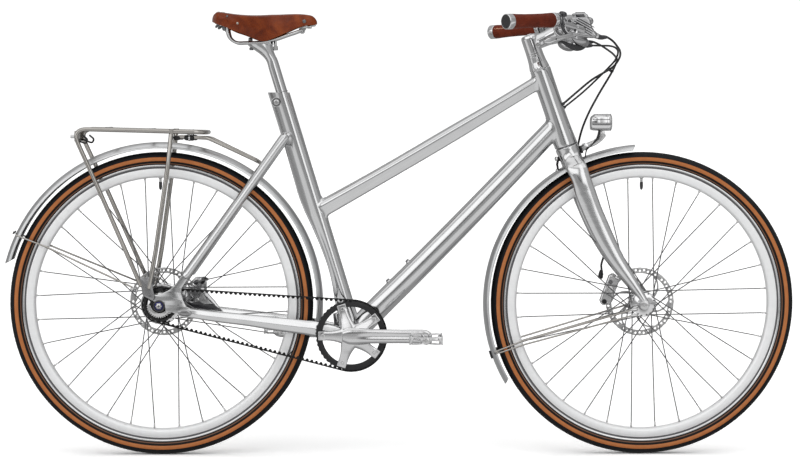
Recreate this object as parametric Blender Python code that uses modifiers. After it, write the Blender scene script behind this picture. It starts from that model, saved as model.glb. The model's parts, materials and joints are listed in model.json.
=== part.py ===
"""Step-through bicycle with a belt drive, hub gear, disc brakes, fenders and a rear rack.

Metres, +Z up, +X forward, +Y to the rider's left.  The geometry is written from the
rear axle (X = 0 there), and one empty shifts the whole bicycle so that the origin lies
on the ground, in the mid-plane, halfway along the overall length.
"""
import math

import bmesh
import bpy
from mathutils import Matrix, Vector

# ---------------------------------------------------------------- driving dimensions
X_SHIFT = -0.55174          # from the rear axle to the middle of the overall length
WHEELBASE = 1.115
AXLE_Z = 0.351              # 40-622 tyre
TYRE_R = 0.351
TYRE_W = 0.040
RIM_R = 0.3175
RIM_IN_R = 0.292
WHEEL_STEPS = 32
ROTOR_R = 0.080
ROTOR_T = 0.0019
HEAD_ANGLE = math.radians(71.0)
HEAD_MID = (0.9087, 0.8036)
HEAD_TOP_S = 0.0950         # along the steering axis, from HEAD_MID
HEAD_BOT_S = -0.0900
HEAD_R_TOP = 0.0219
HEAD_R_BOT = 0.0249
STEERER_R = 0.0143
SEAT_ANGLE = math.radians(73.1)
SEAT_TUBE_R = 0.0172
SEAT_TOP_Z = 0.8396
SEAT_AXIS_X = 0.2795        # axis of the seat tube at its top edge
POST_R = 0.0136
BB = (0.4396, 0.280)
CRANK = 0.170
BELT_Y = -0.048
BELT_W = 0.011
RING_R = 0.0808             # 46 teeth, 11 mm pitch
SPROCKET_R = 0.0388         # 22 teeth
BELT_GAP = 0.0004
BELT_T = 0.0024
DROPOUT_Y = 0.0675          # inner face of the rear dropouts, 135 mm apart
DROPOUT_T = 0.006
FRONT_DROPOUT_Y = 0.0505
FENDER_R = 0.3745
FRONT_FENDER_R = 0.367
FENDER_HALF_W = 0.026
RACK_TUBE_R = 0.005
CABLE_R = 0.0025

DIR = Vector((-math.cos(HEAD_ANGLE), 0.0, math.sin(HEAD_ANGLE)))   # up the steering axis
FWD = Vector((math.sin(HEAD_ANGLE), 0.0, math.cos(HEAD_ANGLE)))    # square to it, forward
HEAD = Vector((HEAD_MID[0], 0.0, HEAD_MID[1]))
SEAT_DIR = Vector((-math.cos(SEAT_ANGLE), 0.0, math.sin(SEAT_ANGLE)))
SEAT_TOP = Vector((SEAT_AXIS_X, 0.0, SEAT_TOP_Z))
FRONT = Vector((WHEELBASE, 0.0, AXLE_Z))
REAR = Vector((0.0, 0.0, AXLE_Z))
BB_C = Vector((BB[0], 0.0, BB[1]))

# ---------------------------------------------------------------- scene and materials
for old in list(bpy.data.objects):
    bpy.data.objects.remove(old, do_unlink=True)

bicycle = bpy.data.collections.new("step_through_bicycle")
bpy.context.scene.collection.children.link(bicycle)

origin = bpy.data.objects.new("bicycle_origin", None)
bicycle.objects.link(origin)
origin.location = (X_SHIFT, 0.0, 0.0)

FINISH = {
    "polished_alloy": ((0.72, 0.73, 0.75), 0.22, 1.0),
    "matt_alloy": ((0.68, 0.69, 0.70), 0.45, 1.0),
    "rim_alloy": ((0.78, 0.79, 0.81), 0.30, 1.0),
    "stainless": ((0.60, 0.58, 0.55), 0.30, 1.0),
    "dark_steel": ((0.20, 0.20, 0.21), 0.40, 1.0),
    "black": ((0.02, 0.02, 0.022), 0.45, 0.0),
    "black_rubber": ((0.03, 0.03, 0.03), 0.70, 0.0),
    "tyre": ((0.03, 0.03, 0.03), 0.80, 0.0),
    "saddle_leather": ((0.36, 0.14, 0.055), 0.45, 0.0),
    "grip_leather": ((0.30, 0.06, 0.03), 0.50, 0.0),
}


def paint(obj, finish):
    colour, rough, metal = FINISH[finish]
    mat = bpy.data.materials.new(obj.name + "_finish")
    mat.use_nodes = True
    shader = mat.node_tree.nodes["Principled BSDF"]
    shader.inputs["Base Color"].default_value = (*colour, 1.0)
    shader.inputs["Roughness"].default_value = rough
    shader.inputs["Metallic"].default_value = metal
    obj.data.materials.clear()
    obj.data.materials.append(mat)


# ---------------------------------------------------------------- modelling helpers
def add(name, mesh):
    obj = bpy.data.objects.new(name, mesh)
    bicycle.objects.link(obj)
    return obj


def baked(obj, name=None, merge=1e-6):
    """The object's evaluated shape as a plain mesh object, its loose caps welded."""
    bpy.context.view_layer.update()
    ev = obj.evaluated_get(bpy.context.evaluated_depsgraph_get())
    mesh = bpy.data.meshes.new_from_object(ev)
    mesh.transform(obj.matrix_world)
    bm = bmesh.new()
    bm.from_mesh(mesh)
    bmesh.ops.remove_doubles(bm, verts=bm.verts, dist=merge)
    bmesh.ops.recalc_face_normals(bm, faces=bm.faces)
    bm.to_mesh(mesh)
    bm.free()
    label = name or obj.name
    bpy.data.objects.remove(obj, do_unlink=True)
    return add(label, mesh)


def boolean(obj, tool, operation, use_self=False):
    mod = obj.modifiers.new("cut", "BOOLEAN")
    mod.object = tool
    mod.operation = operation
    mod.solver = "EXACT"
    mod.use_self = use_self
    out = baked(obj, merge=2e-6)
    bpy.data.objects.remove(tool, do_unlink=True)
    return out


def union(obj, *tools):
    for tool in tools:
        obj = boolean(obj, tool, "UNION")
    return obj


def cut(obj, *tools):
    for tool in tools:
        obj = boolean(obj, tool, "DIFFERENCE")
    return obj


def axis_matrix(point, direction):
    """Local Z along direction, at point."""
    quat = Vector((0, 0, 1)).rotation_difference(Vector(direction).normalized())
    return Matrix.Translation(Vector(point)) @ quat.to_matrix().to_4x4()


def cylinder(name, start, end, r1, r2=None, sides=16):
    """A solid cylinder or cone between two points."""
    a, b = Vector(start), Vector(end)
    mesh = bpy.data.meshes.new(name)
    bm = bmesh.new()
    bmesh.ops.create_cone(bm, cap_ends=True, segments=sides, radius1=r1,
                          radius2=r1 if r2 is None else r2, depth=(b - a).length,
                          matrix=axis_matrix((a + b) / 2, b - a))
    bm.to_mesh(mesh)
    bm.free()
    return add(name, mesh)


def block(name, size, centre, rot=None, bevel=0.0):
    """A box with bevelled edges; rot is a rotation matrix."""
    mesh = bpy.data.meshes.new(name)
    bm = bmesh.new()
    bmesh.ops.create_cube(bm, size=1.0)
    bmesh.ops.scale(bm, vec=Vector(size), verts=bm.verts)
    if bevel:
        bmesh.ops.bevel(bm, geom=bm.edges[:], offset=bevel, segments=1, affect="EDGES")
    mat = Matrix.Translation(Vector(centre)) @ (rot.to_4x4() if rot else Matrix.Identity(4))
    bmesh.ops.transform(bm, matrix=mat, verts=bm.verts)
    bm.to_mesh(mesh)
    bm.free()
    return add(name, mesh)


def turned(name, profile, point, direction, steps=24, closed=True):
    """A profile of (radius, height) spun about direction at point, by a Screw modifier."""
    pts = list(profile)
    area = sum(pts[i][0] * pts[(i + 1) % len(pts)][1] - pts[(i + 1) % len(pts)][0] * pts[i][1]
               for i in range(len(pts)))
    if area > 0:                       # the outer side runs from top to bottom
        pts.reverse()
    mesh = bpy.data.meshes.new(name)
    count = len(pts)
    edges = [(i, i + 1) for i in range(count - 1)] + ([(count - 1, 0)] if closed else [])
    mesh.from_pydata([(r, 0.0, h) for r, h in pts], edges, [])
    obj = add(name, mesh)
    mod = obj.modifiers.new("turn", "SCREW")
    mod.angle = math.tau
    mod.steps = mod.render_steps = steps
    mod.use_merge_vertices = True
    mod.merge_threshold = 1e-5
    mod.use_smooth_shade = True
    obj.matrix_world = axis_matrix(point, direction)
    return baked(obj)


def smooth_path(route, step):
    """Points every step along a centripetal curve through the route."""
    pts = [Vector(p) for p in route]
    pts = [pts[0] * 2 - pts[1]] + pts + [pts[-1] * 2 - pts[-2]]
    out = []
    for i in range(1, len(pts) - 2):
        p0, p1, p2, p3 = pts[i - 1:i + 3]
        t0 = 0.0
        t1 = t0 + max((p1 - p0).length, 1e-6) ** 0.5
        t2 = t1 + max((p2 - p1).length, 1e-6) ** 0.5
        t3 = t2 + max((p3 - p2).length, 1e-6) ** 0.5
        count = max(1, round((p2 - p1).length / step))
        for k in range(count):
            t = t1 + (t2 - t1) * k / count
            a1 = p0 * ((t1 - t) / (t1 - t0)) + p1 * ((t - t0) / (t1 - t0))
            a2 = p1 * ((t2 - t) / (t2 - t1)) + p2 * ((t - t1) / (t2 - t1))
            a3 = p2 * ((t3 - t) / (t3 - t2)) + p3 * ((t - t2) / (t3 - t2))
            b1 = a1 * ((t2 - t) / (t2 - t0)) + a2 * ((t - t0) / (t2 - t0))
            b2 = a2 * ((t3 - t) / (t3 - t1)) + a3 * ((t - t1) / (t3 - t1))
            out.append(b1 * ((t2 - t) / (t2 - t1)) + b2 * ((t - t1) / (t2 - t1)))
    out.append(pts[-2])
    return out


def tube(name, points, radius, res=2, cyclic=False):
    """A wire, rail or hose: a bevelled curve with filled caps, as a welded mesh."""
    curve = bpy.data.curves.new(name, "CURVE")
    curve.dimensions = "3D"
    curve.bevel_depth = radius
    curve.bevel_resolution = res
    curve.use_fill_caps = True
    curve.render_resolution_u = 0
    spline = curve.splines.new("POLY")
    spline.points.add(len(points) - 1)
    for knot, p in zip(spline.points, points):
        knot.co = (*p, 1.0)
    spline.use_cyclic_u = cyclic
    return baked(add(name, curve))


def plate(name, outlines, thickness, y, flat="xz"):
    """A flat outline with its holes, extruded: in XZ at depth y, or in XY at height y."""
    curve = bpy.data.curves.new(name, "CURVE")
    curve.dimensions = "2D"
    curve.fill_mode = "BOTH"
    curve.extrude = thickness / 2
    curve.render_resolution_u = 0
    for outline in outlines:
        spline = curve.splines.new("POLY")
        spline.points.add(len(outline) - 1)
        for knot, (a, b) in zip(spline.points, outline):
            knot.co = (a, b, 0.0, 1.0)
        spline.use_cyclic_u = True
    obj = add(name, curve)
    if flat == "xz":
        obj.matrix_world = Matrix.Translation((0, y, 0)) @ Matrix.Rotation(math.pi / 2, 4, "X")
    else:
        obj.matrix_world = Matrix.Translation((0, 0, y))
    return baked(obj)


def circle(cx, cz, r, sides, start=0.0):
    return [(cx + r * math.cos(start + math.tau * i / sides),
             cz + r * math.sin(start + math.tau * i / sides)) for i in range(sides)]


def loft(name, rings, open_start=False):
    """Skin through rings of equal point counts, with flat ends."""
    mesh = bpy.data.meshes.new(name)
    bm = bmesh.new()
    loops = [[bm.verts.new(p) for p in ring] for ring in rings]
    n = len(loops[0])
    for a, b in zip(loops, loops[1:]):
        for i in range(n):
            bm.faces.new((a[i], a[(i + 1) % n], b[(i + 1) % n], b[i]))
    if not open_start:
        bm.faces.new(loops[0][::-1])
    bm.faces.new(loops[-1])
    bmesh.ops.recalc_face_normals(bm, faces=bm.faces)
    bm.to_mesh(mesh)
    bm.free()
    return add(name, mesh)


def ring(centre, a, b, sides=16, power=2.0):
    """A rounded ring on the half-axes a and b; a power over 2 squares it off."""
    out = []
    for i in range(sides):
        t = math.tau * i / sides
        c, s = math.cos(t), math.sin(t)
        out.append(Vector(centre) + Vector(a) * math.copysign(abs(c) ** (2 / power), c)
                   + Vector(b) * math.copysign(abs(s) ** (2 / power), s))
    return out


def band(top, bottom, half_width, sides=16, power=2.4):
    """A ring of a frame tube from its top and bottom edge points (x, z) in the mid-plane."""
    t, b = Vector((top[0], 0, top[1])), Vector((bottom[0], 0, bottom[1]))
    return ring((t + b) / 2, (t - b) / 2, Vector((0, half_width, 0)), sides, power)


def mirrored(obj):
    """The same piece on the other side of the mid-plane, as a mesh of its own."""
    mesh = obj.data.copy()
    mesh.transform(Matrix.Scale(-1, 4, (0, 1, 0)))
    mesh.flip_normals()
    return mesh


def finish(obj, finish_name, name=None, pivot=None, angle=35.0):
    """Name, shade and paint a piece, put its origin on its joint and hang it on the empty."""
    if name:
        obj.name = name
        obj.data.name = name
    obj.data.shade_smooth()
    obj.data.set_sharp_from_angle(angle=math.radians(angle))
    if pivot is not None:
        obj.data.transform(Matrix.Translation(-Vector(pivot)))
        obj.location = Vector(pivot)
    obj.parent = origin
    paint(obj, finish_name)
    return obj


def both(obj, finish_name, stem, pivot=None):
    """A right-hand piece and its mirror image on the left."""
    left = add(stem + "_left", mirrored(obj))
    finish(left, finish_name, pivot=None if pivot is None else
           (pivot[0], -pivot[1], pivot[2]))
    finish(obj, finish_name, stem + "_right", pivot=pivot)


# ---------------------------------------------------------------- frame
def seat_front(z):
    """X of the seat tube's front edge at height z."""
    return SEAT_AXIS_X + SEAT_TUBE_R / math.sin(SEAT_ANGLE) + (SEAT_TOP_Z - z) / math.tan(SEAT_ANGLE)


def make_frame():
    # head tube: round, flared towards its lower end, open through for the steerer
    s0, s1 = HEAD_BOT_S + 0.005, HEAD_TOP_S
    outer = [(HEAD_R_TOP, s1), (0.0217, s1 - 0.045), (0.0222, s0 + 0.060),
             (0.0236, s0 + 0.025), (HEAD_R_BOT, s0)]
    finish(turned("head_tube", outer + [(0.0165, s0), (0.0165, s1)], HEAD, DIR, 20),
           "polished_alloy")

    # top tube: deep oval, tapering towards the head tube
    top = [((0.3796, 0.5934), (0.3930, 0.5500), 0.0170),
           ((0.4837, 0.6548), (0.4940, 0.6180), 0.0170),
           ((0.6697, 0.7627), (0.6800, 0.7270), 0.0165),
           ((0.7975, 0.8366), (0.8070, 0.8053), 0.0160),
           ((0.8604, 0.8748), (0.8708, 0.8446), 0.0155)]
    top[0] = ((seat_front(0.5934) + 0.0006, 0.5934), (seat_front(0.5545) + 0.0006, 0.5545), 0.0165)
    finish(loft("top_tube", [band(t, b, w) for t, b, w in top]), "polished_alloy")

    # down tube, with the two bottle-cage bosses on its upper side
    down = [((0.4568, 0.3322), (0.4705, 0.2700), 0.0200),
            ((0.4900, 0.3665), (0.5230, 0.3240), 0.0215),
            ((0.5535, 0.4291), (0.5880, 0.3890), 0.0220),
            ((0.8300, 0.7100), (0.8620, 0.6740), 0.0205),
            ((0.8922, 0.7740), (0.9082, 0.7241), 0.0195)]
    tube_ = loft("down_tube", [band(t, b, w) for t, b, w in down])
    slope = Vector((0.8300 - 0.5535, 0, 0.7100 - 0.4291)).normalized()
    normal = Vector((-slope.z, 0, slope.x))
    for along, rise in ((-0.0385, 0.0006), (0.0255, 0.0)):
        base = Vector((0.5535, 0, 0.4291)) + slope * along + normal * rise
        tube_ = union(tube_, cylinder("boss", base - normal * 0.006, base + normal * 0.0022,
                                      0.0055, sides=12))
    finish(tube_, "polished_alloy")

    # seat tube: round in front, with a flat fin behind it, bored for the post
    fin = [(0.8396, 0.2471), (0.7455, 0.2764), (0.7083, 0.2871), (0.6362, 0.3075),
           (0.5674, 0.3289), (0.5272, 0.3503), (0.4735, 0.3729), (0.4319, 0.3863),
           (0.3949, 0.3952), (0.3668, 0.3996), (0.3017, 0.4130)]
    rings = []
    for z, rear in fin:
        front = seat_front(z)
        centre = front - SEAT_TUBE_R / math.sin(SEAT_ANGLE)
        half = SEAT_TUBE_R / math.sin(SEAT_ANGLE)
        pts = []
        for i in range(9):             # front half circle and a little more
            t = math.radians(-100 + 25 * i)
            pts.append(Vector((centre + half * math.cos(t), SEAT_TUBE_R * math.sin(t), z)))
        depth = max(centre - rear, half * 0.6)
        for frac, wide in ((0.55, 0.0128), (0.85, 0.0070), (1.0, 0.0045)):
            pts.append(Vector((centre - depth * frac, wide, z)))
        for frac, wide in ((1.0, 0.0045), (0.85, 0.0070), (0.55, 0.0128)):
            pts.append(Vector((centre - depth * frac, -wide, z)))
        rings.append(pts)
    seat = loft("seat_tube", rings)
    seat = cut(seat, cylinder("bore", SEAT_TOP + SEAT_DIR * 0.02, SEAT_TOP - SEAT_DIR * 0.20,
                              POST_R + 0.0004, sides=20),
               cylinder("bolt_hole", (0.2640, -0.02, 0.8170), (0.2640, 0.02, 0.8170), 0.0034,
                        sides=12))
    finish(seat, "polished_alloy")
    bolt = union(cylinder("seat_clamp_bolt", (0.2640, -0.0150, 0.8170), (0.2640, 0.0150, 0.8170),
                          0.0030, sides=12),
                 cylinder("head_r", (0.2640, -0.0180, 0.8170), (0.2640, -0.0134, 0.8170),
                          0.0048, sides=12),
                 cylinder("head_l", (0.2640, 0.0134, 0.8170), (0.2640, 0.0180, 0.8170),
                          0.0048, sides=12))
    finish(bolt, "dark_steel")

    # bottom bracket shell and the cartridge inside it
    finish(turned("bottom_bracket_shell", [(0.0180, -0.0365), (0.0213, -0.0365),
                                           (0.0213, 0.0365), (0.0180, 0.0365)],
                  BB_C, (0, 1, 0), 20), "polished_alloy")
    finish(turned("bottom_bracket_cartridge",
                  [(0.0090, -0.0385), (0.0177, -0.0385), (0.0177, 0.0385), (0.0090, 0.0385)],
                  BB_C, (0, 1, 0), 16), "dark_steel")

    # chainstay with its dropout plate
    stay = [((0.4190, 0.2990), (0.4120, 0.2700), -0.0290, 0.0090),
            ((0.3900, 0.3045), (0.3840, 0.2725), -0.0310, 0.0078),
            ((0.3560, 0.3095), (0.3510, 0.2785), -0.0330, 0.0076),
            ((0.3247, 0.3120), (0.3247, 0.2840), -0.0385, 0.0080),
            ((0.2650, 0.3205), (0.2600, 0.2945), -0.0480, 0.0085),
            ((0.2080, 0.3290), (0.2060, 0.3045), -0.0560, 0.0085),
            ((0.1200, 0.3385), (0.1180, 0.3175), -0.0650, 0.0080),
            ((0.0640, 0.3440), (0.0620, 0.3255), -0.0702, 0.0045)]
    rings = []
    for t, b, y, w in stay:
        tv, bv = Vector((t[0], y, t[1])), Vector((b[0], y, b[1]))
        rings.append(ring((tv + bv) / 2, (tv - bv) / 2, Vector((0, w, 0)), 14, 2.2))
    arm = loft("chainstay_right", rings)
    outline = [(-0.0160, 0.3440), (-0.0100, 0.3350), (0.0040, 0.3320), (0.0139, 0.3345),
               (0.0300, 0.3270), (0.0520, 0.3245), (0.0785, 0.3337), (0.0640, 0.3450),
               (0.0614, 0.3560), (0.0560, 0.3850), (0.0640, 0.4048), (0.0500, 0.4142),
               (0.0330, 0.3950), (0.0120, 0.3800), (-0.0108, 0.3719), (-0.0175, 0.3600)]
    drop = plate("drop", [outline, circle(0, AXLE_Z, 0.0054, 12)], DROPOUT_T,
                 -(DROPOUT_Y + DROPOUT_T / 2))
    arm = union(arm, drop)
    both(arm, "polished_alloy", "chainstay")

    # seat stays, from the fin's side down to the dropouts
    upper, lower = Vector((0.2913, -0.0250, 0.7411)), Vector((0.0606, -0.0705, 0.4158))
    stay = cylinder("seatstay_right", lower, upper, 0.0095, sides=16)
    both(stay, "polished_alloy", "seatstay")

    # headset ring between the head tube and the fork crown
    finish(turned("headset_ring", [(0.0152, s0 - 0.0047), (0.0240, s0 - 0.0047),
                                   (0.0240, s0 - 0.0003),
                                   (0.0152, s0 - 0.0003)], HEAD, DIR, 16), "matt_alloy")

    # rear axle with its nuts and washers
    prof = [(0.0, -0.0830), (0.0088, -0.0830), (0.0092, -0.0768), (0.0125, -0.0768),
            (0.0125, -0.0738), (0.0050, -0.0738), (0.0050, 0.0738), (0.0125, 0.0738),
            (0.0125, 0.0768), (0.0092, 0.0768), (0.0088, 0.0830), (0.0, 0.0830)]
    finish(turned("rear_axle", prof, REAR, (0, 1, 0), 12, closed=False), "dark_steel")


# ---------------------------------------------------------------- wheels
def make_wheel(prefix, hub, hole_r, flanges, lace, phase, rotor_y):
    """flanges: outer faces of the left and right flanges (right is -Y)."""
    left, right = flanges
    pivot = hub
    tyre_half = [(0.3128, 0.0100), (0.3195, 0.0101), (0.3335, 0.0200), (0.3455, 0.0146),
                 (TYRE_R, 0.0040)]
    inner_half = [(0.3460, 0.0040), (0.3128, 0.0070)]
    prof = (tyre_half + [(r, -y) for r, y in reversed(tyre_half)]
            + [(r, -y) for r, y in reversed(inner_half)] + inner_half)
    finish(turned(prefix + "_tyre", prof, hub, (0, 1, 0), WHEEL_STEPS), "tyre", pivot=pivot)

    rim_half = [(RIM_IN_R, 0.0070), (0.2975, 0.0118), (RIM_R, 0.0120), (0.3115, 0.0104)]
    prof = rim_half + [(r, -y) for r, y in reversed(rim_half)]
    finish(turned(prefix + "_rim", prof, hub, (0, 1, 0), WHEEL_STEPS), "rim_alloy", pivot=pivot)

    # sixteen crossed spokes a side, in one piece where they touch
    for side, sign, flange in (("right", -1, right), ("left", 1, left)):
        mesh = bpy.data.meshes.new("spokes")
        bm = bmesh.new()
        for i in range(16):
            at_rim = math.radians(phase + 22.5 * i + (0 if side == "right" else 11.25))
            lead = 1 if i % 2 else -1
            at_hub = at_rim + lead * math.radians(lace)
            lift = 0.0022 + (0.0005 if lead > 0 else 0.0)
            a = hub + Vector((hole_r * math.cos(at_hub), sign * (flange + lift),
                              hole_r * math.sin(at_hub)))
            b = hub + Vector((0.2903 * math.cos(at_rim), sign * (0.0045 + (0.0003 if lead > 0 else 0.0)),
                              0.2903 * math.sin(at_rim)))
            bmesh.ops.create_cone(bm, cap_ends=True, segments=3, radius1=0.0012, radius2=0.0012,
                                  depth=(b - a).length, matrix=axis_matrix((a + b) / 2, b - a))
        geom = bm.verts[:]
        bm.to_mesh(mesh)
        bm.free()
        cage = add(f"{prefix}_spokes_{side}", mesh)
        probe = cylinder("probe", hub + Vector((0, sign * (flange + 0.0022), 0)),
                         hub + Vector((0.001, sign * (flange + 0.0022), 0)), 0.0002, sides=5)
        cage = boolean(cage, probe, "DIFFERENCE", use_self=True)
        finish(cage, "stainless", pivot=pivot)

    # brake rotor with six windows
    windows = []
    for i in range(6):
        mid = math.tau * i / 6
        pts = [(0.0660, mid - 0.40), (0.0668, mid), (0.0660, mid + 0.40), (0.0270, mid + 0.20),
               (0.0270, mid - 0.25), (0.0460, mid - 0.36)]
        windows.append([(hub.x + r * math.cos(a), hub.z + r * math.sin(a)) for r, a in pts])
    rotor = plate(prefix + "_rotor", [circle(hub.x, hub.z, ROTOR_R, 28),
                                      circle(hub.x, hub.z, 0.0176, 16)] + windows,
                  ROTOR_T, rotor_y)
    finish(rotor, "stainless", pivot=pivot)


def make_wheels():
    make_wheel("rear", REAR, 0.0430, (0.0345, 0.0315), 45.0, -93.7, 0.0520)
    make_wheel("front", FRONT, 0.0265, (0.0240, 0.0325), 67.5, -94.6, 0.0345)

    prof = [(0.0065, -0.0410), (0.0165, -0.0410), (0.0165, -0.0315), (0.0465, -0.0315),
            (0.0465, -0.0285), (0.0400, -0.0255), (0.0400, 0.0285), (0.0465, 0.0315),
            (0.0465, 0.0345), (0.0200, 0.0400), (0.0168, 0.0430), (0.0168, 0.0560),
            (0.0065, 0.0560)]
    finish(turned("rear_hub", prof, REAR, (0, 1, 0), 20), "matt_alloy", pivot=REAR)

    prof = [(0.0075, -0.0485), (0.0105, -0.0485), (0.0180, -0.0325), (0.0300, -0.0325),
            (0.0300, -0.0295), (0.0270, -0.0270), (0.0270, 0.0190), (0.0300, 0.0210),
            (0.0300, 0.0240), (0.0168, 0.0270), (0.0168, 0.0390), (0.0105, 0.0485),
            (0.0075, 0.0485)]
    finish(turned("front_hub", prof, FRONT, (0, 1, 0), 18), "matt_alloy", pivot=FRONT)
    finish(turned("front_axle", [(0.0, -0.0600), (0.0060, -0.0600), (0.0060, 0.0600),
                                 (0.0, 0.0600)], FRONT, (0, 1, 0), 16, closed=False),
           "dark_steel", pivot=FRONT)


# ---------------------------------------------------------------- belt drive
def belt_outline(r1, r2, count1=24, count2=12):
    """A loop round the chainring (radius r1) and the sprocket (radius r2)."""
    d = Vector((REAR.x - BB_C.x, REAR.z - BB_C.z))
    dist, base = d.length, math.atan2(d.y, d.x)
    alpha = math.acos((r1 - r2) / dist)
    pts = []
    a0, a1 = base + alpha, base + math.tau - alpha
    for i in range(count1 + 1):
        a = a0 + (a1 - a0) * i / count1
        pts.append((BB_C.x + r1 * math.cos(a), BB_C.z + r1 * math.sin(a)))
    a0, a1 = base - alpha, base + alpha
    for i in range(count2 + 1):
        a = a0 + (a1 - a0) * i / count2
        pts.append((REAR.x + r2 * math.cos(a), REAR.z + r2 * math.sin(a)))
    return pts


def make_drive():
    sprocket_pivot = REAR
    inner = belt_outline(RING_R + BELT_GAP + 0.0006, SPROCKET_R + BELT_GAP + 0.0006)
    outer = belt_outline(RING_R + BELT_GAP + BELT_T, SPROCKET_R + BELT_GAP + BELT_T)
    finish(plate("drive_belt", [outer, inner], BELT_W, BELT_Y), "black_rubber")

    finish(turned("rear_sprocket", [(0.0066, -0.0520), (SPROCKET_R, -0.0520),
                                    (SPROCKET_R, -0.0440), (0.0190, -0.0440),
                                    (0.0190, -0.0415), (0.0066, -0.0415)],
                  REAR, (0, 1, 0), 24), "black", pivot=sprocket_pivot)

    finish(turned("chainring", [(0.0665, -0.0520), (RING_R, -0.0520), (RING_R, -0.0440),
                                (0.0665, -0.0440)], BB_C, (0, 1, 0), 32), "black", pivot=BB_C)

    # spindle through the bottom bracket
    finish(turned("crank_axle", [(0.0, -0.0520), (0.0084, -0.0520), (0.0084, 0.0535),
                                 (0.0, 0.0535)], BB_C, (0, 1, 0), 16, closed=False),
           "dark_steel", pivot=BB_C)

    # right crank: five-arm spider, arm and pedal spindle in one
    spider = []
    for i in range(5):
        mid = math.radians(36 + 72 * i)
        for r, off in ((0.0210, -0.55), (0.0400, -0.20), (0.0700, -0.125), (0.0700, 0.125),
                       (0.0400, 0.20)):
            spider.append((BB_C.x + r * math.cos(mid + off), BB_C.z + r * math.sin(mid + off)))
    arms = plate("crank_arm_right", [spider], 0.0050, -0.0550)

    def arm(sign, forward):
        rings = []
        for along, y, h, w in ((-0.018, 0.0610, 0.0100, 0.0055), (-0.008, 0.0605, 0.0175, 0.0065),
                               (0.012, 0.0605, 0.0182, 0.0065), (0.060, 0.0650, 0.0165, 0.0062),
                               (0.120, 0.0700, 0.0150, 0.0060), (0.160, 0.0725, 0.0152, 0.0060),
                               (0.174, 0.0730, 0.0135, 0.0058), (0.1845, 0.0730, 0.0070, 0.0050)):
            rings.append(ring((BB_C.x + forward * along, sign * y, BB_C.z), (0, 0, h),
                              (0, w, 0), 14, 3.0))
        return loft("arm", rings)

    end = BB_C + Vector((CRANK, 0, 0))
    arms = union(arms, arm(-1, 1),
                 cylinder("pedal_pin", (end.x, -0.070, end.z), (end.x, -0.1640, end.z), 0.0055,
                          sides=12))
    finish(arms, "polished_alloy", pivot=BB_C)

    back = BB_C - Vector((CRANK, 0, 0))
    left = union(arm(1, -1),
                 cylinder("pedal_pin", (back.x, 0.070, back.z), (back.x, 0.1640, back.z), 0.0055,
                          sides=12))
    left.name = "crank_arm_left"
    finish(left, "polished_alloy", pivot=BB_C)

    # pedals: an open cage round a centre barrel
    for side, sign, at in (("right", -1, end), ("left", 1, back)):
        ya, yb = sign * 0.0810, sign * 0.1720
        lo, hi = min(ya, yb), max(ya, yb)
        outline = [(at.x - 0.039, lo + 0.010), (at.x - 0.030, lo), (at.x + 0.030, lo),
                   (at.x + 0.039, lo + 0.010), (at.x + 0.039, hi - 0.010), (at.x + 0.030, hi),
                   (at.x - 0.030, hi), (at.x - 0.039, hi - 0.010)]
        hole = [(0.0125, lo + 0.009), (0.0320, lo + 0.009), (0.0320, hi - 0.009),
                (0.0125, hi - 0.009)]
        cage = plate("pedal", [outline, [(at.x + a, b) for a, b in hole],
                               [(at.x - a, b) for a, b in hole]], 0.0220, at.z, flat="xy")
        cage = cut(cage, cylinder("pin_bore", (at.x, sign * 0.07, at.z),
                                  (at.x, sign * 0.1670, at.z), 0.0062, sides=12))
        cage.name = "pedal_" + side
        finish(cage, "polished_alloy", pivot=(at.x, 0, at.z))


# ---------------------------------------------------------------- fork and steering
def axis_point(s):
    return HEAD + DIR * s


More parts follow.
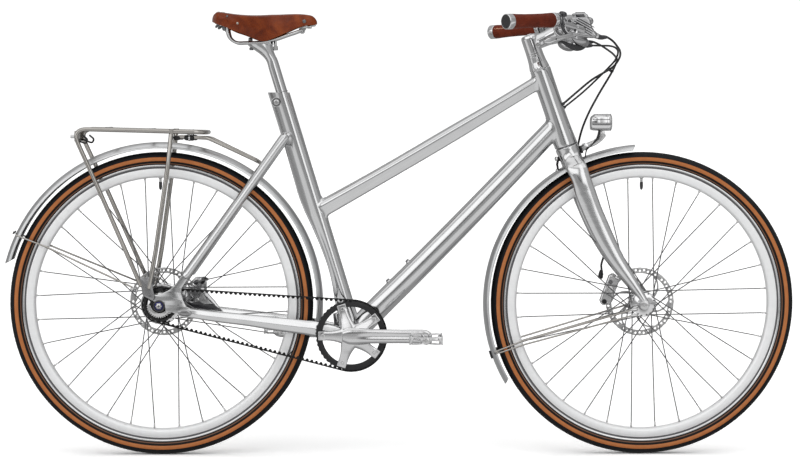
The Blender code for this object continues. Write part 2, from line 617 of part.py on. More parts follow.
def make_fork():
    base = HEAD_BOT_S
    crown = axis_point(base - 0.0155)
    y = Vector((0, 1, 0))
    stations = [(crown, FWD * 0.0240, DIR * 0.0145),
                (Vector((0.9450, 0.0220, 0.6980)), FWD * 0.0240, DIR * 0.0138 + y * 0.0030),
                (Vector((0.9490, 0.0360, 0.6905)), FWD * 0.0235, DIR * 0.0095 + y * 0.0085),
                (Vector((0.9545, 0.0420, 0.6760)), FWD * 0.0230, DIR * 0.0030 + y * 0.0115)]
    legs = [((0.9610, 0.0430, 0.6560), 0.0225, 0.0112), ((0.9773, 0.0435, 0.6144), 0.0218, 0.0110),
            ((0.9970, 0.0445, 0.5560), 0.0195, 0.0105), ((1.0190, 0.0460, 0.4995), 0.0170, 0.0100),
            ((1.0440, 0.0485, 0.4550), 0.0145, 0.0088), ((1.0720, 0.0520, 0.4080), 0.0122, 0.0072),
            ((1.0980, 0.0550, 0.3720), 0.0102, 0.0054), ((1.1110, 0.0555, 0.3560), 0.0092, 0.0048)]
    path = [Vector(p) for p, _, _ in legs]
    for i, (p, fore, wide) in enumerate(legs):
        a = path[max(i - 1, 0)]
        b = path[min(i + 1, len(path) - 1)]
        along = Vector((b.x - a.x, 0, b.z - a.z)).normalized()
        stations.append((path[i], Vector((-along.z, 0, along.x)) * fore, y * wide))
    rings = [ring(c, a, b, 12, 2.2) for c, a, b in stations]
    rings[0] = [Vector((p.x, 0.0, p.z)) for p in rings[0]]
    half = loft("fork", rings, open_start=True)
    mod = half.modifiers.new("other_side", "MIRROR")
    mod.use_axis = (False, True, False)
    mod.use_mirror_merge = True
    mod.merge_threshold = 1e-5
    fork = baked(half)
    steerer = cylinder("steerer", axis_point(base - 0.012), axis_point(HEAD_TOP_S + 0.066),
                       STEERER_R, sides=16)
    seat = cylinder("crown_seat", axis_point(base - 0.010), axis_point(base - 0.0003), 0.0244,
                    0.0244, sides=16)
    fork = union(fork, seat, steerer)
    for sign in (-1, 1):
        fork = union(fork, cylinder("boss", (FRONT.x, sign * FRONT_DROPOUT_Y, FRONT.z),
                                    (FRONT.x, sign * 0.0605, FRONT.z), 0.0112, sides=14))
    fork = cut(fork, cylinder("axle_bore", (FRONT.x, -0.09, FRONT.z), (FRONT.x, 0.09, FRONT.z),
                              0.0064, sides=12))
    finish(fork, "polished_alloy", "fork", pivot=axis_point(0))


def make_stem():
    t = HEAD_TOP_S
    body = turned("stem", [(0.0147, t + 0.0005), (0.0216, t + 0.0005), (0.0166, t + 0.0290),
                           (0.0163, t + 0.0826), (0.0147, t + 0.0826)],
                  HEAD, DIR, 16)
    start = axis_point(t + 0.062) + FWD * 0.0155
    clamp = Vector((0.9250, 0, 0.9850))
    body = union(body, cylinder("arm", start, clamp, 0.0145, sides=12),
                 cylinder("barrel", clamp - Vector((0, 0.021, 0)), clamp + Vector((0, 0.021, 0)),
                          0.0178, sides=16))
    body = cut(body, cylinder("bar_bore", clamp - Vector((0, 0.05, 0)),
                              clamp + Vector((0, 0.05, 0)), 0.0117, sides=16),
               cylinder("steerer_bore", axis_point(t - 0.02), axis_point(t + 0.10), 0.0147,
                        sides=16))
    finish(body, "polished_alloy", pivot=axis_point(0))


BAR_HALF = [(0.9250, 0.0, 0.9850), (0.9253, 0.030, 0.9850), (0.9300, 0.070, 0.9860),
            (0.9370, 0.115, 0.9900), (0.9365, 0.150, 0.9965)]
GRIP_IN = Vector((0.9040, 0.200, 0.9980))
GRIP_OUT = Vector((0.7790, 0.300, 0.9900))
GRIP_DIR = (GRIP_OUT - GRIP_IN).normalized()


def make_bar():
    half = ([Vector(p) for p in BAR_HALF] + [GRIP_IN + GRIP_DIR * t for t in (-0.034, -0.020, 0.0, 0.070)]
            + [GRIP_OUT - GRIP_DIR * 0.006])
    route = [Vector((p.x, -p.y, p.z)) for p in reversed(half[1:])] + half
    finish(tube("handlebar", smooth_path(route, 0.032), 0.0111, res=3), "polished_alloy",
           pivot=axis_point(0))
    along = GRIP_DIR
    length = (GRIP_OUT - GRIP_IN).length
    prof = [(0.0, length), (0.0160, length), (0.0165, length - 0.0060), (0.0155, length - 0.0080),
            (0.0155, 0.0140), (0.0160, 0.0060), (0.0118, 0.0060), (0.0118, length - 0.0030),
            (0.0, length - 0.0030)]
    for side, sign in (("right", -1), ("left", 1)):
        at = Vector((GRIP_IN.x, sign * GRIP_IN.y, GRIP_IN.z))
        way = Vector((along.x, sign * along.y, along.z))
        finish(turned("grip_" + side, prof, at, way, 14, closed=False), "grip_leather",
               pivot=axis_point(0))


LEVER_PIVOT = Vector((0.9390, -0.1850, 0.9690))


def swept(name, points, sizes, sides=10, power=2.4):
    """A blade lofted along points, with (height, width) half-sizes."""
    rings = []
    for i, p in enumerate(points):
        a, b = Vector(points[max(i - 1, 0)]), Vector(points[min(i + 1, len(points) - 1)])
        along = (b - a).normalized()
        across = along.cross(Vector((0, 0, 1))).normalized()
        up = across.cross(along).normalized()
        rings.append(ring(p, up * sizes[i][0], across * sizes[i][1], sides, power))
    return loft(name, rings)


def make_controls():
    # lever bodies: a clamp round the bar, a cylinder for the fluid and a shift pod on the right
    way = Vector((GRIP_DIR.x, -GRIP_DIR.y, GRIP_DIR.z))
    at = Vector((GRIP_IN.x, -GRIP_IN.y, GRIP_IN.z)) - way * 0.014
    start, end = Vector((0.9350, -0.1930, 0.9850)), Vector((0.9880, -0.1680, 0.9650))
    off = (start + (end - start) * 0.10) - at
    off = (off - way * off.dot(way)).normalized()
    for side in ("right", "left"):
        clamp = turned("lever_body", [(0.0120, -0.0065), (0.0160, -0.0065), (0.0160, 0.0065),
                                      (0.0120, 0.0065)], at, way, 18)
        barrel = cylinder("barrel", start + (end - start) * 0.22, end, 0.0100, 0.0080, sides=14)
        neck = cylinder("neck", at + off * 0.0152, start + (end - start) * 0.26, 0.0038, 0.0060,
                        sides=12)
        body = union(clamp, neck, barrel)
        if side == "right":
            pod = block("pod", (0.032, 0.034, 0.034), (0.9670, -0.1580, 0.9880),
                        Matrix.Rotation(math.radians(20), 3, "Y"), 0.006)
            body = union(body, pod)
            body.name = "lever_body_right"
            finish(body, "polished_alloy", pivot=axis_point(0))
        else:
            left = add("lever_body_left", mirrored(body))
            bpy.data.objects.remove(body, do_unlink=True)
            finish(left, "polished_alloy", pivot=axis_point(0))

    # brake lever blades, below and in front of the grips
    blade = swept("brake_lever_right",
                  [(0.9420, -0.1800, 0.9670), (0.9330, -0.1930, 0.9640), (0.9150, -0.2100, 0.9590),
                   (0.8920, -0.2300, 0.9540), (0.8740, -0.2440, 0.9500), (0.8650, -0.2510, 0.9480)],
                  [(0.0042, 0.0045), (0.0058, 0.0055), (0.0055, 0.0055), (0.0062, 0.0045),
                   (0.0075, 0.0045), (0.0045, 0.0040)])
    both(blade, "polished_alloy", "brake_lever", pivot=LEVER_PIVOT)

    # thumb lever of the gear shifter, under the right lever body
    lever = swept("shift_lever", [(0.9640, -0.1500, 0.9560), (0.9600, -0.1640, 0.9480),
                                  (0.9440, -0.1800, 0.9420), (0.9240, -0.1900, 0.9420)],
                  [(0.006, 0.0028), (0.007, 0.0028), (0.009, 0.0028), (0.006, 0.0028)])
    finish(lever, "black", pivot=(0.9640, -0.1500, 0.9560))


# ---------------------------------------------------------------- fenders
def fender(name, hub, r_out, start, end, steps):
    """A channel of sheet, rounded across, bent round the wheel."""
    mesh = bpy.data.meshes.new(name)
    bm = bmesh.new()
    section = [(-1.0, 0.0150), (-0.90, 0.0060), (-0.45, 0.0004), (0.45, 0.0004), (0.90, 0.0060),
               (1.0, 0.0150)]
    rows = []
    for i in range(steps + 1):
        a = math.radians(start + (end - start) * i / steps)
        rows.append([bm.verts.new((hub.x + (r_out - d) * math.cos(a), FENDER_HALF_W * y,
                                   hub.z + (r_out - d) * math.sin(a))) for y, d in section])
    for p, q in zip(rows, rows[1:]):
        for k in range(len(section) - 1):
            bm.faces.new((p[k], p[k + 1], q[k + 1], q[k]))
    bm.normal_update()
    bm.faces.ensure_lookup_table()
    mid = bm.faces[len(bm.faces) // 2]
    out = mid.calc_center_median() - hub
    if mid.normal.dot(Vector((out.x, 0, out.z))) < 0:
        bmesh.ops.reverse_faces(bm, faces=bm.faces)
    bm.to_mesh(mesh)
    bm.free()
    obj = add(name, mesh)
    mod = obj.modifiers.new("sheet", "SOLIDIFY")
    mod.thickness = 0.0012
    mod.offset = -1.0
    return baked(obj)


def polar(hub, r, deg, y=0.0):
    a = math.radians(deg)
    return Vector((hub.x + r * math.cos(a), y, hub.z + r * math.sin(a)))


def make_fenders():
    finish(fender("rear_fender", REAR, FENDER_R, -5.0, 165.7, 24), "matt_alloy")
    finish(fender("front_fender", FRONT, FRONT_FENDER_R, 92.7, 210.8, 16), "matt_alloy",
           pivot=axis_point(0))
    # rear fender stay: one wire from dropout to dropout, round the outside of the fender
    tip = polar(REAR, FENDER_R + 0.0040, 153.5)
    half = [Vector((-0.0600, 0.0775, 0.3900)), Vector((-0.0800, 0.0745, 0.3975)),
            polar(REAR, 0.2500, 156.5, 0.0420), polar(REAR, 0.3550, 154.2, 0.0330),
            polar(REAR, FENDER_R + 0.0010, 153.7, 0.0270), tip + Vector((0, 0.0150, 0))]
    route = half + [tip] + [Vector((p.x, -p.y, p.z)) for p in reversed(half)]
    finish(tube("rear_fender_stay", smooth_path(route, 0.040), 0.0021, res=1), "stainless")
    # front fender stays: two wires a side, joined round the fender's tail
    tip = polar(FRONT, FRONT_FENDER_R + 0.0040, 199.0)
    half = [Vector((1.0850, 0.0655, 0.3480)), polar(FRONT, 0.2000, 190.0, 0.0500),
            polar(FRONT, 0.3500, 198.0, 0.0330), polar(FRONT, FRONT_FENDER_R + 0.0010, 198.8, 0.0270),
            tip + Vector((0, 0.0150, 0))]
    route = half + [tip] + [Vector((p.x, -p.y, p.z)) for p in reversed(half)]
    upper = tube("front_fender_stays", smooth_path(route, 0.050), 0.0021, res=1)
    for sign in (-1, 1):
        low = [Vector((1.0850, sign * 0.0655, 0.3230)), polar(FRONT, 0.2000, 195.5, sign * 0.0500),
               polar(FRONT, 0.3400, 198.2, sign * 0.0340)]
        upper = union(upper, tube("low", smooth_path(low, 0.100), 0.0020, res=1))
    finish(upper, "stainless", pivot=axis_point(0))


# ---------------------------------------------------------------- rack
def make_rack():
    half = [(-0.0409, 0.0775, 0.3990), (-0.0600, 0.0755, 0.4440), (-0.1350, 0.0670, 0.6150),
            (-0.1800, 0.0615, 0.7160), (-0.1905, 0.0600, 0.7340), (-0.1905, 0.0600, 0.7450),
            (-0.1800, 0.0600, 0.7540), (-0.1638, 0.0600, 0.7580), (0.0, 0.0600, 0.7530),
            (0.0850, 0.0600, 0.7502), (0.1060, 0.0540, 0.7496), (0.1146, 0.0380, 0.7492),
            (0.1146, 0.0, 0.7492)]
    half = [Vector(p) for p in half]
    route = half + [Vector((p.x, -p.y, p.z)) for p in reversed(half[:-1])]
    rack = tube("rack", smooth_path(route, 0.120), RACK_TUBE_R, res=2)
    for sign in (-1, 1):
        rack = union(rack, tube("leg", [(0.0295, sign * 0.0600, 0.7500),
                                        (-0.0221, sign * 0.0775, 0.3930)], 0.0045, res=1))
        ear = plate("ear", [[(-0.0500, 0.4080), (-0.0350, 0.3720), (-0.0180, 0.3640),
                             (-0.0120, 0.3760), (-0.0160, 0.4040)]], 0.0028, sign * 0.0775)
        rack = union(rack, ear)
    for x, z in ((-0.120, 0.7567), (-0.020, 0.7537), (0.070, 0.7507)):
        rack = union(rack, tube("cross", [(x, -0.0600, z), (x, 0.0600, z)], 0.0035, res=1))
    rack = union(rack, block("lamp_plate", (0.0030, 0.1220, 0.0240), (-0.1905, 0, 0.7390)))
    finish(rack, "stainless")

    brace = [Vector((0.0100, 0.0480, 0.7395)), Vector((0.1100, 0.0480, 0.7330)),
             Vector((0.1500, 0.0440, 0.7180)), Vector((0.2200, 0.0300, 0.6830)),
             Vector((0.2276, 0.0200, 0.6783)), Vector((0.2276, 0.0, 0.6783))]
    route = brace + [Vector((p.x, -p.y, p.z)) for p in reversed(brace[:-1])]
    finish(tube("rack_brace", smooth_path(route, 0.050), 0.0038, res=1), "stainless")


# ---------------------------------------------------------------- saddle and post
SADDLE_PIVOT = Vector((0.2360, 0, 0.9415))


def make_saddle():
    bottom = SEAT_TOP - SEAT_DIR * 0.100
    route = [bottom, SEAT_TOP - SEAT_DIR * 0.03, SEAT_TOP + SEAT_DIR * 0.060,
             Vector((0.2580, 0, 0.9095)), Vector((0.2530, 0, 0.9190)), Vector((0.2440, 0, 0.9270)),
             Vector((0.2370, 0, 0.9310))]
    post = tube("seatpost", smooth_path(route, 0.030), POST_R, res=3)
    post = union(post, cylinder("barrel", (SADDLE_PIVOT.x, -0.022, SADDLE_PIVOT.z),
                                (SADDLE_PIVOT.x, 0.022, SADDLE_PIVOT.z), 0.0085, sides=16))
    finish(post, "polished_alloy", pivot=SEAT_TOP)

    rail = [(0.1500, 0.0420, 0.9900), (0.1560, 0.0360, 0.9700), (0.1750, 0.0240, 0.9590),
            (0.2108, 0.0215, 0.9585), (0.2400, 0.0215, 0.9590), (0.2700, 0.0210, 0.9670),
            (0.3150, 0.0150, 0.9840), (0.3320, 0.0060, 0.9900), (0.3340, 0.0, 0.9905)]
    rail = [Vector(p) for p in rail]
    route = rail + [Vector((p.x, -p.y, p.z)) for p in reversed(rail[:-1])]
    rails = tube("saddle_rails", smooth_path(route, 0.030), 0.0035, res=1)
    clamp = union(block("under", (0.0460, 0.0520, 0.0050), (0.2360, 0, 0.9533), bevel=0.001),
                  block("web", (0.0460, 0.0300, 0.0150), (0.2360, 0, 0.9590)),
                  block("over", (0.0400, 0.0520, 0.0050), (0.2360, 0, 0.9650), bevel=0.001))
    rails = union(rails, clamp)
    finish(rails, "dark_steel", pivot=SADDLE_PIVOT)

    stations = [(0.1195, 1.0130, 0.0300, 1.0020), (0.1260, 1.0215, 0.0560, 0.9950),
                (0.1420, 1.0262, 0.0800, 0.9900), (0.1650, 1.0210, 0.0875, 0.9830),
                (0.1900, 1.0180, 0.0790, 0.9740), (0.2150, 1.0182, 0.0590, 0.9640),
                (0.2404, 1.0188, 0.0410, 0.9568), (0.2650, 1.0198, 0.0315, 0.9640),
                (0.2950, 1.0212, 0.0255, 0.9800), (0.3233, 1.0221, 0.0220, 0.9905),
                (0.3450, 1.0180, 0.0200, 0.9930), (0.3600, 1.0050, 0.0120, 0.9950)]
    mesh = bpy.data.meshes.new("saddle_leather")
    bm = bmesh.new()
    rows = []
    for x, top, w, skirt in stations:
        drop = top - skirt
        across = [(-0.96, 1.0), (-1.0, 0.55), (-0.90, 0.20), (-0.55, 0.05), (0.0, 0.0),
                  (0.55, 0.05), (0.90, 0.20), (1.0, 0.55), (0.96, 1.0)]
        rows.append([bm.verts.new((x, w * a, top - drop * d)) for a, d in across])
    for p, q in zip(rows, rows[1:]):
        for k in range(8):
            bm.faces.new((p[k], p[k + 1], q[k + 1], q[k]))
    bm.faces.new(rows[0][::-1])
    bm.faces.new(rows[-1])
    bm.normal_update()
    bm.faces.ensure_lookup_table()
    mid = bm.faces[8 * 6 + 4]
    if mid.normal.z < 0:
        bmesh.ops.reverse_faces(bm, faces=bm.faces)
    bm.to_mesh(mesh)
    bm.free()
    top = add("saddle_leather", mesh)
    mod = top.modifiers.new("hide", "SOLIDIFY")
    mod.thickness = 0.0045
    mod.offset = -1.0
    finish(baked(top), "saddle_leather", pivot=SADDLE_PIVOT)


# ---------------------------------------------------------------- brakes, lamp and cables
def make_brakes():
    turn = Matrix.Rotation(math.radians(20), 3, "Y")
    centre = Vector((1.0440, 0.0350, 0.3790))
    body = block("front_caliper", (0.030, 0.0175, 0.072), centre, turn, 0.004)
    body = cut(body, block("slot", (0.034, 0.0034, 0.20),
                           centre + turn @ Vector((0.012, -0.0005, 0)), turn))
    finish(body, "matt_alloy", pivot=axis_point(0))
    turn = Matrix.Rotation(math.radians(0), 3, "Y")
    body = block("rear_caliper", (0.026, 0.0200, 0.054), (0.0800, 0.0510, 0.3765), turn, 0.005)
    body = cut(body, block("slot", (0.030, 0.0034, 0.20), (0.0690, 0.0520, 0.3765)))
    finish(body, "matt_alloy")


LAMP_PIVOT = Vector((1.0210, 0, 0.7440))


def make_lamp():
    # bracket: a strip from the fork crown's front, ending in two ears
    strap = tube("lamp_bracket", [(0.9715, 0, 0.7085), (0.9860, 0, 0.7105), (0.9950, 0, 0.7160),
                                  (1.0120, 0, 0.7300)], 0.0040)
    strap = union(strap, block("pad", (0.0040, 0.0180, 0.0160), (0.9720, 0, 0.7085),
                               Matrix.Rotation(-(math.pi / 2 - HEAD_ANGLE), 3, "Y")),
                  block("yoke", (0.0070, 0.0160, 0.0060), (1.0130, 0, 0.7310), bevel=0.001))
    for sign in (-1, 1):
        strap = union(strap, plate("ear", [[(1.0100, 0.7285), (1.0170, 0.7285), (1.0260, 0.7420),
                                            (1.0240, 0.7480), (1.0180, 0.7480)]], 0.0030,
                                   sign * 0.0062))
    finish(strap, "black", pivot=axis_point(0))
    body = turned("headlamp", [(0.0, 0.0), (0.0185, 0.0), (0.0197, 0.0020), (0.0197, 0.0100),
                               (0.0190, 0.0340), (0.0165, 0.0440), (0.0100, 0.0500),
                               (0.0, 0.0515)], (1.0460, 0, 0.7705), (-1, 0, 0), 16, closed=False)
    lug = plate("lug", [[(1.0150, 0.7440), (1.0175, 0.7390), (1.0245, 0.7390), (1.0270, 0.7440),
                         (1.0270, 0.7560), (1.0150, 0.7560)]], 0.0080, 0.0)
    finish(union(body, lug), "matt_alloy", pivot=LAMP_PIVOT)


def make_cables():
    entry = axis_point(0.013) + FWD * 0.0232
    hose = [(0.9975, -0.1640, 0.9640), (1.0110, -0.1560, 0.9630), (1.0250, -0.1450, 0.9565),
            (1.0420, -0.1200, 0.9420), (1.0533, -0.0800, 0.9288), (1.0541, -0.0420, 0.9153),
            (1.0456, -0.0120, 0.8998), (0.9940, -0.0110, 0.8677), (0.9593, -0.0100, 0.8389),
            (0.9305, -0.0095, 0.8140)]
    finish(tube("rear_brake_hose", smooth_path(hose, 0.024), CABLE_R), "black_rubber")
    shift = [(0.9830, -0.1380, 0.9650), (1.0000, -0.1330, 0.9560), (1.0200, -0.1220, 0.9470),
             (1.0380, -0.1000, 0.9380), (1.0490, -0.0640, 0.9300), (1.0500, -0.0330, 0.9180),
             (1.0410, -0.0030, 0.8995), (0.9951, 0.0020, 0.8612), (0.9608, 0.0060, 0.8296),
             (0.9318, 0.0090, 0.8065)]
    finish(tube("shift_cable", smooth_path(shift, 0.024), 0.0022), "black_rubber")
    front = [(0.9975, 0.1640, 0.9640), (1.0110, 0.1560, 0.9630), (1.0260, 0.1420, 0.9560),
             (1.0440, 0.1100, 0.9420), (1.0560, 0.0650, 0.9270), (1.0570, 0.0250, 0.9140),
             (1.0490, 0.0030, 0.8980), (1.0130, 0.0180, 0.8294), (0.9840, 0.0290, 0.7649),
             (0.9760, 0.0450, 0.7208), (0.9660, 0.0600, 0.6700), (0.9640, 0.0620, 0.6200),
             (0.9800, 0.0640, 0.5500), (1.0020, 0.0640, 0.4800), (1.0180, 0.0560, 0.4400),
             (1.0260, 0.0420, 0.4220)]
    finish(tube("front_brake_hose", smooth_path(front, 0.034), CABLE_R), "black_rubber",
           pivot=axis_point(0))


make_frame()
make_wheels()
make_drive()
make_fork()
make_stem()
make_bar()
make_controls()
make_fenders()
make_rack()
make_saddle()
make_brakes()
make_lamp()
make_cables()
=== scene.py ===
"""The finish of the step-through bicycle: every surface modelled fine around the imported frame.

Metres, +X forward, +Y to the rider's left, +Z up.  Shapes are written from the rear axle
(X = 0 there) and moved by SHIFT into the frame of the part when they are put on a body.
"""

import json
import math

import bmesh
import bpy
from mathutils import Matrix, Vector, noise
from mathutils.bvhtree import BVHTree

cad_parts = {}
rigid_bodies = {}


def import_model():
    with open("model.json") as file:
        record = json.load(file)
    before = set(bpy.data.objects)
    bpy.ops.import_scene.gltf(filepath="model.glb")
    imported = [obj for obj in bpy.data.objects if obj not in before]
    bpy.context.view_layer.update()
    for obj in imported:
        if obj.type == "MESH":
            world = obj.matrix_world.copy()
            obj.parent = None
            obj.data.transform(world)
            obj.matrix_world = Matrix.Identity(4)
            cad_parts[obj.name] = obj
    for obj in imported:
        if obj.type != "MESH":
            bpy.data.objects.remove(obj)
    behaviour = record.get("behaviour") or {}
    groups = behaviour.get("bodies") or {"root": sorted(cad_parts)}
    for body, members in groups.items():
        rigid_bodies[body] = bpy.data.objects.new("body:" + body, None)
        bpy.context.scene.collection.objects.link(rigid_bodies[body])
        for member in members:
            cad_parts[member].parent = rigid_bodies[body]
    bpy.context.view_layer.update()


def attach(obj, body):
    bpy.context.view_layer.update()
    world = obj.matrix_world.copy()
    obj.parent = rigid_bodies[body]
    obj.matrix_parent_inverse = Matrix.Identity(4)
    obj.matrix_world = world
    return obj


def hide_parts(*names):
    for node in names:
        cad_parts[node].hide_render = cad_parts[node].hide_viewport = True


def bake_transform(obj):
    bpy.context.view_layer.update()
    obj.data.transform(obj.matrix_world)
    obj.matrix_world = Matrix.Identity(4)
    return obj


for old in list(bpy.data.objects):
    bpy.data.objects.remove(old, do_unlink=True)

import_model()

V = Vector
rad = math.radians
TAU = math.tau
SHIFT_X = -0.55174
SHIFT = Matrix.Translation((SHIFT_X, 0.0, 0.0))
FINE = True

AXLE_Z = 0.351
REAR = V((0.0, 0.0, AXLE_Z))
FRONT = V((1.115, 0.0, AXLE_Z))
BB = V((0.4396, 0.0, 0.280))
HEAD_ANGLE = rad(71.0)
DIR = V((-math.cos(HEAD_ANGLE), 0.0, math.sin(HEAD_ANGLE)))
FWD = V((math.sin(HEAD_ANGLE), 0.0, math.cos(HEAD_ANGLE)))
HEAD = V((0.9087, 0.0, 0.8036))
SEAT_ANGLE = rad(73.1)
SEAT_DIR = V((-math.cos(SEAT_ANGLE), 0.0, math.sin(SEAT_ANGLE)))
SEAT_TOP = V((0.2795, 0.0, 0.8396))
X, Y, Z = V((1, 0, 0)), V((0, 1, 0)), V((0, 0, 1))


# ================================================================ camera, light and floor
def make_stage():
    cam = bpy.data.objects.new("camera", bpy.data.cameras.new("camera"))
    bpy.context.scene.collection.objects.link(cam)
    cam.data.sensor_width = 36.0
    cam.data.lens = 97.08
    cam.data.clip_end = 200.0
    cam.location = (0.4963 + SHIFT_X, -5.0, 0.78545)
    cam.rotation_euler = (rad(90.0 - 3.040), 0.0, rad(-0.645))
    bpy.context.scene.camera = cam

    mesh = bpy.data.meshes.new("floor")
    bm = bmesh.new()
    bmesh.ops.create_grid(bm, x_segments=4, y_segments=4, size=60.0)
    bm.to_mesh(mesh)
    bm.free()
    floor = bpy.data.objects.new("floor", mesh)
    floor.location.z = -0.0008
    bpy.context.scene.collection.objects.link(floor)
    # overexposed white where it is looked at, a lit patch in front of the bicycle where metal mirrors it
    mat = bpy.data.materials.new("floor_pale")
    mat.use_nodes = True
    tree = mat.node_tree
    tree.nodes.clear()
    n, join_ = tree.nodes.new, tree.links.new
    seen = n("ShaderNodeBsdfDiffuse")
    seen.inputs["Color"].default_value = (1.42, 1.42, 1.42, 1.0)
    lit = n("ShaderNodeEmission")
    coord = n("ShaderNodeTexCoord")
    split = n("ShaderNodeSeparateXYZ")
    join_(coord.outputs["Object"], split.inputs[0])
    near = n("ShaderNodeMapRange")
    near.interpolation_type = "SMOOTHSTEP"
    join_(split.outputs["Y"], near.inputs["Value"])
    for key, val in (("From Min", -0.60), ("From Max", -0.30), ("To Min", 0.92), ("To Max", 0.42)):
        near.inputs[key].default_value = val
    far = n("ShaderNodeMapRange")
    far.interpolation_type = "SMOOTHSTEP"
    join_(split.outputs["Y"], far.inputs["Value"])
    for key, val in (("From Min", -3.2), ("From Max", -1.9), ("To Min", 0.45), ("To Max", 1.0)):
        far.inputs[key].default_value = val
    both = n("ShaderNodeMath")
    both.operation = "MULTIPLY"
    join_(near.outputs["Result"], both.inputs[0])
    join_(far.outputs["Result"], both.inputs[1])
    join_(both.outputs[0], lit.inputs["Strength"])
    path = n("ShaderNodeLightPath")
    mix = n("ShaderNodeMixShader")
    join_(path.outputs["Is Camera Ray"], mix.inputs["Fac"])
    join_(lit.outputs[0], mix.inputs[1])
    join_(seen.outputs[0], mix.inputs[2])
    out = n("ShaderNodeOutputMaterial")
    join_(mix.outputs[0], out.inputs["Surface"])
    mesh.materials.append(mat)
    make_sky()


def make_sky():
    """A white studio: a soft box up left, a strip light right, a grey right side, and a white
    wall behind the bicycle."""
    world = bpy.data.worlds.new("studio")
    bpy.context.scene.world = world
    world.use_nodes = True
    tree = world.node_tree
    tree.nodes.clear()
    n, link = tree.nodes.new, tree.links.new
    coord = n("ShaderNodeTexCoord")
    split = n("ShaderNodeSeparateXYZ")
    link(coord.outputs["Generated"], split.inputs[0])
    x, y, z = split.outputs

    def calc(op, a, b=None, c=None):
        node = n("ShaderNodeMath")
        node.operation = op
        for i, val in enumerate((a, b, c)):
            if val is None:
                continue
            if isinstance(val, (int, float)):
                node.inputs[i].default_value = val
            else:
                link(val, node.inputs[i])
        return node.outputs[0]

    def ramp(value, lo, hi, out_lo=0.0, out_hi=1.0):
        node = n("ShaderNodeMapRange")
        node.interpolation_type = "SMOOTHSTEP"
        link(value, node.inputs["Value"])
        node.inputs["From Min"].default_value = lo
        node.inputs["From Max"].default_value = hi
        node.inputs["To Min"].default_value = out_lo
        node.inputs["To Max"].default_value = out_hi
        return node.outputs["Result"]

    def inside(value, lo, hi, soft):
        return calc("MULTIPLY", ramp(value, lo - soft, lo + soft), ramp(value, hi - soft, hi + soft, 1.0, 0.0))

    def blend(base, mask, level):
        """base where mask is 0, level where it is 1"""
        a = calc("MULTIPLY", base, calc("SUBTRACT", 1.0, mask))
        return calc("MULTIPLY_ADD", mask, level, a)

    az = calc("MULTIPLY", calc("ARCTAN2", x, calc("MULTIPLY", y, -1.0)), 57.2958)   # 0 towards the camera, + right
    el = calc("MULTIPLY", calc("ARCSINE", z), 57.2958)
    front = ramp(y, 0.1, -0.15)

    level = calc("ADD", 0.42, 0.0)
    # behind: dark low down, lighter towards the ceiling
    rear = ramp(y, -0.10, 0.12)
    level = blend(level, rear, 0.35)
    level = blend(level, calc("MULTIPLY", rear, ramp(el, 22.0, 40.0)), 0.56)
    level = blend(level, calc("MULTIPLY", front, ramp(el, 34.0, 42.0)), 1.22)
    level = blend(level, ramp(el, 52.0, 74.0), 1.18)
    # right side
    level = blend(level, calc("MULTIPLY", front, calc("MULTIPLY", inside(az, 30.0, 76.0, 6.0), inside(el, -10.0, 40.0, 5.0))), 0.60)
    # the wide soft box, up left of the camera, and its lower end on the left
    level = blend(level, calc("MULTIPLY", front, calc("MULTIPLY", inside(az, -76.0, -3.0, 5.0), inside(el, 8.0, 33.0, 2.5))), 1.62)
    level = blend(level, calc("MULTIPLY", front, calc("MULTIPLY", inside(az, -68.0, -36.0, 4.0), inside(el, -12.0, 10.0, 3.0))), 1.34)
    # strip light right of the camera
    level = blend(level, calc("MULTIPLY", front, calc("MULTIPLY", inside(az, 5.0, 29.0, 3.0), inside(el, -6.0, 60.0, 4.0))), 1.58)
    # below the horizon in front
    level = blend(level, calc("MULTIPLY", front, calc("MULTIPLY", inside(az, -30.0, 40.0, 8.0), inside(el, -13.0, -6.0, 2.0))), 0.55)
    # the camera's own dark corner
    level = blend(level, calc("MULTIPLY", front, calc("MULTIPLY", inside(az, -13.0, 2.5, 2.5), inside(el, -4.5, 4.5, 1.5))), 0.13)

    lit = n("ShaderNodeBackground")
    lit.inputs["Color"].default_value = (1.0, 1.0, 1.0, 1.0)
    link(level, lit.inputs["Strength"])
    # the white wall that is looked at
    wall = n("ShaderNodeBackground")
    wall.inputs["Color"].default_value = (1.0, 1.0, 1.0, 1.0)
    wall.inputs["Strength"].default_value = 1.1
    path = n("ShaderNodeLightPath")
    mix = n("ShaderNodeMixShader")
    link(path.outputs["Is Camera Ray"], mix.inputs["Fac"])
    link(lit.outputs[0], mix.inputs[1])
    link(wall.outputs[0], mix.inputs[2])
    out = n("ShaderNodeOutputWorld")
    link(mix.outputs[0], out.inputs["Surface"])


bpy.context.scene.view_settings.view_transform = "Standard"
make_stage()


# ================================================================ materials
def material(name):
    mat = bpy.data.materials.new(name)
    mat.use_nodes = True
    tree = mat.node_tree
    return mat, tree, tree.nodes["Principled BSDF"]


def noise_tex(tree, vector, scale, detail=3.0, rough=0.5, distort=0.0):
    tex = tree.nodes.new("ShaderNodeTexNoise")
    tex.inputs["Scale"].default_value = scale
    tex.inputs["Detail"].default_value = detail
    tex.inputs["Roughness"].default_value = rough
    tex.inputs["Distortion"].default_value = distort
    tree.links.new(vector, tex.inputs["Vector"])
    return tex.outputs["Fac"]


def mapping(tree, source, scale):
    coord = tree.nodes.new("ShaderNodeTexCoord")
    node = tree.nodes.new("ShaderNodeMapping")
    node.inputs["Scale"].default_value = scale
    tree.links.new(coord.outputs[source], node.inputs["Vector"])
    return node.outputs["Vector"]


def spread(tree, value, lo, hi, a, b):
    node = tree.nodes.new("ShaderNodeMapRange")
    node.inputs["From Min"].default_value = lo
    node.inputs["From Max"].default_value = hi
    node.inputs["To Min"].default_value = a
    node.inputs["To Max"].default_value = b
    tree.links.new(value, node.inputs["Value"])
    return node.outputs["Result"]


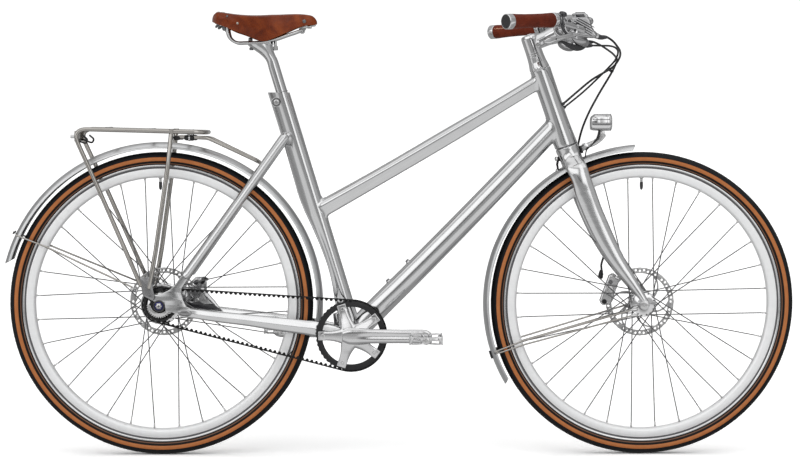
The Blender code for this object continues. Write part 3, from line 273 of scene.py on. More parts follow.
def tint(tree, value, dark, light):
    node = tree.nodes.new("ShaderNodeMix")
    node.data_type = "RGBA"
    node.inputs["A"].default_value = (*dark, 1.0)
    node.inputs["B"].default_value = (*light, 1.0)
    tree.links.new(value, node.inputs["Factor"])
    return node.outputs["Result"]


def bump(tree, shader, height, distance, strength=1.0, under=None):
    node = tree.nodes.new("ShaderNodeBump")
    node.inputs["Distance"].default_value = distance
    node.inputs["Strength"].default_value = strength
    tree.links.new(height, node.inputs["Height"])
    if under is not None:
        tree.links.new(under, node.inputs["Normal"])
    tree.links.new(node.outputs["Normal"], shader.inputs["Normal"])
    return node.outputs["Normal"]


def brushed(name, colour, rough, vary=0.10, streak=(900.0, 22.0, 1.0), source="UV", depth=0.00002, metal=1.0,
            rough_vary=0.10, cloud=0.04):
    """Metal with fine streaks along V, and faint cloudy wear."""
    mat, tree, shader = material(name)
    lines = noise_tex(tree, mapping(tree, source, streak), 1.0, 4.0, 0.6)
    broad = noise_tex(tree, mapping(tree, source, (streak[0] * 0.16, streak[1] * 0.25, streak[2] * 0.16)), 1.0, 3.0, 0.55)
    cloudy = noise_tex(tree, mapping(tree, "Object", (1, 1, 1)), 21.0, 4.0, 0.55)
    mix = tree.nodes.new("ShaderNodeMath")
    mix.operation = "ADD"
    tree.links.new(spread(tree, lines, 0.3, 0.7, 0.0, 0.55), mix.inputs[0])
    tree.links.new(spread(tree, broad, 0.3, 0.7, 0.0, 0.45), mix.inputs[1])
    fac = mix.outputs[0]
    both = tree.nodes.new("ShaderNodeMath")
    both.operation = "MULTIPLY_ADD"
    tree.links.new(spread(tree, cloudy, 0.35, 0.65, -cloud * 4, cloud * 4), both.inputs[0])
    both.inputs[1].default_value = 1.0
    tree.links.new(fac, both.inputs[2])
    lo = tuple(c * (1 - vary) for c in colour)
    hi = tuple(min(1.0, c * (1 + vary)) for c in colour)
    tree.links.new(tint(tree, both.outputs[0], lo, hi), shader.inputs["Base Color"])
    tree.links.new(spread(tree, fac, 0.0, 1.0, rough - rough_vary * rough * 2, rough + rough_vary * rough * 2), shader.inputs["Roughness"])
    shader.inputs["Metallic"].default_value = metal
    bump(tree, shader, fac, depth, 0.6)
    return mat


def painted(name, colour, rough, grain=900.0, depth=0.00002, metal=0.0, spec=0.5, coat=0.0, vary=0.25):
    """Black anodising, rubber or moulded plastic: a fine grain and slightly uneven gloss."""
    mat, tree, shader = material(name)
    vec = mapping(tree, "Object", (1, 1, 1))
    fine = noise_tex(tree, vec, grain, 3.0, 0.6)
    wide = noise_tex(tree, vec, grain * 0.07, 3.0, 0.5)
    lo = tuple(c * (1 - vary) for c in colour)
    hi = tuple(c * (1 + vary) for c in colour)
    tree.links.new(tint(tree, wide, lo, hi), shader.inputs["Base Color"])
    tree.links.new(spread(tree, wide, 0.3, 0.7, rough * 0.85, min(1.0, rough * 1.15)), shader.inputs["Roughness"])
    shader.inputs["Metallic"].default_value = metal
    shader.inputs["Specular IOR Level"].default_value = spec
    shader.inputs["Coat Weight"].default_value = coat
    bump(tree, shader, fine, depth, 0.7)
    return mat


def leather(name, dark, mid, light, rough, pore=620.0, crease=70.0, depth=0.00012, coat=0.15, seam=None, spec=0.18):
    """Vegetable-tanned hide: pores, a net of fine creases darkened with painted shade, and mottled dye."""
    mat, tree, shader = material(name)
    vec = mapping(tree, "Object", (1, 1, 1))
    mottle = noise_tex(tree, vec, 34.0, 5.0, 0.6, 0.6)
    ramp = tree.nodes.new("ShaderNodeValToRGB")
    ramp.color_ramp.elements[0].position = 0.30
    ramp.color_ramp.elements[0].color = (*dark, 1)
    ramp.color_ramp.elements[1].position = 0.72
    ramp.color_ramp.elements[1].color = (*light, 1)
    ramp.color_ramp.elements.new(0.5).color = (*mid, 1)
    tree.links.new(mottle, ramp.inputs["Fac"])
    pores = tree.nodes.new("ShaderNodeTexVoronoi")
    pores.inputs["Scale"].default_value = pore
    pores.inputs["Randomness"].default_value = 0.9
    tree.links.new(vec, pores.inputs["Vector"])
    net = tree.nodes.new("ShaderNodeTexVoronoi")
    net.feature = "DISTANCE_TO_EDGE"
    net.inputs["Scale"].default_value = crease * 3.2
    tree.links.new(vec, net.inputs["Vector"])
    # painted shade: the colour darkens along the lines of the crease net
    shade = tree.nodes.new("ShaderNodeMix")
    shade.data_type = "RGBA"
    shade.blend_type = "MULTIPLY"
    tree.links.new(spread(tree, net.outputs["Distance"], 0.0, 0.05, 0.30, 0.0), shade.inputs["Factor"])
    tree.links.new(ramp.outputs["Color"], shade.inputs["A"])
    shade.inputs["B"].default_value = (*(c * 0.35 for c in dark), 1)
    tree.links.new(shade.outputs["Result"], shader.inputs["Base Color"])
    tree.links.new(spread(tree, noise_tex(tree, vec, 90.0, 4.0), 0.3, 0.7, rough * 0.8, rough * 1.2), shader.inputs["Roughness"])
    shader.inputs["Coat Weight"].default_value = coat
    shader.inputs["Coat Roughness"].default_value = 0.28
    shader.inputs["Specular IOR Level"].default_value = spec
    first = bump(tree, shader, pores.outputs["Distance"], depth, 0.35)
    bump(tree, shader, spread(tree, net.outputs["Distance"], 0.0, 0.08, 0.0, 1.0), depth, 0.30, first)
    return mat


def sidewall(name):
    """Tan casing: fine bias threads under a thin skin of rubber."""
    mat, tree, shader = material(name)
    wave = tree.nodes.new("ShaderNodeTexWave")
    wave.wave_type = "BANDS"
    wave.bands_direction = "DIAGONAL"
    wave.inputs["Scale"].default_value = 260.0
    wave.inputs["Distortion"].default_value = 1.2
    wave.inputs["Detail"].default_value = 2.0
    tree.links.new(mapping(tree, "UV", (1, 1, 1)), wave.inputs["Vector"])
    cloud = noise_tex(tree, mapping(tree, "Object", (1, 1, 1)), 46.0, 5.0, 0.6)
    base = tint(tree, cloud, (0.374, 0.109, 0.0220), (0.545, 0.190, 0.0465))
    shade = tree.nodes.new("ShaderNodeMix")
    shade.data_type = "RGBA"
    shade.blend_type = "MULTIPLY"
    tree.links.new(spread(tree, wave.outputs["Fac"], 0.0, 1.0, 0.22, 0.0), shade.inputs["Factor"])
    tree.links.new(base, shade.inputs["A"])
    shade.inputs["B"].default_value = (0.55, 0.42, 0.34, 1)
    tree.links.new(shade.outputs["Result"], shader.inputs["Base Color"])
    shader.inputs["Roughness"].default_value = 0.62
    bump(tree, shader, wave.outputs["Fac"], 0.00006, 0.5)
    return mat


M = {
    "frame": brushed("raw_aluminium", (0.585, 0.588, 0.592), 0.135, vary=0.07, depth=0.000012),
    "polish": brushed("polished_aluminium", (0.64, 0.64, 0.645), 0.10, vary=0.06, streak=(500.0, 30.0, 1.0), depth=0.000008),
    "forged": brushed("forged_aluminium", (0.58, 0.58, 0.585), 0.15, vary=0.06, streak=(40.0, 420.0, 420.0), source="Object", depth=0.000008),
    "satin": brushed("satin_aluminium", (0.60, 0.60, 0.605), 0.34, vary=0.07, streak=(60.0, 600.0, 600.0), source="Object", depth=0.00001),
    "fender": brushed("matte_fender", (0.56, 0.565, 0.57), 0.34, vary=0.05, streak=(160.0, 30.0, 1.0), depth=0.00001),
    "rim": brushed("satin_rim", (0.86, 0.865, 0.87), 0.50, vary=0.03, streak=(700.0, 12.0, 1.0), depth=0.00001, metal=0.55),
    "rack": brushed("brushed_stainless", (0.39, 0.374, 0.352), 0.11, vary=0.10, streak=(900.0, 60.0, 1.0)),
    "steel": brushed("bright_stainless", (0.56, 0.56, 0.56), 0.22, vary=0.08, streak=(300.0, 300.0, 300.0), source="Object"),
    "spoke": brushed("drawn_wire", (0.15, 0.15, 0.153), 0.30, vary=0.08, streak=(400.0, 40.0, 1.0)),
    "rotor": brushed("ground_stainless", (0.40, 0.40, 0.40), 0.34, vary=0.14, streak=(500.0, 500.0, 500.0), source="Object"),
    # dark paint for the rim's groove below the hook: painted shade
    "groove": brushed("groove_painted_shade", (0.13, 0.13, 0.135), 0.40, vary=0.10, streak=(700.0, 12.0, 1.0)),
    # a darker copy of the aluminium: on the dropout scallop and on the rack's strut ears, its dark is painted shade
    "dark_alloy_and_shade": brushed("dark_aluminium_and_painted_shade", (0.30, 0.30, 0.305), 0.22, vary=0.06, streak=(60.0, 600.0, 600.0), source="Object", depth=0.00001),
    "cast": brushed("cast_aluminium", (0.37, 0.37, 0.375), 0.15, vary=0.08, streak=(40.0, 420.0, 420.0), source="Object", depth=0.000008),
    "blue": brushed("dyed_washer", (0.03, 0.03, 0.14), 0.25, vary=0.06, streak=(300.0, 300.0, 300.0), source="Object"),
    "dark_steel": brushed("dark_steel", (0.16, 0.16, 0.165), 0.34, vary=0.12, streak=(300.0, 300.0, 300.0), source="Object"),
    "black": painted("black_anodised", (0.012, 0.012, 0.013), 0.36, spec=0.34),
    "gloss": painted("black_gloss", (0.012, 0.012, 0.016), 0.20, spec=0.6, coat=0.3),
    "plastic": painted("black_plastic", (0.022, 0.022, 0.024), 0.48, grain=1500.0, depth=0.00003),
    "grey": painted("grey_plastic", (0.16, 0.16, 0.165), 0.45, grain=1500.0),
    "hose": painted("hose_casing", (0.005, 0.005, 0.0055), 0.40, grain=2000.0),
    "belt": painted("belt_rubber", (0.007, 0.007, 0.0075), 0.66, grain=1800.0, depth=0.00006, spec=0.25),
    "tread": painted("tread_rubber", (0.0065, 0.0065, 0.0075), 0.70, grain=2200.0, depth=0.00008, spec=0.22),
    "bead": painted("bead_rubber", (0.0060, 0.0045, 0.0040), 0.66, grain=2200.0, depth=0.00004, spec=0.2),
    "bead_line": painted("bead_line", (0.150, 0.066, 0.034), 0.62, grain=1200.0),
    "tan": sidewall("tan_sidewall"),
    "saddle": leather("saddle_hide", (0.104, 0.0150, 0.0028), (0.178, 0.0290, 0.0045), (0.262, 0.052, 0.0090), 0.30, coat=0.06, spec=0.20),
    "saddle_edge": leather("saddle_edge", (0.30, 0.105, 0.035), (0.40, 0.16, 0.06), (0.50, 0.22, 0.09), 0.7, coat=0.0),
    "grip": leather("grip_hide", (0.095, 0.0120, 0.0034), (0.135, 0.0180, 0.0050), (0.180, 0.027, 0.0075), 0.55, pore=900.0, coat=0.0),
    "thread": painted("waxed_thread", (0.78, 0.46, 0.30), 0.7, grain=3000.0, depth=0.0001),
    "copper": brushed("rivet_steel", (0.50, 0.46, 0.41), 0.25, streak=(300.0, 300.0, 300.0), source="Object"),
    "red": painted("red_cap", (0.30, 0.02, 0.02), 0.4),
}


def lens_material():
    mat, tree, shader = material("clear_lens")
    shader.inputs["Base Color"].default_value = (0.92, 0.94, 0.95, 1)
    shader.inputs["Roughness"].default_value = 0.05
    shader.inputs["IOR"].default_value = 1.49
    shader.inputs["Transmission Weight"].default_value = 0.9
    ribs = noise_tex(tree, mapping(tree, "Object", (40, 900, 900)), 1.0, 1.0)
    bump(tree, shader, ribs, 0.0001, 0.4)
    return mat


M["lens"] = lens_material()


# ================================================================ modelling helpers
def link(name, mesh):
    obj = bpy.data.objects.new(name, mesh)
    bpy.context.scene.collection.objects.link(obj)
    return obj


def shade(obj, angle=38.0):
    obj.data.shade_smooth()
    obj.data.set_sharp_from_angle(angle=rad(angle))
    return obj


def grid(name, rows, wrap_u=True, wrap_v=False, caps=(True, True), us=None, vs=None, zones=None, angle=38.0,
         swap=False):
    """A skin over rows of points, with a UV map in metres: U round a row, V from row to row."""
    m, n = len(rows), len(rows[0])
    if us is None:
        best = max(rows, key=lambda r: sum((r[i] - r[i - 1]).length for i in range(n)))
        us = [0.0]
        for i in range(n):
            us.append(us[-1] + (best[(i + 1) % n] - best[i]).length)
    if vs is None:
        vs = [0.0]
        for a, b in zip(rows, rows[1:] + [rows[0]]):
            vs.append(vs[-1] + max((a[0] - b[0]).length, (a[n // 2] - b[n // 2]).length))
    faces, uvs, zone = [], [], []
    for j in range(m if wrap_v else m - 1):
        k = (j + 1) % m
        for i in range(n if wrap_u else n - 1):
            h = (i + 1) % n
            faces.append((j * n + i, j * n + h, k * n + h, k * n + i))
            uvs += [(us[i], vs[j]), (us[i + 1], vs[j]), (us[i + 1], vs[j + 1]), (us[i], vs[j + 1])]
            zone.append(zones(i, j) if zones else 0)
    if not wrap_v:
        for end, on in ((0, caps[0]), (m - 1, caps[1])):
            if on:
                loop = [end * n + i for i in range(n)]
                faces.append(tuple(loop[::-1] if end == 0 else loop))
                pts = [rows[end][i] for i in range(n)]
                ring_uv = [(p.x + p.y, p.z) for p in pts]
                uvs += ring_uv[::-1] if end == 0 else ring_uv
                zone.append(0)
    if swap:
        uvs = [(b, a) for a, b in uvs]
    mesh = bpy.data.meshes.new(name)
    mesh.from_pydata([tuple(p) for r in rows for p in r], [], faces)
    layer = mesh.uv_layers.new(name="UVMap")
    layer.data.foreach_set("uv", [c for uv in uvs for c in uv])
    mesh.polygons.foreach_set("material_index", zone)
    bm = bmesh.new()
    bm.from_mesh(mesh)
    bmesh.ops.remove_doubles(bm, verts=bm.verts, dist=1e-7)
    bmesh.ops.recalc_face_normals(bm, faces=bm.faces)
    bm.to_mesh(mesh)
    bm.free()
    return shade(link(name, mesh), angle)


def rounded(points, r, closed=True, n=3):
    """The 2D outline with its corners rounded."""
    pts = [V((p[0], p[1])) for p in points]
    out, count = [], len(points)
    for i, b in enumerate(pts):
        a, c = pts[i - 1], pts[(i + 1) % count]
        if not closed and i in (0, count - 1):
            out.append(b)
            continue
        e1, e2 = a - b, c - b
        ang = e1.angle(e2)
        if ang > rad(168):
            out.append(b)
            continue
        d = min(r / math.tan(ang / 2), e1.length * 0.46, e2.length * 0.46)
        p1, p2 = b + e1.normalized() * d, b + e2.normalized() * d
        for k in range(n + 1):
            t = k / n
            out.append(p1 * (1 - t) ** 2 + b * 2 * t * (1 - t) + p2 * t * t)
    return out


def basis(direction):
    """Two directions square to one, and to each other."""
    d = V(direction).normalized()
    side = d.cross(Z) if abs(d.z) < 0.9 else d.cross(Y)
    side.normalize()
    return side, d.cross(side).normalized()


def lathe(name, profile, point, direction, steps=96, closed=True, r=0.0, angle=38.0, arc=None, zones=None, wobble=None,
          swap=True, n=3):
    """A profile of (radius, height) spun about direction through point."""
    prof = rounded(profile, r, closed, n) if r else [V(p) for p in profile]
    d = V(direction).normalized()
    a, b = basis(d)
    at = V(point)
    a0, a1 = (0.0, TAU) if arc is None else arc
    full = arc is None
    rows = []
    for j in range(steps if full else steps + 1):
        t = a0 + (a1 - a0) * j / steps
        c, s = math.cos(t), math.sin(t)
        row = []
        for i, p in enumerate(prof):
            rr, hh = p[0], p[1]
            if wobble:
                rr, hh = wobble(i, t, rr, hh)
            row.append(at + d * hh + (a * c + b * s) * rr)
        rows.append(row)
    big = max(p[0] for p in prof)
    us = [0.0]
    for i in range(len(prof)):
        us.append(us[-1] + (V(prof[(i + 1) % len(prof)]) - V(prof[i])).length)
    vs = [(a1 - a0) * j / steps * big for j in range(steps + 1)]
    return grid(name, rows, wrap_u=closed, wrap_v=full, caps=(not full, not full), us=us, vs=vs, zones=zones, angle=angle,
                swap=swap)


def ring(centre, a, b, sides=32, power=2.0):
    out = []
    for i in range(sides):
        t = TAU * i / sides
        c, s = math.cos(t), math.sin(t)
        out.append(V(centre) + V(a) * math.copysign(abs(c) ** (2 / power), c) + V(b) * math.copysign(abs(s) ** (2 / power), s))
    return out


def spline(table, steps):
    """Rows of numbers joined by a smooth curve through them all."""
    rows = [[float(c) for c in r] for r in table]
    ts = [0.0]
    for a, b in zip(rows, rows[1:]):
        ts.append(ts[-1] + max(1e-6, math.dist(a[:3], b[:3])))
    count = len(rows)

    def slope(i):
        if i == 0:
            return [(b - a) / (ts[1] - ts[0]) for a, b in zip(rows[0], rows[1])]
        if i == count - 1:
            return [(b - a) / (ts[-1] - ts[-2]) for a, b in zip(rows[-2], rows[-1])]
        h0, h1 = ts[i] - ts[i - 1], ts[i + 1] - ts[i]
        out = []
        for a, b, c in zip(rows[i - 1], rows[i], rows[i + 1]):
            d0, d1 = (b - a) / h0, (c - b) / h1
            out.append((d0 * h1 + d1 * h0) / (h0 + h1))
        return out

    slopes = [slope(i) for i in range(count)]
    out, seg = [], 0
    for k in range(steps + 1):
        t = ts[-1] * k / steps
        while seg < count - 2 and t > ts[seg + 1]:
            seg += 1
        h = ts[seg + 1] - ts[seg]
        u = (t - ts[seg]) / h
        h00, h10 = 2 * u ** 3 - 3 * u ** 2 + 1, u ** 3 - 2 * u ** 2 + u
        h01, h11 = -2 * u ** 3 + 3 * u ** 2, u ** 3 - u ** 2
        out.append([h00 * a + h10 * h * sa + h01 * b + h11 * h * sb
                    for a, sa, b, sb in zip(rows[seg], slopes[seg], rows[seg + 1], slopes[seg + 1])])
    return out


def curve_points(route, step):
    length = sum(math.dist(a, b) for a, b in zip(route, route[1:]))
    return [V(p) for p in spline([tuple(p) for p in route], max(2, round(length / step)))]


def frames(points, closed=False):
    """A turning-free pair of side directions along a path."""
    count = len(points)
    tangents = []
    for i in range(count):
        a = points[i - 1] if (i or closed) else points[0]
        b = points[(i + 1) % count] if (i < count - 1 or closed) else points[-1]
        tangents.append((b - a).normalized())
    side, _ = basis(tangents[0])
    out = []
    for t in tangents:
        side = (side - t * side.dot(t)).normalized()
        out.append((side, t.cross(side).normalized()))
    return out


def pipe(name, points, radius, sides=20, closed=False, caps=(True, True), oval=None, dome=False, angle=38.0):
    """A round wire or tube along points; radius is a number or one number a point."""
    pts = [V(p) for p in points]
    radii = [radius] * len(pts) if isinstance(radius, (int, float)) else list(radius)
    if dome and not closed:
        for end in (0, -1):
            r = radii[end]
            t = (pts[1] - pts[0]).normalized() if end == 0 else (pts[-2] - pts[-1]).normalized()
            base = pts[end].copy()
            extra = [(base - t * r * math.sin(rad(a)) * 0.9, r * math.cos(rad(a))) for a in (30, 55, 75, 86)]
            if end == 0:
                for p, q in extra:
                    pts.insert(0, p)
                    radii.insert(0, q)
            else:
                for p, q in extra:
                    pts.append(p)
                    radii.append(q)
    rows = []
    for i, (p, (s, u), r) in enumerate(zip(pts, frames(pts, closed), radii)):
        if oval:
            rows.append([p + s * math.cos(TAU * k / sides) * r * oval[0] + u * math.sin(TAU * k / sides) * r * oval[1] for k in range(sides)])
        else:
            rows.append([p + s * math.cos(TAU * k / sides) * r + u * math.sin(TAU * k / sides) * r for k in range(sides)])
    return grid(name, rows, wrap_u=True, wrap_v=closed, caps=caps, angle=angle)


def to_mesh(obj, name=None):
    """A curve, or a mesh with modifiers, as a plain mesh object."""
    bpy.context.view_layer.update()
    ev = obj.evaluated_get(bpy.context.evaluated_depsgraph_get())
    mesh = bpy.data.meshes.new_from_object(ev)
    mesh.transform(obj.matrix_world)
    label = name or obj.name
    bpy.data.objects.remove(obj, do_unlink=True)
    bm = bmesh.new()
    bm.from_mesh(mesh)
    bmesh.ops.remove_doubles(bm, verts=bm.verts, dist=1e-6)
    bm.to_mesh(mesh)
    bm.free()
    return link(label, mesh)


def flat_uv(obj, scale=1.0):
    mesh = obj.data
    layer = mesh.uv_layers.get("UVMap") or mesh.uv_layers.new(name="UVMap")
    for poly in mesh.polygons:
        nx, ny, nz = abs(poly.normal.x), abs(poly.normal.y), abs(poly.normal.z)
        for li in poly.loop_indices:
            p = mesh.vertices[mesh.loops[li].vertex_index].co
            if ny >= nx and ny >= nz:
                layer.data[li].uv = (p.z * scale, p.x * scale)
            elif nz >= nx:
                layer.data[li].uv = (p.y * scale, p.x * scale)
            else:
                layer.data[li].uv = (p.z * scale, p.y * scale)
    return obj


def plate(name, outlines, thickness, at, bevel=0.0005, flat="xz", r=0.0, res=2):
    """A flat outline with holes, extruded with softened edges: in XZ at depth at, in XY at
    height at, or by a matrix."""
    curve = bpy.data.curves.new(name, "CURVE")
    curve.dimensions = "2D"
    curve.fill_mode = "BOTH"
    curve.extrude = thickness / 2 - bevel
    curve.bevel_depth = bevel
    curve.bevel_resolution = res
    curve.offset = -bevel
    for k, outline in enumerate(outlines):
        pts = rounded(outline, r, True, 4) if r and len(outline) < 30 else [V((p[0], p[1])) for p in outline]
        sp = curve.splines.new("POLY")
        sp.points.add(len(pts) - 1)
        for knot, p in zip(sp.points, pts):
            knot.co = (p[0], p[1], 0.0, 1.0)
        sp.use_cyclic_u = True
    obj = link(name, curve)
    if isinstance(flat, Matrix):
        obj.matrix_world = flat
    elif flat == "xz":
        obj.matrix_world = Matrix.Translation((0, at, 0)) @ Matrix.Rotation(math.pi / 2, 4, "X")
    else:
        obj.matrix_world = Matrix.Translation((0, 0, at))
    obj = to_mesh(obj)
    return flat_uv(shade(obj, 40.0))


def circle(cx, cz, r, sides=32, start=0.0):
    return [(cx + r * math.cos(start + TAU * i / sides), cz + r * math.sin(start + TAU * i / sides)) for i in range(sides)]


def box(name, size, centre, rot=None, bevel=0.001, segments=3):
    """A block with rounded edges."""
    mesh = bpy.data.meshes.new(name)
    bm = bmesh.new()
    bmesh.ops.create_cube(bm, size=1.0)
    bmesh.ops.scale(bm, vec=V(size), verts=bm.verts)
    if bevel:
        bmesh.ops.bevel(bm, geom=bm.edges[:], offset=bevel, segments=segments, profile=0.5, affect="EDGES")
    mat = Matrix.Translation(V(centre)) @ (rot.to_4x4() if rot else Matrix.Identity(4))
    bmesh.ops.transform(bm, matrix=mat, verts=bm.verts)
    bm.to_mesh(mesh)
    bm.free()
    return flat_uv(shade(link(name, mesh), 40.0))


def screw(name, at, direction, r, h, hex_r=None, depth=None, sides=40):
    """A cap screw: a rounded head with a hexagon socket."""
    at, d = V(at), V(direction).normalized()
    a, b = basis(d)
    hex_r = hex_r or r * 0.52
    depth = depth or h * 0.6

    def row(radius, height, six=False):
        out = []
        for k in range(sides):
            t = TAU * k / sides
            rr = radius
            if six:
                rr = radius * math.cos(math.pi / 6) / math.cos((t % (math.pi / 3)) - math.pi / 6)
            out.append(at + d * height + (a * math.cos(t) + b * math.sin(t)) * rr)
        return out
    c = min(h, r) * 0.22
    rows = [row(r, 0.0), row(r, h - c), row(r - c * 0.3, h - c * 0.3), row(r - c, h), row(hex_r * 1.06, h, True),
            row(hex_r, h - 0.0002, True), row(hex_r, h - depth, True)]
    return grid(name, rows, angle=30.0)


def join(name, objs):
    """Several meshes as one piece; their materials are kept."""
    mesh = bpy.data.meshes.new(name)
    bm = bmesh.new()
    uv = bm.loops.layers.uv.new("UVMap")
    mats = []
    for o in objs:
        part = bmesh.new()
        part.from_mesh(o.data)
        src = part.loops.layers.uv.get("UVMap")
        slots = list(o.data.materials)
        index = []
        for s in slots:
            if s not in mats:
                mats.append(s)
            index.append(mats.index(s))
        verts = {v: bm.verts.new(o.matrix_world @ v.co) for v in part.verts}
        for e in part.edges:
            if not e.smooth:
                new = bm.edges.get((verts[e.verts[0]], verts[e.verts[1]])) or bm.edges.new((verts[e.verts[0]], verts[e.verts[1]]))
                new.smooth = False
        for f in part.faces:
            try:
                g = bm.faces.new([verts[v] for v in f.verts])
            except ValueError:
                continue
            g.smooth = f.smooth
            g.material_index = index[f.material_index] if index and f.material_index < len(index) else 0
            if src:
                for l0, l1 in zip(f.loops, g.loops):
                    l1[uv].uv = l0[src].uv
        part.free()
        bpy.data.objects.remove(o, do_unlink=True)
    bm.to_mesh(mesh)
    bm.free()
    for m in mats:
        mesh.materials.append(m)
    return link(name, mesh)


def boolean(obj, tool, operation="DIFFERENCE"):
    mod = obj.modifiers.new("cut", "BOOLEAN")
    mod.object = tool
    mod.operation = operation
    mod.solver = "EXACT"
    out = to_mesh(obj)
    bpy.data.objects.remove(tool, do_unlink=True)
    return out


def melt(name, objs, voxel=0.0008, smooth=6, factor=0.5, keep=None):
    """Several closed solids melted into one forging, with soft fillets where they meet."""
    obj = join(name, objs)
    mod = obj.modifiers.new("melt", "REMESH")
    mod.mode = "VOXEL"
    mod.voxel_size = voxel if FINE else voxel * 1.6
    mod = obj.modifiers.new("soften", "SMOOTH")
    mod.iterations = smooth
    mod.factor = factor
    obj = to_mesh(obj)
    obj.data.shade_smooth()
    return flat_uv(obj)


def paint(obj, *mats):
    mesh = obj.data
    index = [poly.material_index for poly in mesh.polygons]
    mesh.materials.clear()
    for m in mats:
        mesh.materials.append(M[m])
    mesh.polygons.foreach_set("material_index", index if len(mats) > 1 else [0] * len(index))
    return obj


def put(obj, body, *mats, stands=(), slot=None):
    """Moves a finished piece into the frame of the part and hangs it on its body."""
    if mats:
        paint(obj, *mats)
    obj.data.transform(SHIFT)
    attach(obj, body)
    if stands:
        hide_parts(*stands)
    return obj


def flipped(obj, name):
    """The mirror image of a piece, on the bicycle's other side."""
    mesh = obj.data.copy()
    mesh.transform(Matrix.Scale(-1, 4, Y))
    mesh.flip_normals()
    return link(name, mesh)


def polar(hub, r, deg, y=0.0):
    return V((hub.x + r * math.cos(rad(deg)), y, hub.z + r * math.sin(rad(deg))))


def tree_of(obj):
    return BVHTree.FromPolygons([v.co for v in obj.data.vertices], [tuple(p.vertices) for p in obj.data.polygons])


def fillet(name, section, direction, target, size=0.0085, back=0.05, steps=6):
    """A smoothed weld where a tube's section, swept along direction, meets a surface: a hollow
    fillet that runs out on both."""
    direction = V(direction).normalized()
    surface = tree_of(target)
    middle = sum(section, V((0, 0, 0))) / len(section)
    rows = []
    for p in section:
        out = p - middle
        out = (out - direction * out.dot(direction)).normalized()
        hit, normal, _, _ = surface.ray_cast(p - direction * back, direction, back + 0.03)
        if hit is None:
            hit, normal, _, _ = surface.find_nearest(p + direction * 0.004)
        if normal.dot(direction) > 0:
            normal = -normal
        along = out - normal * out.dot(normal)
        if along.length < 0.25:
            along = along + (-direction - normal * -direction.dot(normal)) * 0.4
        along.normalize()
        a = hit - direction * size + out * 0.0001
        b, nb, _, _ = surface.find_nearest(hit + along * size * 0.85)
        row = []
        for k in range(steps + 1):
            t = k / steps
            row.append(a * (1 - t) ** 2 + (hit + out * 0.0001) * 2 * t * (1 - t) + b * t * t)
        row.append(b - nb * 0.0010 if nb.dot(b - middle) > 0 else b + nb * 0.0010)
        row.append(hit - out * 0.0020 + direction * 0.0004)
        row.append(a - out * 0.0016)
        rows.append(row)
    return grid(name, rows, wrap_u=True, wrap_v=True, angle=60.0)


# ================================================================ frame
def seat_front(z):
    return 0.2795 + 0.0172 / math.sin(SEAT_ANGLE) + (0.8396 - z) / math.tan(SEAT_ANGLE)


def half_section(points, r, n=3):
    """A closed section from its half outline (y, z), +y side, top to bottom."""
    full = [(p[0], p[1]) for p in points] + [(-p[0], p[1]) for p in reversed(points) if p[0] > 1e-6]
    return rounded(full, r, True, n)


def section_tube(name, table, outline, steps, caps=(True, True)):
    """Skin through stations (top x, top z, bottom x, bottom z, half width)."""
    rows = []
    for tx, tz, bx, bz, w in spline(table, steps):
        top, bottom = V((tx, 0, tz)), V((bx, 0, bz))
        mid, up = (top + bottom) / 2, (top - bottom) / 2
        rows.append([mid + up * p[1] + Y * (w * p[0]) for p in outline])
    return grid(name, rows, caps=caps, angle=40.0), rows


def stretched(rows, start, end):
    """The rows of a tube, carried straight on past both ends, into the pieces it is welded to."""
    def mean(row):
        return sum(row, V((0, 0, 0))) / len(row)
    d0 = (mean(rows[0]) - mean(rows[1])).normalized()
    d1 = (mean(rows[-1]) - mean(rows[-2])).normalized()
    return [[p + d0 * start for p in rows[0]]] + rows + [[p + d1 * end for p in rows[-1]]]


def dense(points, count):
    """Points spread evenly round a closed 2D outline, starting at its first."""
    pts = [V(p) for p in points]
    loop = pts + [pts[0]]
    total = sum((b - a).length for a, b in zip(loop, loop[1:]))
    out, acc, want = [], 0.0, 0.0
    for a, b in zip(loop, loop[1:]):
        seg = (b - a).length
        while acc + seg >= want - 1e-9 and len(out) < count and seg > 0:
            out.append(a.lerp(b, max(0.0, (want - acc) / seg)))
            want += total / count
        acc += seg
    return out


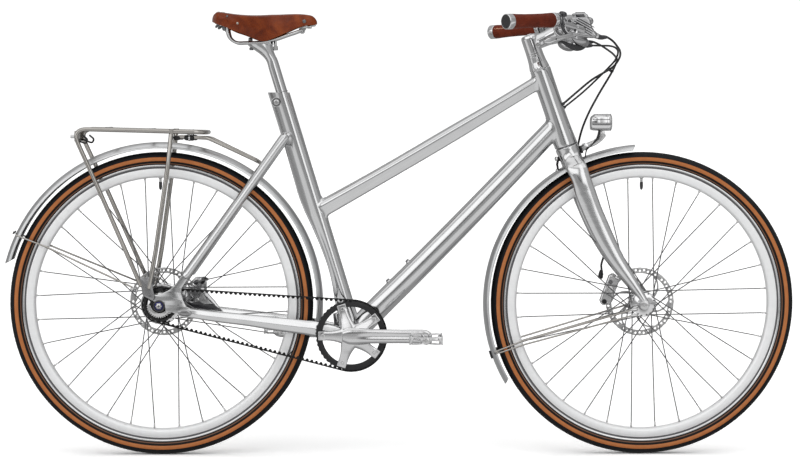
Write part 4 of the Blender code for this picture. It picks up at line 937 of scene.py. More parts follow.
def make_frame():
    s0, s1 = -0.0915, 0.0950
    outer = [(0.0240, s1), (0.0239, s1 - 0.045), (0.0243, s0 + 0.060), (0.0256, s0 + 0.025), (0.0272, s0)]
    fine = [(p[0], p[1]) for p in spline([(a, b, 0) for a, b in outer], 24)]
    head = lathe("head_tube_skin", fine + [(0.0150, s0), (0.0150, s1)], HEAD - FWD * 0.0010, DIR, 96, r=0.0012)

    # top tube: an arched top, a crease on each side and a flat lower flank
    half = [(0.0, 1.0), (0.40, 0.965), (0.74, 0.80), (0.93, 0.58), (1.0, 0.36), (0.985, 0.22), (0.74, -0.84), (0.56, -1.0), (0.0, -1.0)]
    arch = dense(half_section(half, 0.10, 4), 72)
    table = [(seat_front(0.5934) + 0.0004, 0.5934, seat_front(0.5545) + 0.0004, 0.5545, 0.0166),
             (0.4837, 0.6548, 0.4940, 0.6180, 0.0172), (0.6697, 0.7627, 0.6800, 0.7270, 0.0166),
             (0.7975, 0.8366, 0.8070, 0.8053, 0.0160), (0.8610, 0.8750, 0.8712, 0.8446, 0.0156)]
    top, top_rows = section_tube("top_tube_skin", table, arch, 40)
    bpy.data.objects.remove(top, do_unlink=True)
    top = grid("top_tube_skin", stretched(top_rows, 0.006, 0.016), angle=40.0)
    top = boolean(top, lathe("bore", [(0.0, -0.12), (0.0170, -0.12), (0.0170, 0.12), (0.0, 0.12)], HEAD, DIR, 64, closed=False))
    shade(top, 40.0)

    # down tube: a plain deep oval
    egg = [V((math.cos(t) * (1.0 if abs(math.cos(t)) < 2 else 1), math.sin(t))) for t in
           [TAU * i / 72 for i in range(72)]]
    egg = [V((math.copysign(abs(p.x) ** 0.92, p.x), math.copysign(abs(p.y) ** 0.96, p.y))) for p in egg]
    table = [(0.4568, 0.3322, 0.4705, 0.2700, 0.0200), (0.4900, 0.3665, 0.5230, 0.3240, 0.0215),
             (0.5535, 0.4291, 0.5880, 0.3890, 0.0220), (0.8300, 0.7100, 0.8620, 0.6740, 0.0205),
             (0.8922, 0.7740, 0.9082, 0.7241, 0.0195)]
    down, down_rows = section_tube("down_tube_skin", table, egg, 60)
    bpy.data.objects.remove(down, do_unlink=True)
    down = grid("down_tube_skin", stretched(down_rows, 0.014, 0.020), angle=40.0)
    down = boolean(down, lathe("bore", [(0.0, -0.12), (0.0170, -0.12), (0.0170, 0.12), (0.0, 0.12)], HEAD, DIR, 64, closed=False))
    down = boolean(down, lathe("bore", [(0.0, -0.05), (0.0186, -0.05), (0.0186, 0.05), (0.0, 0.05)], BB, Y, 64, closed=False))
    shade(down, 40.0)

    # seat tube: round in front, flat-sided fin behind
    fin = [(0.8396, 0.2471), (0.7455, 0.2764), (0.7083, 0.2871), (0.6362, 0.3075), (0.5980, 0.3185),
           (0.5674, 0.3305), (0.5272, 0.3493), (0.4735, 0.3719), (0.4319, 0.3863), (0.3949, 0.3952),
           (0.3668, 0.3996), (0.3017, 0.4130)]
    rows = []
    table = spline([(z, 0, 0, rear) for z, rear in fin], 72)
    for z, _, _, rear in table:
        half_x = 0.0172 / math.sin(SEAT_ANGLE)
        cx = seat_front(z) - half_x
        depth = cx - rear
        s = min(1.0, max(0.35, depth / 0.030))
        flat = 0.0102 if depth > 0.020 else 0.0102 + (0.020 - depth) * 0.30
        flat = min(flat, 0.0150)
        side = []
        for k in range(13):
            t = rad(90 - 90 * k / 12)
            side.append((cx + half_x * math.cos(t), 0.0172 * math.sin(t)))
        side.reverse()
        # side runs from the crest (t = 90) to the front edge; put the back part before it
        back = [(rear + 0.0028, flat - 0.0006 + 0.0006), (rear + 0.0060, flat), (cx - 0.0225 * s, flat), (cx - 0.0185 * s, flat + 0.0003),
                (cx - 0.0140 * s, flat + (0.0172 - flat) * 0.34), (cx - 0.0095 * s, flat + (0.0172 - flat) * 0.70),
                (cx - 0.0045 * s, flat + (0.0172 - flat) * 0.945)]
        back = [(max(x, rear + 0.0028), y) for x, y in back]
        corner = [(rear, flat - 0.0042), (rear + 0.0003, flat - 0.0022), (rear + 0.0012, flat - 0.0007)]
        upper = corner + back + [(p[0], p[1]) for p in reversed(side)]
        pts = [V((x, y, z)) for x, y in upper]
        pts = pts + [V((x, -y, z)) for x, y in reversed(upper[:-1])]
        # even out doubled points
        clean = []
        for i, p in enumerate(pts):
            if clean and (p - clean[-1]).length < 1e-5:
                p = p + V((1e-5 * (1 if i < len(pts) / 2 else -1), 0, 0))
            clean.append(p)
        rows.append(clean)
    seat = grid("seat_tube_skin", rows, angle=46.0)
    bore = lathe("bore", [(0.0, -0.20), (0.0139, -0.20), (0.0139, 0.02), (0.0, 0.02)], SEAT_TOP, SEAT_DIR, 64, closed=False)
    seat = boolean(seat, bore)
    for sign in (-1, 1):
        pocket = lathe("pocket", [(0.0, 0.0100), (0.0100, 0.0100), (0.0106, 0.0108), (0.0106, 0.03), (0.0, 0.03)],
                       (0.2672, 0, 0.8173), (0, sign, 0), 48, closed=False)
        seat = boolean(seat, pocket)
    slit = box("slit", (0.0060, 0.0016, 0.050), (0.2475 + 0.002, 0, 0.8250), bevel=0.0)
    seat = boolean(seat, slit)
    shade(seat, 46.0)
    rim = [pipe("rim", [V((0.2672 + 0.0108 * math.cos(t), sign * 0.0103, 0.8173 + 0.0108 * math.sin(t)))
                        for t in [rad(52 + 262 * k / 40) for k in range(41)]], 0.0009, sides=10, dome=True)
           for sign in (-1, 1)]
    head_r = [screw("clamp_head", (0.2672, sign * 0.0098, 0.8173), (0, sign, 0), 0.0062, 0.0058, 0.0030) for sign in (-1, 1)]
    put(join("clamp_bolt_heads", head_r), "frame", "steel", stands=("seat_clamp_bolt",), slot="bright_steel")

    shell = lathe("bottom_bracket_shell_skin", [(0.0180, -0.0365), (0.0213, -0.0365), (0.0213, 0.0365), (0.0180, 0.0365)],
                  BB, Y, 72, r=0.0010)
    put(lathe("bottom_bracket_cups", [(0.0092, -0.0388), (0.0166, -0.0388), (0.0177, -0.0375), (0.0177, 0.0375),
                                      (0.0166, 0.0388), (0.0092, 0.0388)], BB, Y, 60, r=0.0005),
        "frame", "black", stands=("bottom_bracket_cartridge",), slot="black_metal")

    # chainstays
    table = [(0.4190, 0.2990, 0.4120, 0.2700, -0.0290, 0.0090), (0.3900, 0.3045, 0.3840, 0.2725, -0.0310, 0.0078),
             (0.3560, 0.3125, 0.3510, 0.2775, -0.0330, 0.0076), (0.3247, 0.3165, 0.3247, 0.2825, -0.0385, 0.0080),
             (0.2650, 0.3230, 0.2600, 0.2925, -0.0480, 0.0085), (0.2080, 0.3295, 0.2060, 0.3025, -0.0560, 0.0085),
             (0.1200, 0.3390, 0.1180, 0.3152, -0.0650, 0.0084), (0.0760, 0.3438, 0.0740, 0.3232, -0.0700, 0.0074),
             (0.0620, 0.3440, 0.0610, 0.3260, -0.0708, 0.0062), (0.0560, 0.3400, 0.0556, 0.3300, -0.0708, 0.0040)]
    rows = []
    nose = dense(half_section([(0.0, 1.0), (0.52, 0.955), (0.80, 0.72), (1.0, 0.03), (0.985, -0.12), (0.84, -0.76), (0.50, -0.975), (0.0, -1.0)], 0.16, 4), 72)
    for tx, tz, bx, bz, y, w in spline(table, 64):
        t, b = V((tx, y, tz)), V((bx, y, bz))
        rows.append([(t + b) / 2 + (t - b) / 2 * q[1] + Y * (-w * q[0]) for q in nose])
    stay = grid("chainstay_skin", rows, angle=46.0)
    spots = ((152.9, 294.8), (156.0, 294.4), (162.8, 292.5), (169.0, 289.4), (173.6, 285.6), (176.6, 281.8), (181.2, 275.3), (186.6, 271.6), (190.0, 275.6), (185.8, 281.0), (181.6, 287.4),
             (180.7, 291.7), (182.7, 299.4), (185.8, 306.0), (192.0, 309.0), (193.0, 316.6), (187.0, 317.4), (180.4, 316.6), (176.6, 313.9), (172.0, 312.0), (165.1, 311.2), (165.1, 307.8), (164.0, 304.0), (161.3, 301.7), (152.9, 300.9))
    outline = [(q.x, q.z) for q in (drawn(u, v, -0.0735) for u, v in spots)]
    drop_r = plate("dropout", [outline], 0.0060, -0.0705, bevel=0.0008, r=0.0022)
    skin = join("chainstay_right_skin", [stay, drop_r])
    shade(skin, 42.0)
    # the scallop is painted darker than the frame: painted shade in the hollow
    scallop = lathe("scallop", [(0.0, -0.0016), (0.0050, -0.0013), (0.0092, 0.0), (0.0050, 0.0013), (0.0, 0.0016)], (0, 0, 0), Y, 48, closed=False, r=0.0006)
    at = drawn(184.6, 312.3, -0.0745)
    hit, _, _, _ = tree_of(skin).ray_cast(V((at.x, -0.2, at.z)), V((0, 1, 0)), 0.3)
    scallop.data.transform(Matrix.Translation((at.x, (hit.y if hit is not None else -0.0742) - 0.0006, at.z)) @ Matrix.Rotation(rad(4), 4, "Y") @ Matrix.Diagonal((2.05, 1.8, 1.0, 1.0)))
    small = []
    for u, v in ((164.1, 302.0), (180.8, 302.0)):
        q = drawn(u, v, -0.0740)
        hit, _, _, _ = tree_of(skin).ray_cast(V((q.x, -0.2, q.z)), V((0, 1, 0)), 0.3)
        small.append(paint(screw("plug", V((q.x, (hit.y if hit is not None else -0.0735) + 0.0003, q.z)), -Y, 0.0019, 0.0007, 0.0010), "dark_steel"))
    skin = join("chainstay_right_skin", [paint(skin, "frame"), paint(scallop, "dark_alloy_and_shade")] + small)
    left = flipped(skin, "chainstay_left_skin")
    put(skin, "frame", stands=("chainstay_right",), slot="frame_aluminium")
    put(left, "frame", stands=("chainstay_left",), slot="frame_aluminium")

    # seat stays: a lozenge section with a crease that faces out
    up, low = V((0.2903, -0.0250, 0.7419)), V((0.0594, -0.0705, 0.4166))
    axis = (up - low).normalized()
    inplane = V((-axis.z, 0, axis.x)).normalized()
    rows = []
    stations = [(-0.0020, 0.55), (0.0010, 0.88), (0.0040, 0.99)] + [(0.0100 + 0.0300 * k, 1.0) for k in range(13)]
    length = (up - low).length
    stations = [(a, b) for a, b in stations if a < length - 0.012] + [(length - 0.0100, 1.0), (length - 0.0040, 0.95), (length - 0.0005, 0.80),
                                                                      (length + 0.0016, 0.52), (length + 0.0022, 0.20)]
    for s, k in stations:
        rows.append(ring(low + axis * s, inplane * (0.0112 * k), Y * (0.0102 * k), 40, 1.62))
    stay = grid("seatstay_right_skin", rows, angle=24.0)
    left = flipped(stay, "seatstay_left_skin")
    stay_section = ring(up - axis * 0.03, inplane * 0.0100, Y * 0.0098, 40, 1.8)
    put(stay, "frame", "frame", stands=("seatstay_right",), slot="frame_aluminium")
    put(left, "frame", "frame", stands=("seatstay_left",), slot="frame_aluminium")

    web = ellipsoid("web", drawn(361.5, 316.5), V((0.0150, 0, 0.0130)), V((-0.0090, 0, 0.0105)), V((0, 0.0150, 0)), power=2.2)
    # smoothed welds
    beads = [fillet("weld", top_rows[-1], V((0.0585, 0, 0.0385)), head, 0.0075),
             fillet("weld", top_rows[0], V((-0.1041, 0, -0.0614)), seat, 0.0090),
             fillet("weld", down_rows[-1], V((0.0542, 0, 0.0570)), head, 0.0080)]
    # seat-stay lugs: smooth collars where the stays meet the fin
    for sign in (-1, 1):
        lug = pipe("lug", [V((0.2930, sign * 0.0170, 0.7385)), V((0.2960, sign * 0.0110, 0.7330)), V((0.2970, sign * 0.0060, 0.7280))],
                   [0.0110, 0.0125, 0.0140], sides=32, dome=True)
        beads.append(boolean(lug, lathe("bore", [(0.0, -0.20), (0.0139, -0.20), (0.0139, 0.02), (0.0, 0.02)], SEAT_TOP, SEAT_DIR, 64, closed=False)))
    put(join("frame_welds", beads + rim + [web]), "frame", "frame", slot="frame_aluminium")

    # seat tube foot and stay root round the bottom bracket
    foot = [lathe("foot", [(0.0, -0.0300), (0.0208, -0.0300), (0.0222, -0.0240), (0.0222, 0.0240), (0.0208, 0.0300), (0.0, 0.0300)], BB, Y, 60, closed=False, r=0.002),
            pipe("root", [V((0.4200, 0.0, 0.2960)), V((0.4120, 0, 0.3300))], [0.0200, 0.0160], sides=36)]
    for sign in (-1, 1):
        foot.append(pipe("root", [V((0.4330, sign * 0.0200, 0.2830)), V((0.4140, sign * 0.0275, 0.2850)), V((0.3960, sign * 0.0302, 0.2870))],
                         [0.0150, 0.0128, 0.0105], sides=32, oval=(0.80, 1.0)))
    put(melt("bottom_bracket_joint", foot, 0.0010, 8), "frame", "frame", slot="frame_aluminium")

    put(head, "frame", "frame", stands=("head_tube",), slot="frame_aluminium")
    put(top, "frame", "frame", stands=("top_tube",), slot="frame_aluminium")
    # bosses on the down tube and their screws
    slope = V((0.8300 - 0.5535, 0, 0.7100 - 0.4291)).normalized()
    normal = V((-slope.z, 0, slope.x))
    bosses, screws = [], []
    for along, rise in ((-0.0385, 0.0006), (0.0255, 0.0)):
        base = V((0.5535, 0, 0.4291)) + slope * along + normal * rise
        bosses.append(lathe("boss", [(0.0, -0.006), (0.0062, -0.006), (0.0060, 0.0010), (0.0052, 0.0022), (0.0, 0.0022)], base, normal, 32, closed=False, r=0.0004))
        screws.append(screw("cage_screw", base + normal * 0.0020, normal, 0.0044, 0.0036, 0.0022))
    put(join("down_tube_skin", [down] + bosses), "frame", "frame", stands=("down_tube",), slot="frame_aluminium")
    put(join("cage_screws", screws), "frame", "dark_steel", slot="bright_steel")
    put(seat, "frame", "frame", stands=("seat_tube",), slot="frame_aluminium")
    put(shell, "frame", "frame", stands=("bottom_bracket_shell",), slot="frame_aluminium")

    # headset: a thin ring
    rings = [lathe("ring", [(0.0152, s0 - 0.0018), (0.0262, s0 - 0.0018), (0.0266, s0 - 0.0003), (0.0152, s0 - 0.0003)], HEAD, DIR, 72, r=0.0003)]
    put(join("headset_rings", rings), "frame", "dark_steel", stands=("headset_ring",), slot="bright_steel")


# ================================================================ rear axle fittings
def make_rear_end():
    parts = []
    for sign in (-1, 1):
        parts.append(lathe("nut", [(0.0, 0.0738), (0.0095, 0.0738), (0.0095, 0.0755), (0.0, 0.0755)], REAR, (0, sign, 0), 48, closed=False, r=0.0003))
    axle = lathe("axle", [(0.0, -0.0720), (0.0050, -0.0720), (0.0050, 0.0720), (0.0, 0.0720)], REAR, Y, 32, closed=False)
    nuts = []
    for sign in (-1, 1):
        # a hexagon with a domed crown
        d = V((0, sign, 0))
        a, b = basis(d)
        rows = []
        for rr, hh, six in ((0.0072, 0.0752, True), (0.0074, 0.0790, True), (0.0070, 0.0802, True), (0.0056, 0.0812, False),
                            (0.0050, 0.0820, False), (0.0040, 0.0826, False), (0.0022, 0.0829, False), (0.0004, 0.0830, False)):
            row = []
            for k in range(48):
                t = TAU * k / 48
                q = rr * (math.cos(math.pi / 6) / math.cos((t % (math.pi / 3)) - math.pi / 6) * 1.08 if six else 1.0)
                row.append(REAR + d * hh + (a * math.cos(t) + b * math.sin(t)) * q)
            rows.append(row)
        nuts.append(grid("acorn_nut", rows, angle=30.0))
    put(join("rear_axle_and_nuts", parts + [axle] + nuts), "frame", "steel", stands=("rear_axle",), slot="bright_steel")

    put(screw("axle_socket", REAR - Y * 0.0828, -Y, 0.0028, 0.0006, 0.0016), "frame", "dark_steel", slot="bright_steel")
    # keyed washer and the black cable arm of the hub gear, round the axle
    disc = lathe("key_washer", [(0.0040, 0.0705), (0.0134, 0.0705), (0.0138, 0.0745), (0.0134, 0.0757), (0.0112, 0.0762), (0.0104, 0.0752),
                                (0.0060, 0.0752)], REAR + V((-0.0030, 0, -0.0075)) * 0.0, (0, -1, 0), 60, r=0.0004)
    put(disc, "frame", "gloss", slot="black_metal")
    put(lathe("axle_washer", [(0.0070, 0.0750), (0.0094, 0.0750), (0.0094, 0.0768), (0.0078, 0.0774), (0.0070, 0.0768)], REAR, (0, -1, 0), 56, r=0.0003), "frame", "blue", slot="black_metal")
    # bright crescent of the gear joint and the notches round it
    sweep_out = [(0.0255 * math.cos(rad(a)), AXLE_Z + 0.0255 * math.sin(rad(a))) for a in range(172, 346, 6)]
    sweep_in = [((0.0165 + 0.0040 * abs((a - 258) / 88) ** 2) * math.cos(rad(a)), AXLE_Z + (0.0165 + 0.0040 * abs((a - 258) / 88) ** 2) * math.sin(rad(a))) for a in range(340, 172, -6)]
    crescent = plate("crescent", [sweep_out + sweep_in], 0.0022, -0.0682, bevel=0.0004)
    notches = [screw("notch", V((0.0268 * math.cos(rad(a)), -0.0672, AXLE_Z + 0.0268 * math.sin(rad(a)))), -Y, 0.0017, 0.0016, 0.0009, 0.0005, 16) for a in range(178, 342, 11)]
    put(join("gear_crescent", [paint(crescent, "steel")] + [paint(q, "steel") for q in notches]), "frame", slot="bright_steel")
    # crescent arm behind the dropout
    outer = [(0.0008 + 0.0250 * math.cos(rad(a)), AXLE_Z - 0.004 + 0.0245 * math.sin(rad(a))) for a in range(128, 352, 8)]
    inner = [(0.0030 + 0.0155 * math.cos(rad(a)), AXLE_Z - 0.004 + 0.0150 * math.sin(rad(a))) for a in range(340, 128, -10)]
    arm = plate("gear_arm", [outer + inner], 0.0046, -0.0640, bevel=0.0007)
    cover = lathe("gear_cap", [(0.0070, 0.0570), (0.0205, 0.0570), (0.0220, 0.0590), (0.0205, 0.0615), (0.0160, 0.0648), (0.0070, 0.0653)], REAR, (0, -1, 0), 80, r=0.0008)
    stub = pipe("gear_stub", [V((-0.0120, -0.0640, 0.3560)), V((-0.0230, -0.0635, 0.3690)), V((-0.0345, -0.0625, 0.3800))], [0.0040, 0.0044, 0.0032], sides=20, dome=True)
    put(join("hub_gear_joint", [arm, stub]), "frame", "black", slot="black_metal")
    put(cover, "frame", "black", slot="black_metal")
    # small screws of the dropout plates
    heads = []
    for sign in (-1, 1):
        for x, z in ((0.0060, 0.3535 + 0.0), (0.0440, 0.3532)):
            heads.append(screw("plate_screw", (x + 0.0065 * 0, sign * 0.0734, z), (0, sign, 0), 0.0016, 0.0005, 0.0008))
    put(join("dropout_screws", heads), "frame", "dark_steel", slot="bright_steel")


# ================================================================ wheels
def make_wheel(prefix, body, hub, hole_r, flange_r, flange_l, lace, phase, rotor_y):
    # tyre: tread, tan sidewall, dark bead with one light line
    bead = [(0.3128, 0.0080), (0.3128, 0.0092), (0.3190, 0.0100), (0.3218, 0.0112), (0.3226, 0.0126), (0.3240, 0.0141)]
    line = [(0.3245, 0.0145), (0.3261, 0.0157)]
    dark = [(0.3266, 0.0160), (0.3292, 0.0174), (0.3308, 0.0181)]
    wall = [(0.3313, 0.0185), (0.3336, 0.0193), (0.3362, 0.0196), (0.3382, 0.0193), (0.3390, 0.0190)]
    tread = [(0.3393, 0.0194), (0.3410, 0.0190), (0.3438, 0.0176), (0.3464, 0.0152), (0.3484, 0.0124), (0.3496, 0.0098), (0.3497, 0.0092), (0.3504, 0.0086),
             (0.3510, 0.0054), (0.3507, 0.0048), (0.3507, 0.0042), (0.3512, 0.0036)]
    half = bead + line + dark + wall + tread
    prof = half + [(0.3510, 0.0)] + [(r, -y) for r, y in reversed(half)]
    count = len(half)
    kinds = []
    for i in range(len(prof) + 1):
        j = i if i < count else len(prof) - 2 - i
        if j < 0:
            kinds.append(2)
        elif j < len(bead) - 1:
            kinds.append(2)
        elif j < len(bead) + len(line) - 1:
            kinds.append(3)
        elif j < len(bead) + len(line) + len(dark) - 1:
            kinds.append(2)
        elif j < len(bead) + len(line) + len(dark) + len(wall):
            kinds.append(1)
        else:
            kinds.append(0)
    prof_full = prof + [(0.3128, 0.0)]
    steps = 900 if FINE else 300

    def groove(i, t, r, h):
        """short slanted cuts in the shoulder of the tread"""
        if 0.0048 < abs(h) < 0.0200 and r > 0.3415:
            cell = (t * 0.351 / 0.0068 + abs(h) * 95.0) % 1.0
            if cell < 0.26:
                return r - 0.00055, h
        return r, h
    tyre = lathe(prefix + "_tyre_skin", prof_full, hub, Y, steps, closed=True, zones=lambda i, j: kinds[min(i, len(kinds) - 1)], wobble=groove, angle=50.0)
    put(tyre, body, "tread", "tan", "bead", "bead_line", stands=(prefix + "_tyre",), slot="tyre_black")

    # rim: box section with a hooked flange, and a dark band of painted shade in the step below the hook
    half = [(0.2918, 0.0030), (0.2920, 0.0050), (0.2926, 0.0068), (0.2940, 0.0090), (0.2954, 0.0103), (0.2970, 0.0112), (0.3000, 0.0119), (0.3122, 0.0122), (0.3130, 0.0119),
            (0.3137, 0.0108), (0.3166, 0.0107), (0.3174, 0.0111), (0.3181, 0.0120), (0.3190, 0.0126), (0.3202, 0.0128), (0.3214, 0.0125), (0.3221, 0.0117), (0.3210, 0.0106), (0.3090, 0.0102)]
    cut = {8: 1, 9: 1, 10: 1, 11: 2, 12: 2, 13: 2, 14: 2, 15: 2}
    prof = half + [(r, -y) for r, y in reversed(half)]
    count = len(prof)
    rim = lathe(prefix + "_rim_skin", prof, hub, Y, 360 if FINE else 180, angle=32.0, zones=lambda i, j: cut.get(i, cut.get(count - 2 - i, 0)))
    put(rim, body, "rim", "groove", "polish", stands=(prefix + "_rim",), slot="rim_aluminium")

    # spokes with elbows and nipples
    for side, sign, flange in (("right", -1, flange_r), ("left", 1, flange_l)):
        wires, nipples = [], []
        for i in range(16):
            at_rim = rad(phase + 22.5 * i + (0 if side == "right" else 11.25))
            lead = (1 if i % 2 else -1) * (1 if side == "right" else -1)
            at_hub = at_rim + lead * rad(lace)
            out = 1 if lead > 0 else -1
            yy = sign * (flange + out * 0.0021)
            a = hub + V((hole_r * math.cos(at_hub), yy, hole_r * math.sin(at_hub)))
            b = hub + V((0.2860 * math.cos(at_rim), sign * (0.0045 + 0.0003 * out), 0.2860 * math.sin(at_rim)))
            d = (b - a).normalized()
            inner = hub + V((hole_r * math.cos(at_hub), sign * (flange - out * 0.0024), hole_r * math.sin(at_hub)))
            path = [inner, inner.lerp(a, 0.55), a + d * 0.0012, a + d * 0.006, a + d * 0.05, b - d * 0.10, b]
            wires.append(pipe("spoke", path, [0.00135, 0.00135, 0.00135, 0.00135, 0.00126, 0.00126, 0.00126], sides=8))
            wires.append(pipe("spoke_head", [inner - V((0, sign * out * 0.0007, 0)), inner + V((0, sign * out * 0.0006, 0))], [0.0016, 0.0018], sides=10))
            rr = V((math.cos(at_rim), 0, math.sin(at_rim)))
            foot = hub + rr * 0.2925 + V((0, sign * 0.0040, 0))
            tip = b - d * 0.0065
            nipples.append(pipe("nipple", [foot, foot.lerp(tip, 0.25), foot.lerp(tip, 0.3), tip.lerp(foot, 0.05), tip], [0.0024, 0.0024, 0.0018, 0.0017, 0.0013], sides=10))
        cage = join(f"{prefix}_spokes_{side}_wire", [paint(w, "spoke") for w in wires] + [paint(q, "steel") for q in nipples])
        put(cage, body, stands=(f"{prefix}_spokes_{side}",), slot="spoke_steel")

    # valve, pointing in from the top of the rim
    top = hub + Z * 0.2920 - X * 0.0020
    stem = lathe("valve", [(0.0, 0.0), (0.0048, 0.0), (0.0048, -0.0018), (0.0030, -0.0026), (0.0030, -0.0120), (0.0, -0.0120)], top, Z, 24, closed=False, r=0.0003)
    cap = lathe("valve_cap", [(0.0, -0.0100), (0.0034, -0.0100), (0.0038, -0.0112), (0.0038, -0.0210), (0.0030, -0.0265), (0.0014, -0.0285), (0.0, -0.0288)],
                top, Z, 24, closed=False, r=0.0005)
    put(join(prefix + "_valve", [paint(stem, "steel"), paint(cap, "plastic")]), body, slot="black_plastic")

    # rotor: a drilled ring on six curved arms
    holes = []
    for i in range(48):
        a = TAU * i / 48
        if i % 8 == 7:
            continue
        r = 0.0733 + (0.0016 if i % 2 else -0.0016) * 0.6
        holes.append(circle(hub.x + r * math.cos(a), hub.z + r * math.sin(a), 0.0027, 14))
    rim_pts = [(hub.x + (0.0797 + 0.0003 * math.cos(36 * TAU * k / 216)) * math.cos(TAU * k / 216),
                hub.z + (0.0797 + 0.0003 * math.cos(36 * TAU * k / 216)) * math.sin(TAU * k / 216)) for k in range(216)]
    disc = plate("rotor_ring", [rim_pts, circle(hub.x, hub.z, 0.0668, 120)] + holes, 0.0019, rotor_y, bevel=0.00015, res=1)
    arms = []
    for i in range(6):
        a = TAU * i / 6 + 0.2
        path = [(0.0210, a), (0.0340, a + 0.16), (0.0500, a + 0.40), (0.0620, a + 0.66), (0.0690, a + 0.86)]
        pts = spline([(r * math.cos(t), 0, r * math.sin(t)) for r, t in path], 16)
        left_e, right_e = [], []
        for k, p in enumerate(pts):
            q = pts[min(k + 1, len(pts) - 1)]
            o = pts[max(k - 1, 0)]
            d = V((q[0] - o[0], q[2] - o[2])).normalized()
            w = 0.0040 - 0.0022 * min(1, k / 8) + (0.0010 if k > 13 else 0)
            left_e.append((hub.x + p[0] - d.y * w, hub.z + p[2] + d.x * w))
            right_e.append((hub.x + p[0] + d.y * w, hub.z + p[2] - d.x * w))
        arms.append(plate("rotor_arm", [left_e + right_e[::-1]], 0.0017, rotor_y, bevel=0.00015, res=1))
    core = plate("rotor_core", [circle(hub.x, hub.z, 0.0245, 60), circle(hub.x, hub.z, 0.0176, 40)], 0.0018, rotor_y, bevel=0.0002, res=1)
    put(join(prefix + "_rotor_disc", [disc] + arms + [core]), body, "rotor", stands=(prefix + "_rotor",), slot="rotor_steel")
    sgn = 1
    lock = lathe(prefix + "_rotor_lockring", [(0.0172, rotor_y + 0.0010), (0.0225, rotor_y + 0.0010), (0.0220, rotor_y + 0.0034), (0.0172, rotor_y + 0.0036)],
                 hub, Y, 72, r=0.0004, wobble=lambda i, t, r, h: (r - (0.0008 if (t * 24 / TAU) % 1 < 0.4 and r > 0.020 else 0.0), h))
    put(lock, body, "dark_steel", slot="black_metal")


def make_wheels():
    make_wheel("rear", "rear_wheel", REAR, 0.0430, 0.0300, 0.0330, 45.0, -93.7, 0.0520)
    make_wheel("front", "front_wheel", FRONT, 0.0265, 0.0310, 0.0225, 67.5, -94.6, 0.0345)
    prof = [(0.0068, -0.0408), (0.0160, -0.0408), (0.0170, -0.0330), (0.0300, -0.0320), (0.0400, -0.0316), (0.0465, -0.0315), (0.0465, -0.0286), (0.0420, -0.0272),
            (0.0404, -0.0230), (0.0404, 0.0240), (0.0420, 0.0300), (0.0465, 0.0316), (0.0465, 0.0345), (0.0400, 0.0346), (0.0300, 0.0352), (0.0200, 0.0400),
            (0.0168, 0.0430), (0.0168, 0.0508), (0.0065, 0.0508)]
    hub = lathe("rear_hub_shell", prof, REAR, Y, 120, r=0.0010)
    put(hub, "rear_wheel", "polish", stands=("rear_hub",), slot="polished_aluminium")
    prof = [(0.0078, -0.0485), (0.0108, -0.0485), (0.0125, -0.0430), (0.0140, -0.0350), (0.0220, -0.0326), (0.0262, -0.0318), (0.0300, -0.0325), (0.0300, -0.0296),
            (0.0274, -0.0270), (0.0268, -0.0180), (0.0274, -0.0080), (0.0274, 0.0100), (0.0268, 0.0170), (0.0274, 0.0196), (0.0300, 0.0212), (0.0300, 0.0240),
            (0.0262, 0.0240), (0.0200, 0.0262), (0.0168, 0.0275), (0.0168, 0.0328), (0.0105, 0.0330), (0.0100, 0.0485), (0.0078, 0.0485)]
    hub = lathe("front_hub_shell", prof, FRONT, Y, 120, r=0.0008)
    put(hub, "front_wheel", "polish", stands=("front_hub",), slot="polished_aluminium")


# ================================================================ belt drive
def loop_points(r1, r2, count1=72, count2=36):
    d = V((REAR.x - BB.x, REAR.z - BB.z))
    dist, base = d.length, math.atan2(d.y, d.x)
    alpha = math.acos((r1 - r2) / dist)
    pts = []
    a0, a1 = base + alpha, base + TAU - alpha
    for i in range(count1 + 1):
        a = a0 + (a1 - a0) * i / count1
        pts.append((BB.x + r1 * math.cos(a), BB.z + r1 * math.sin(a)))
    a0, a1 = base - alpha, base + alpha
    for i in range(count2 + 1):
        a = a0 + (a1 - a0) * i / count2
        pts.append((REAR.x + r2 * math.cos(a), REAR.z + r2 * math.sin(a)))
    return pts, count1


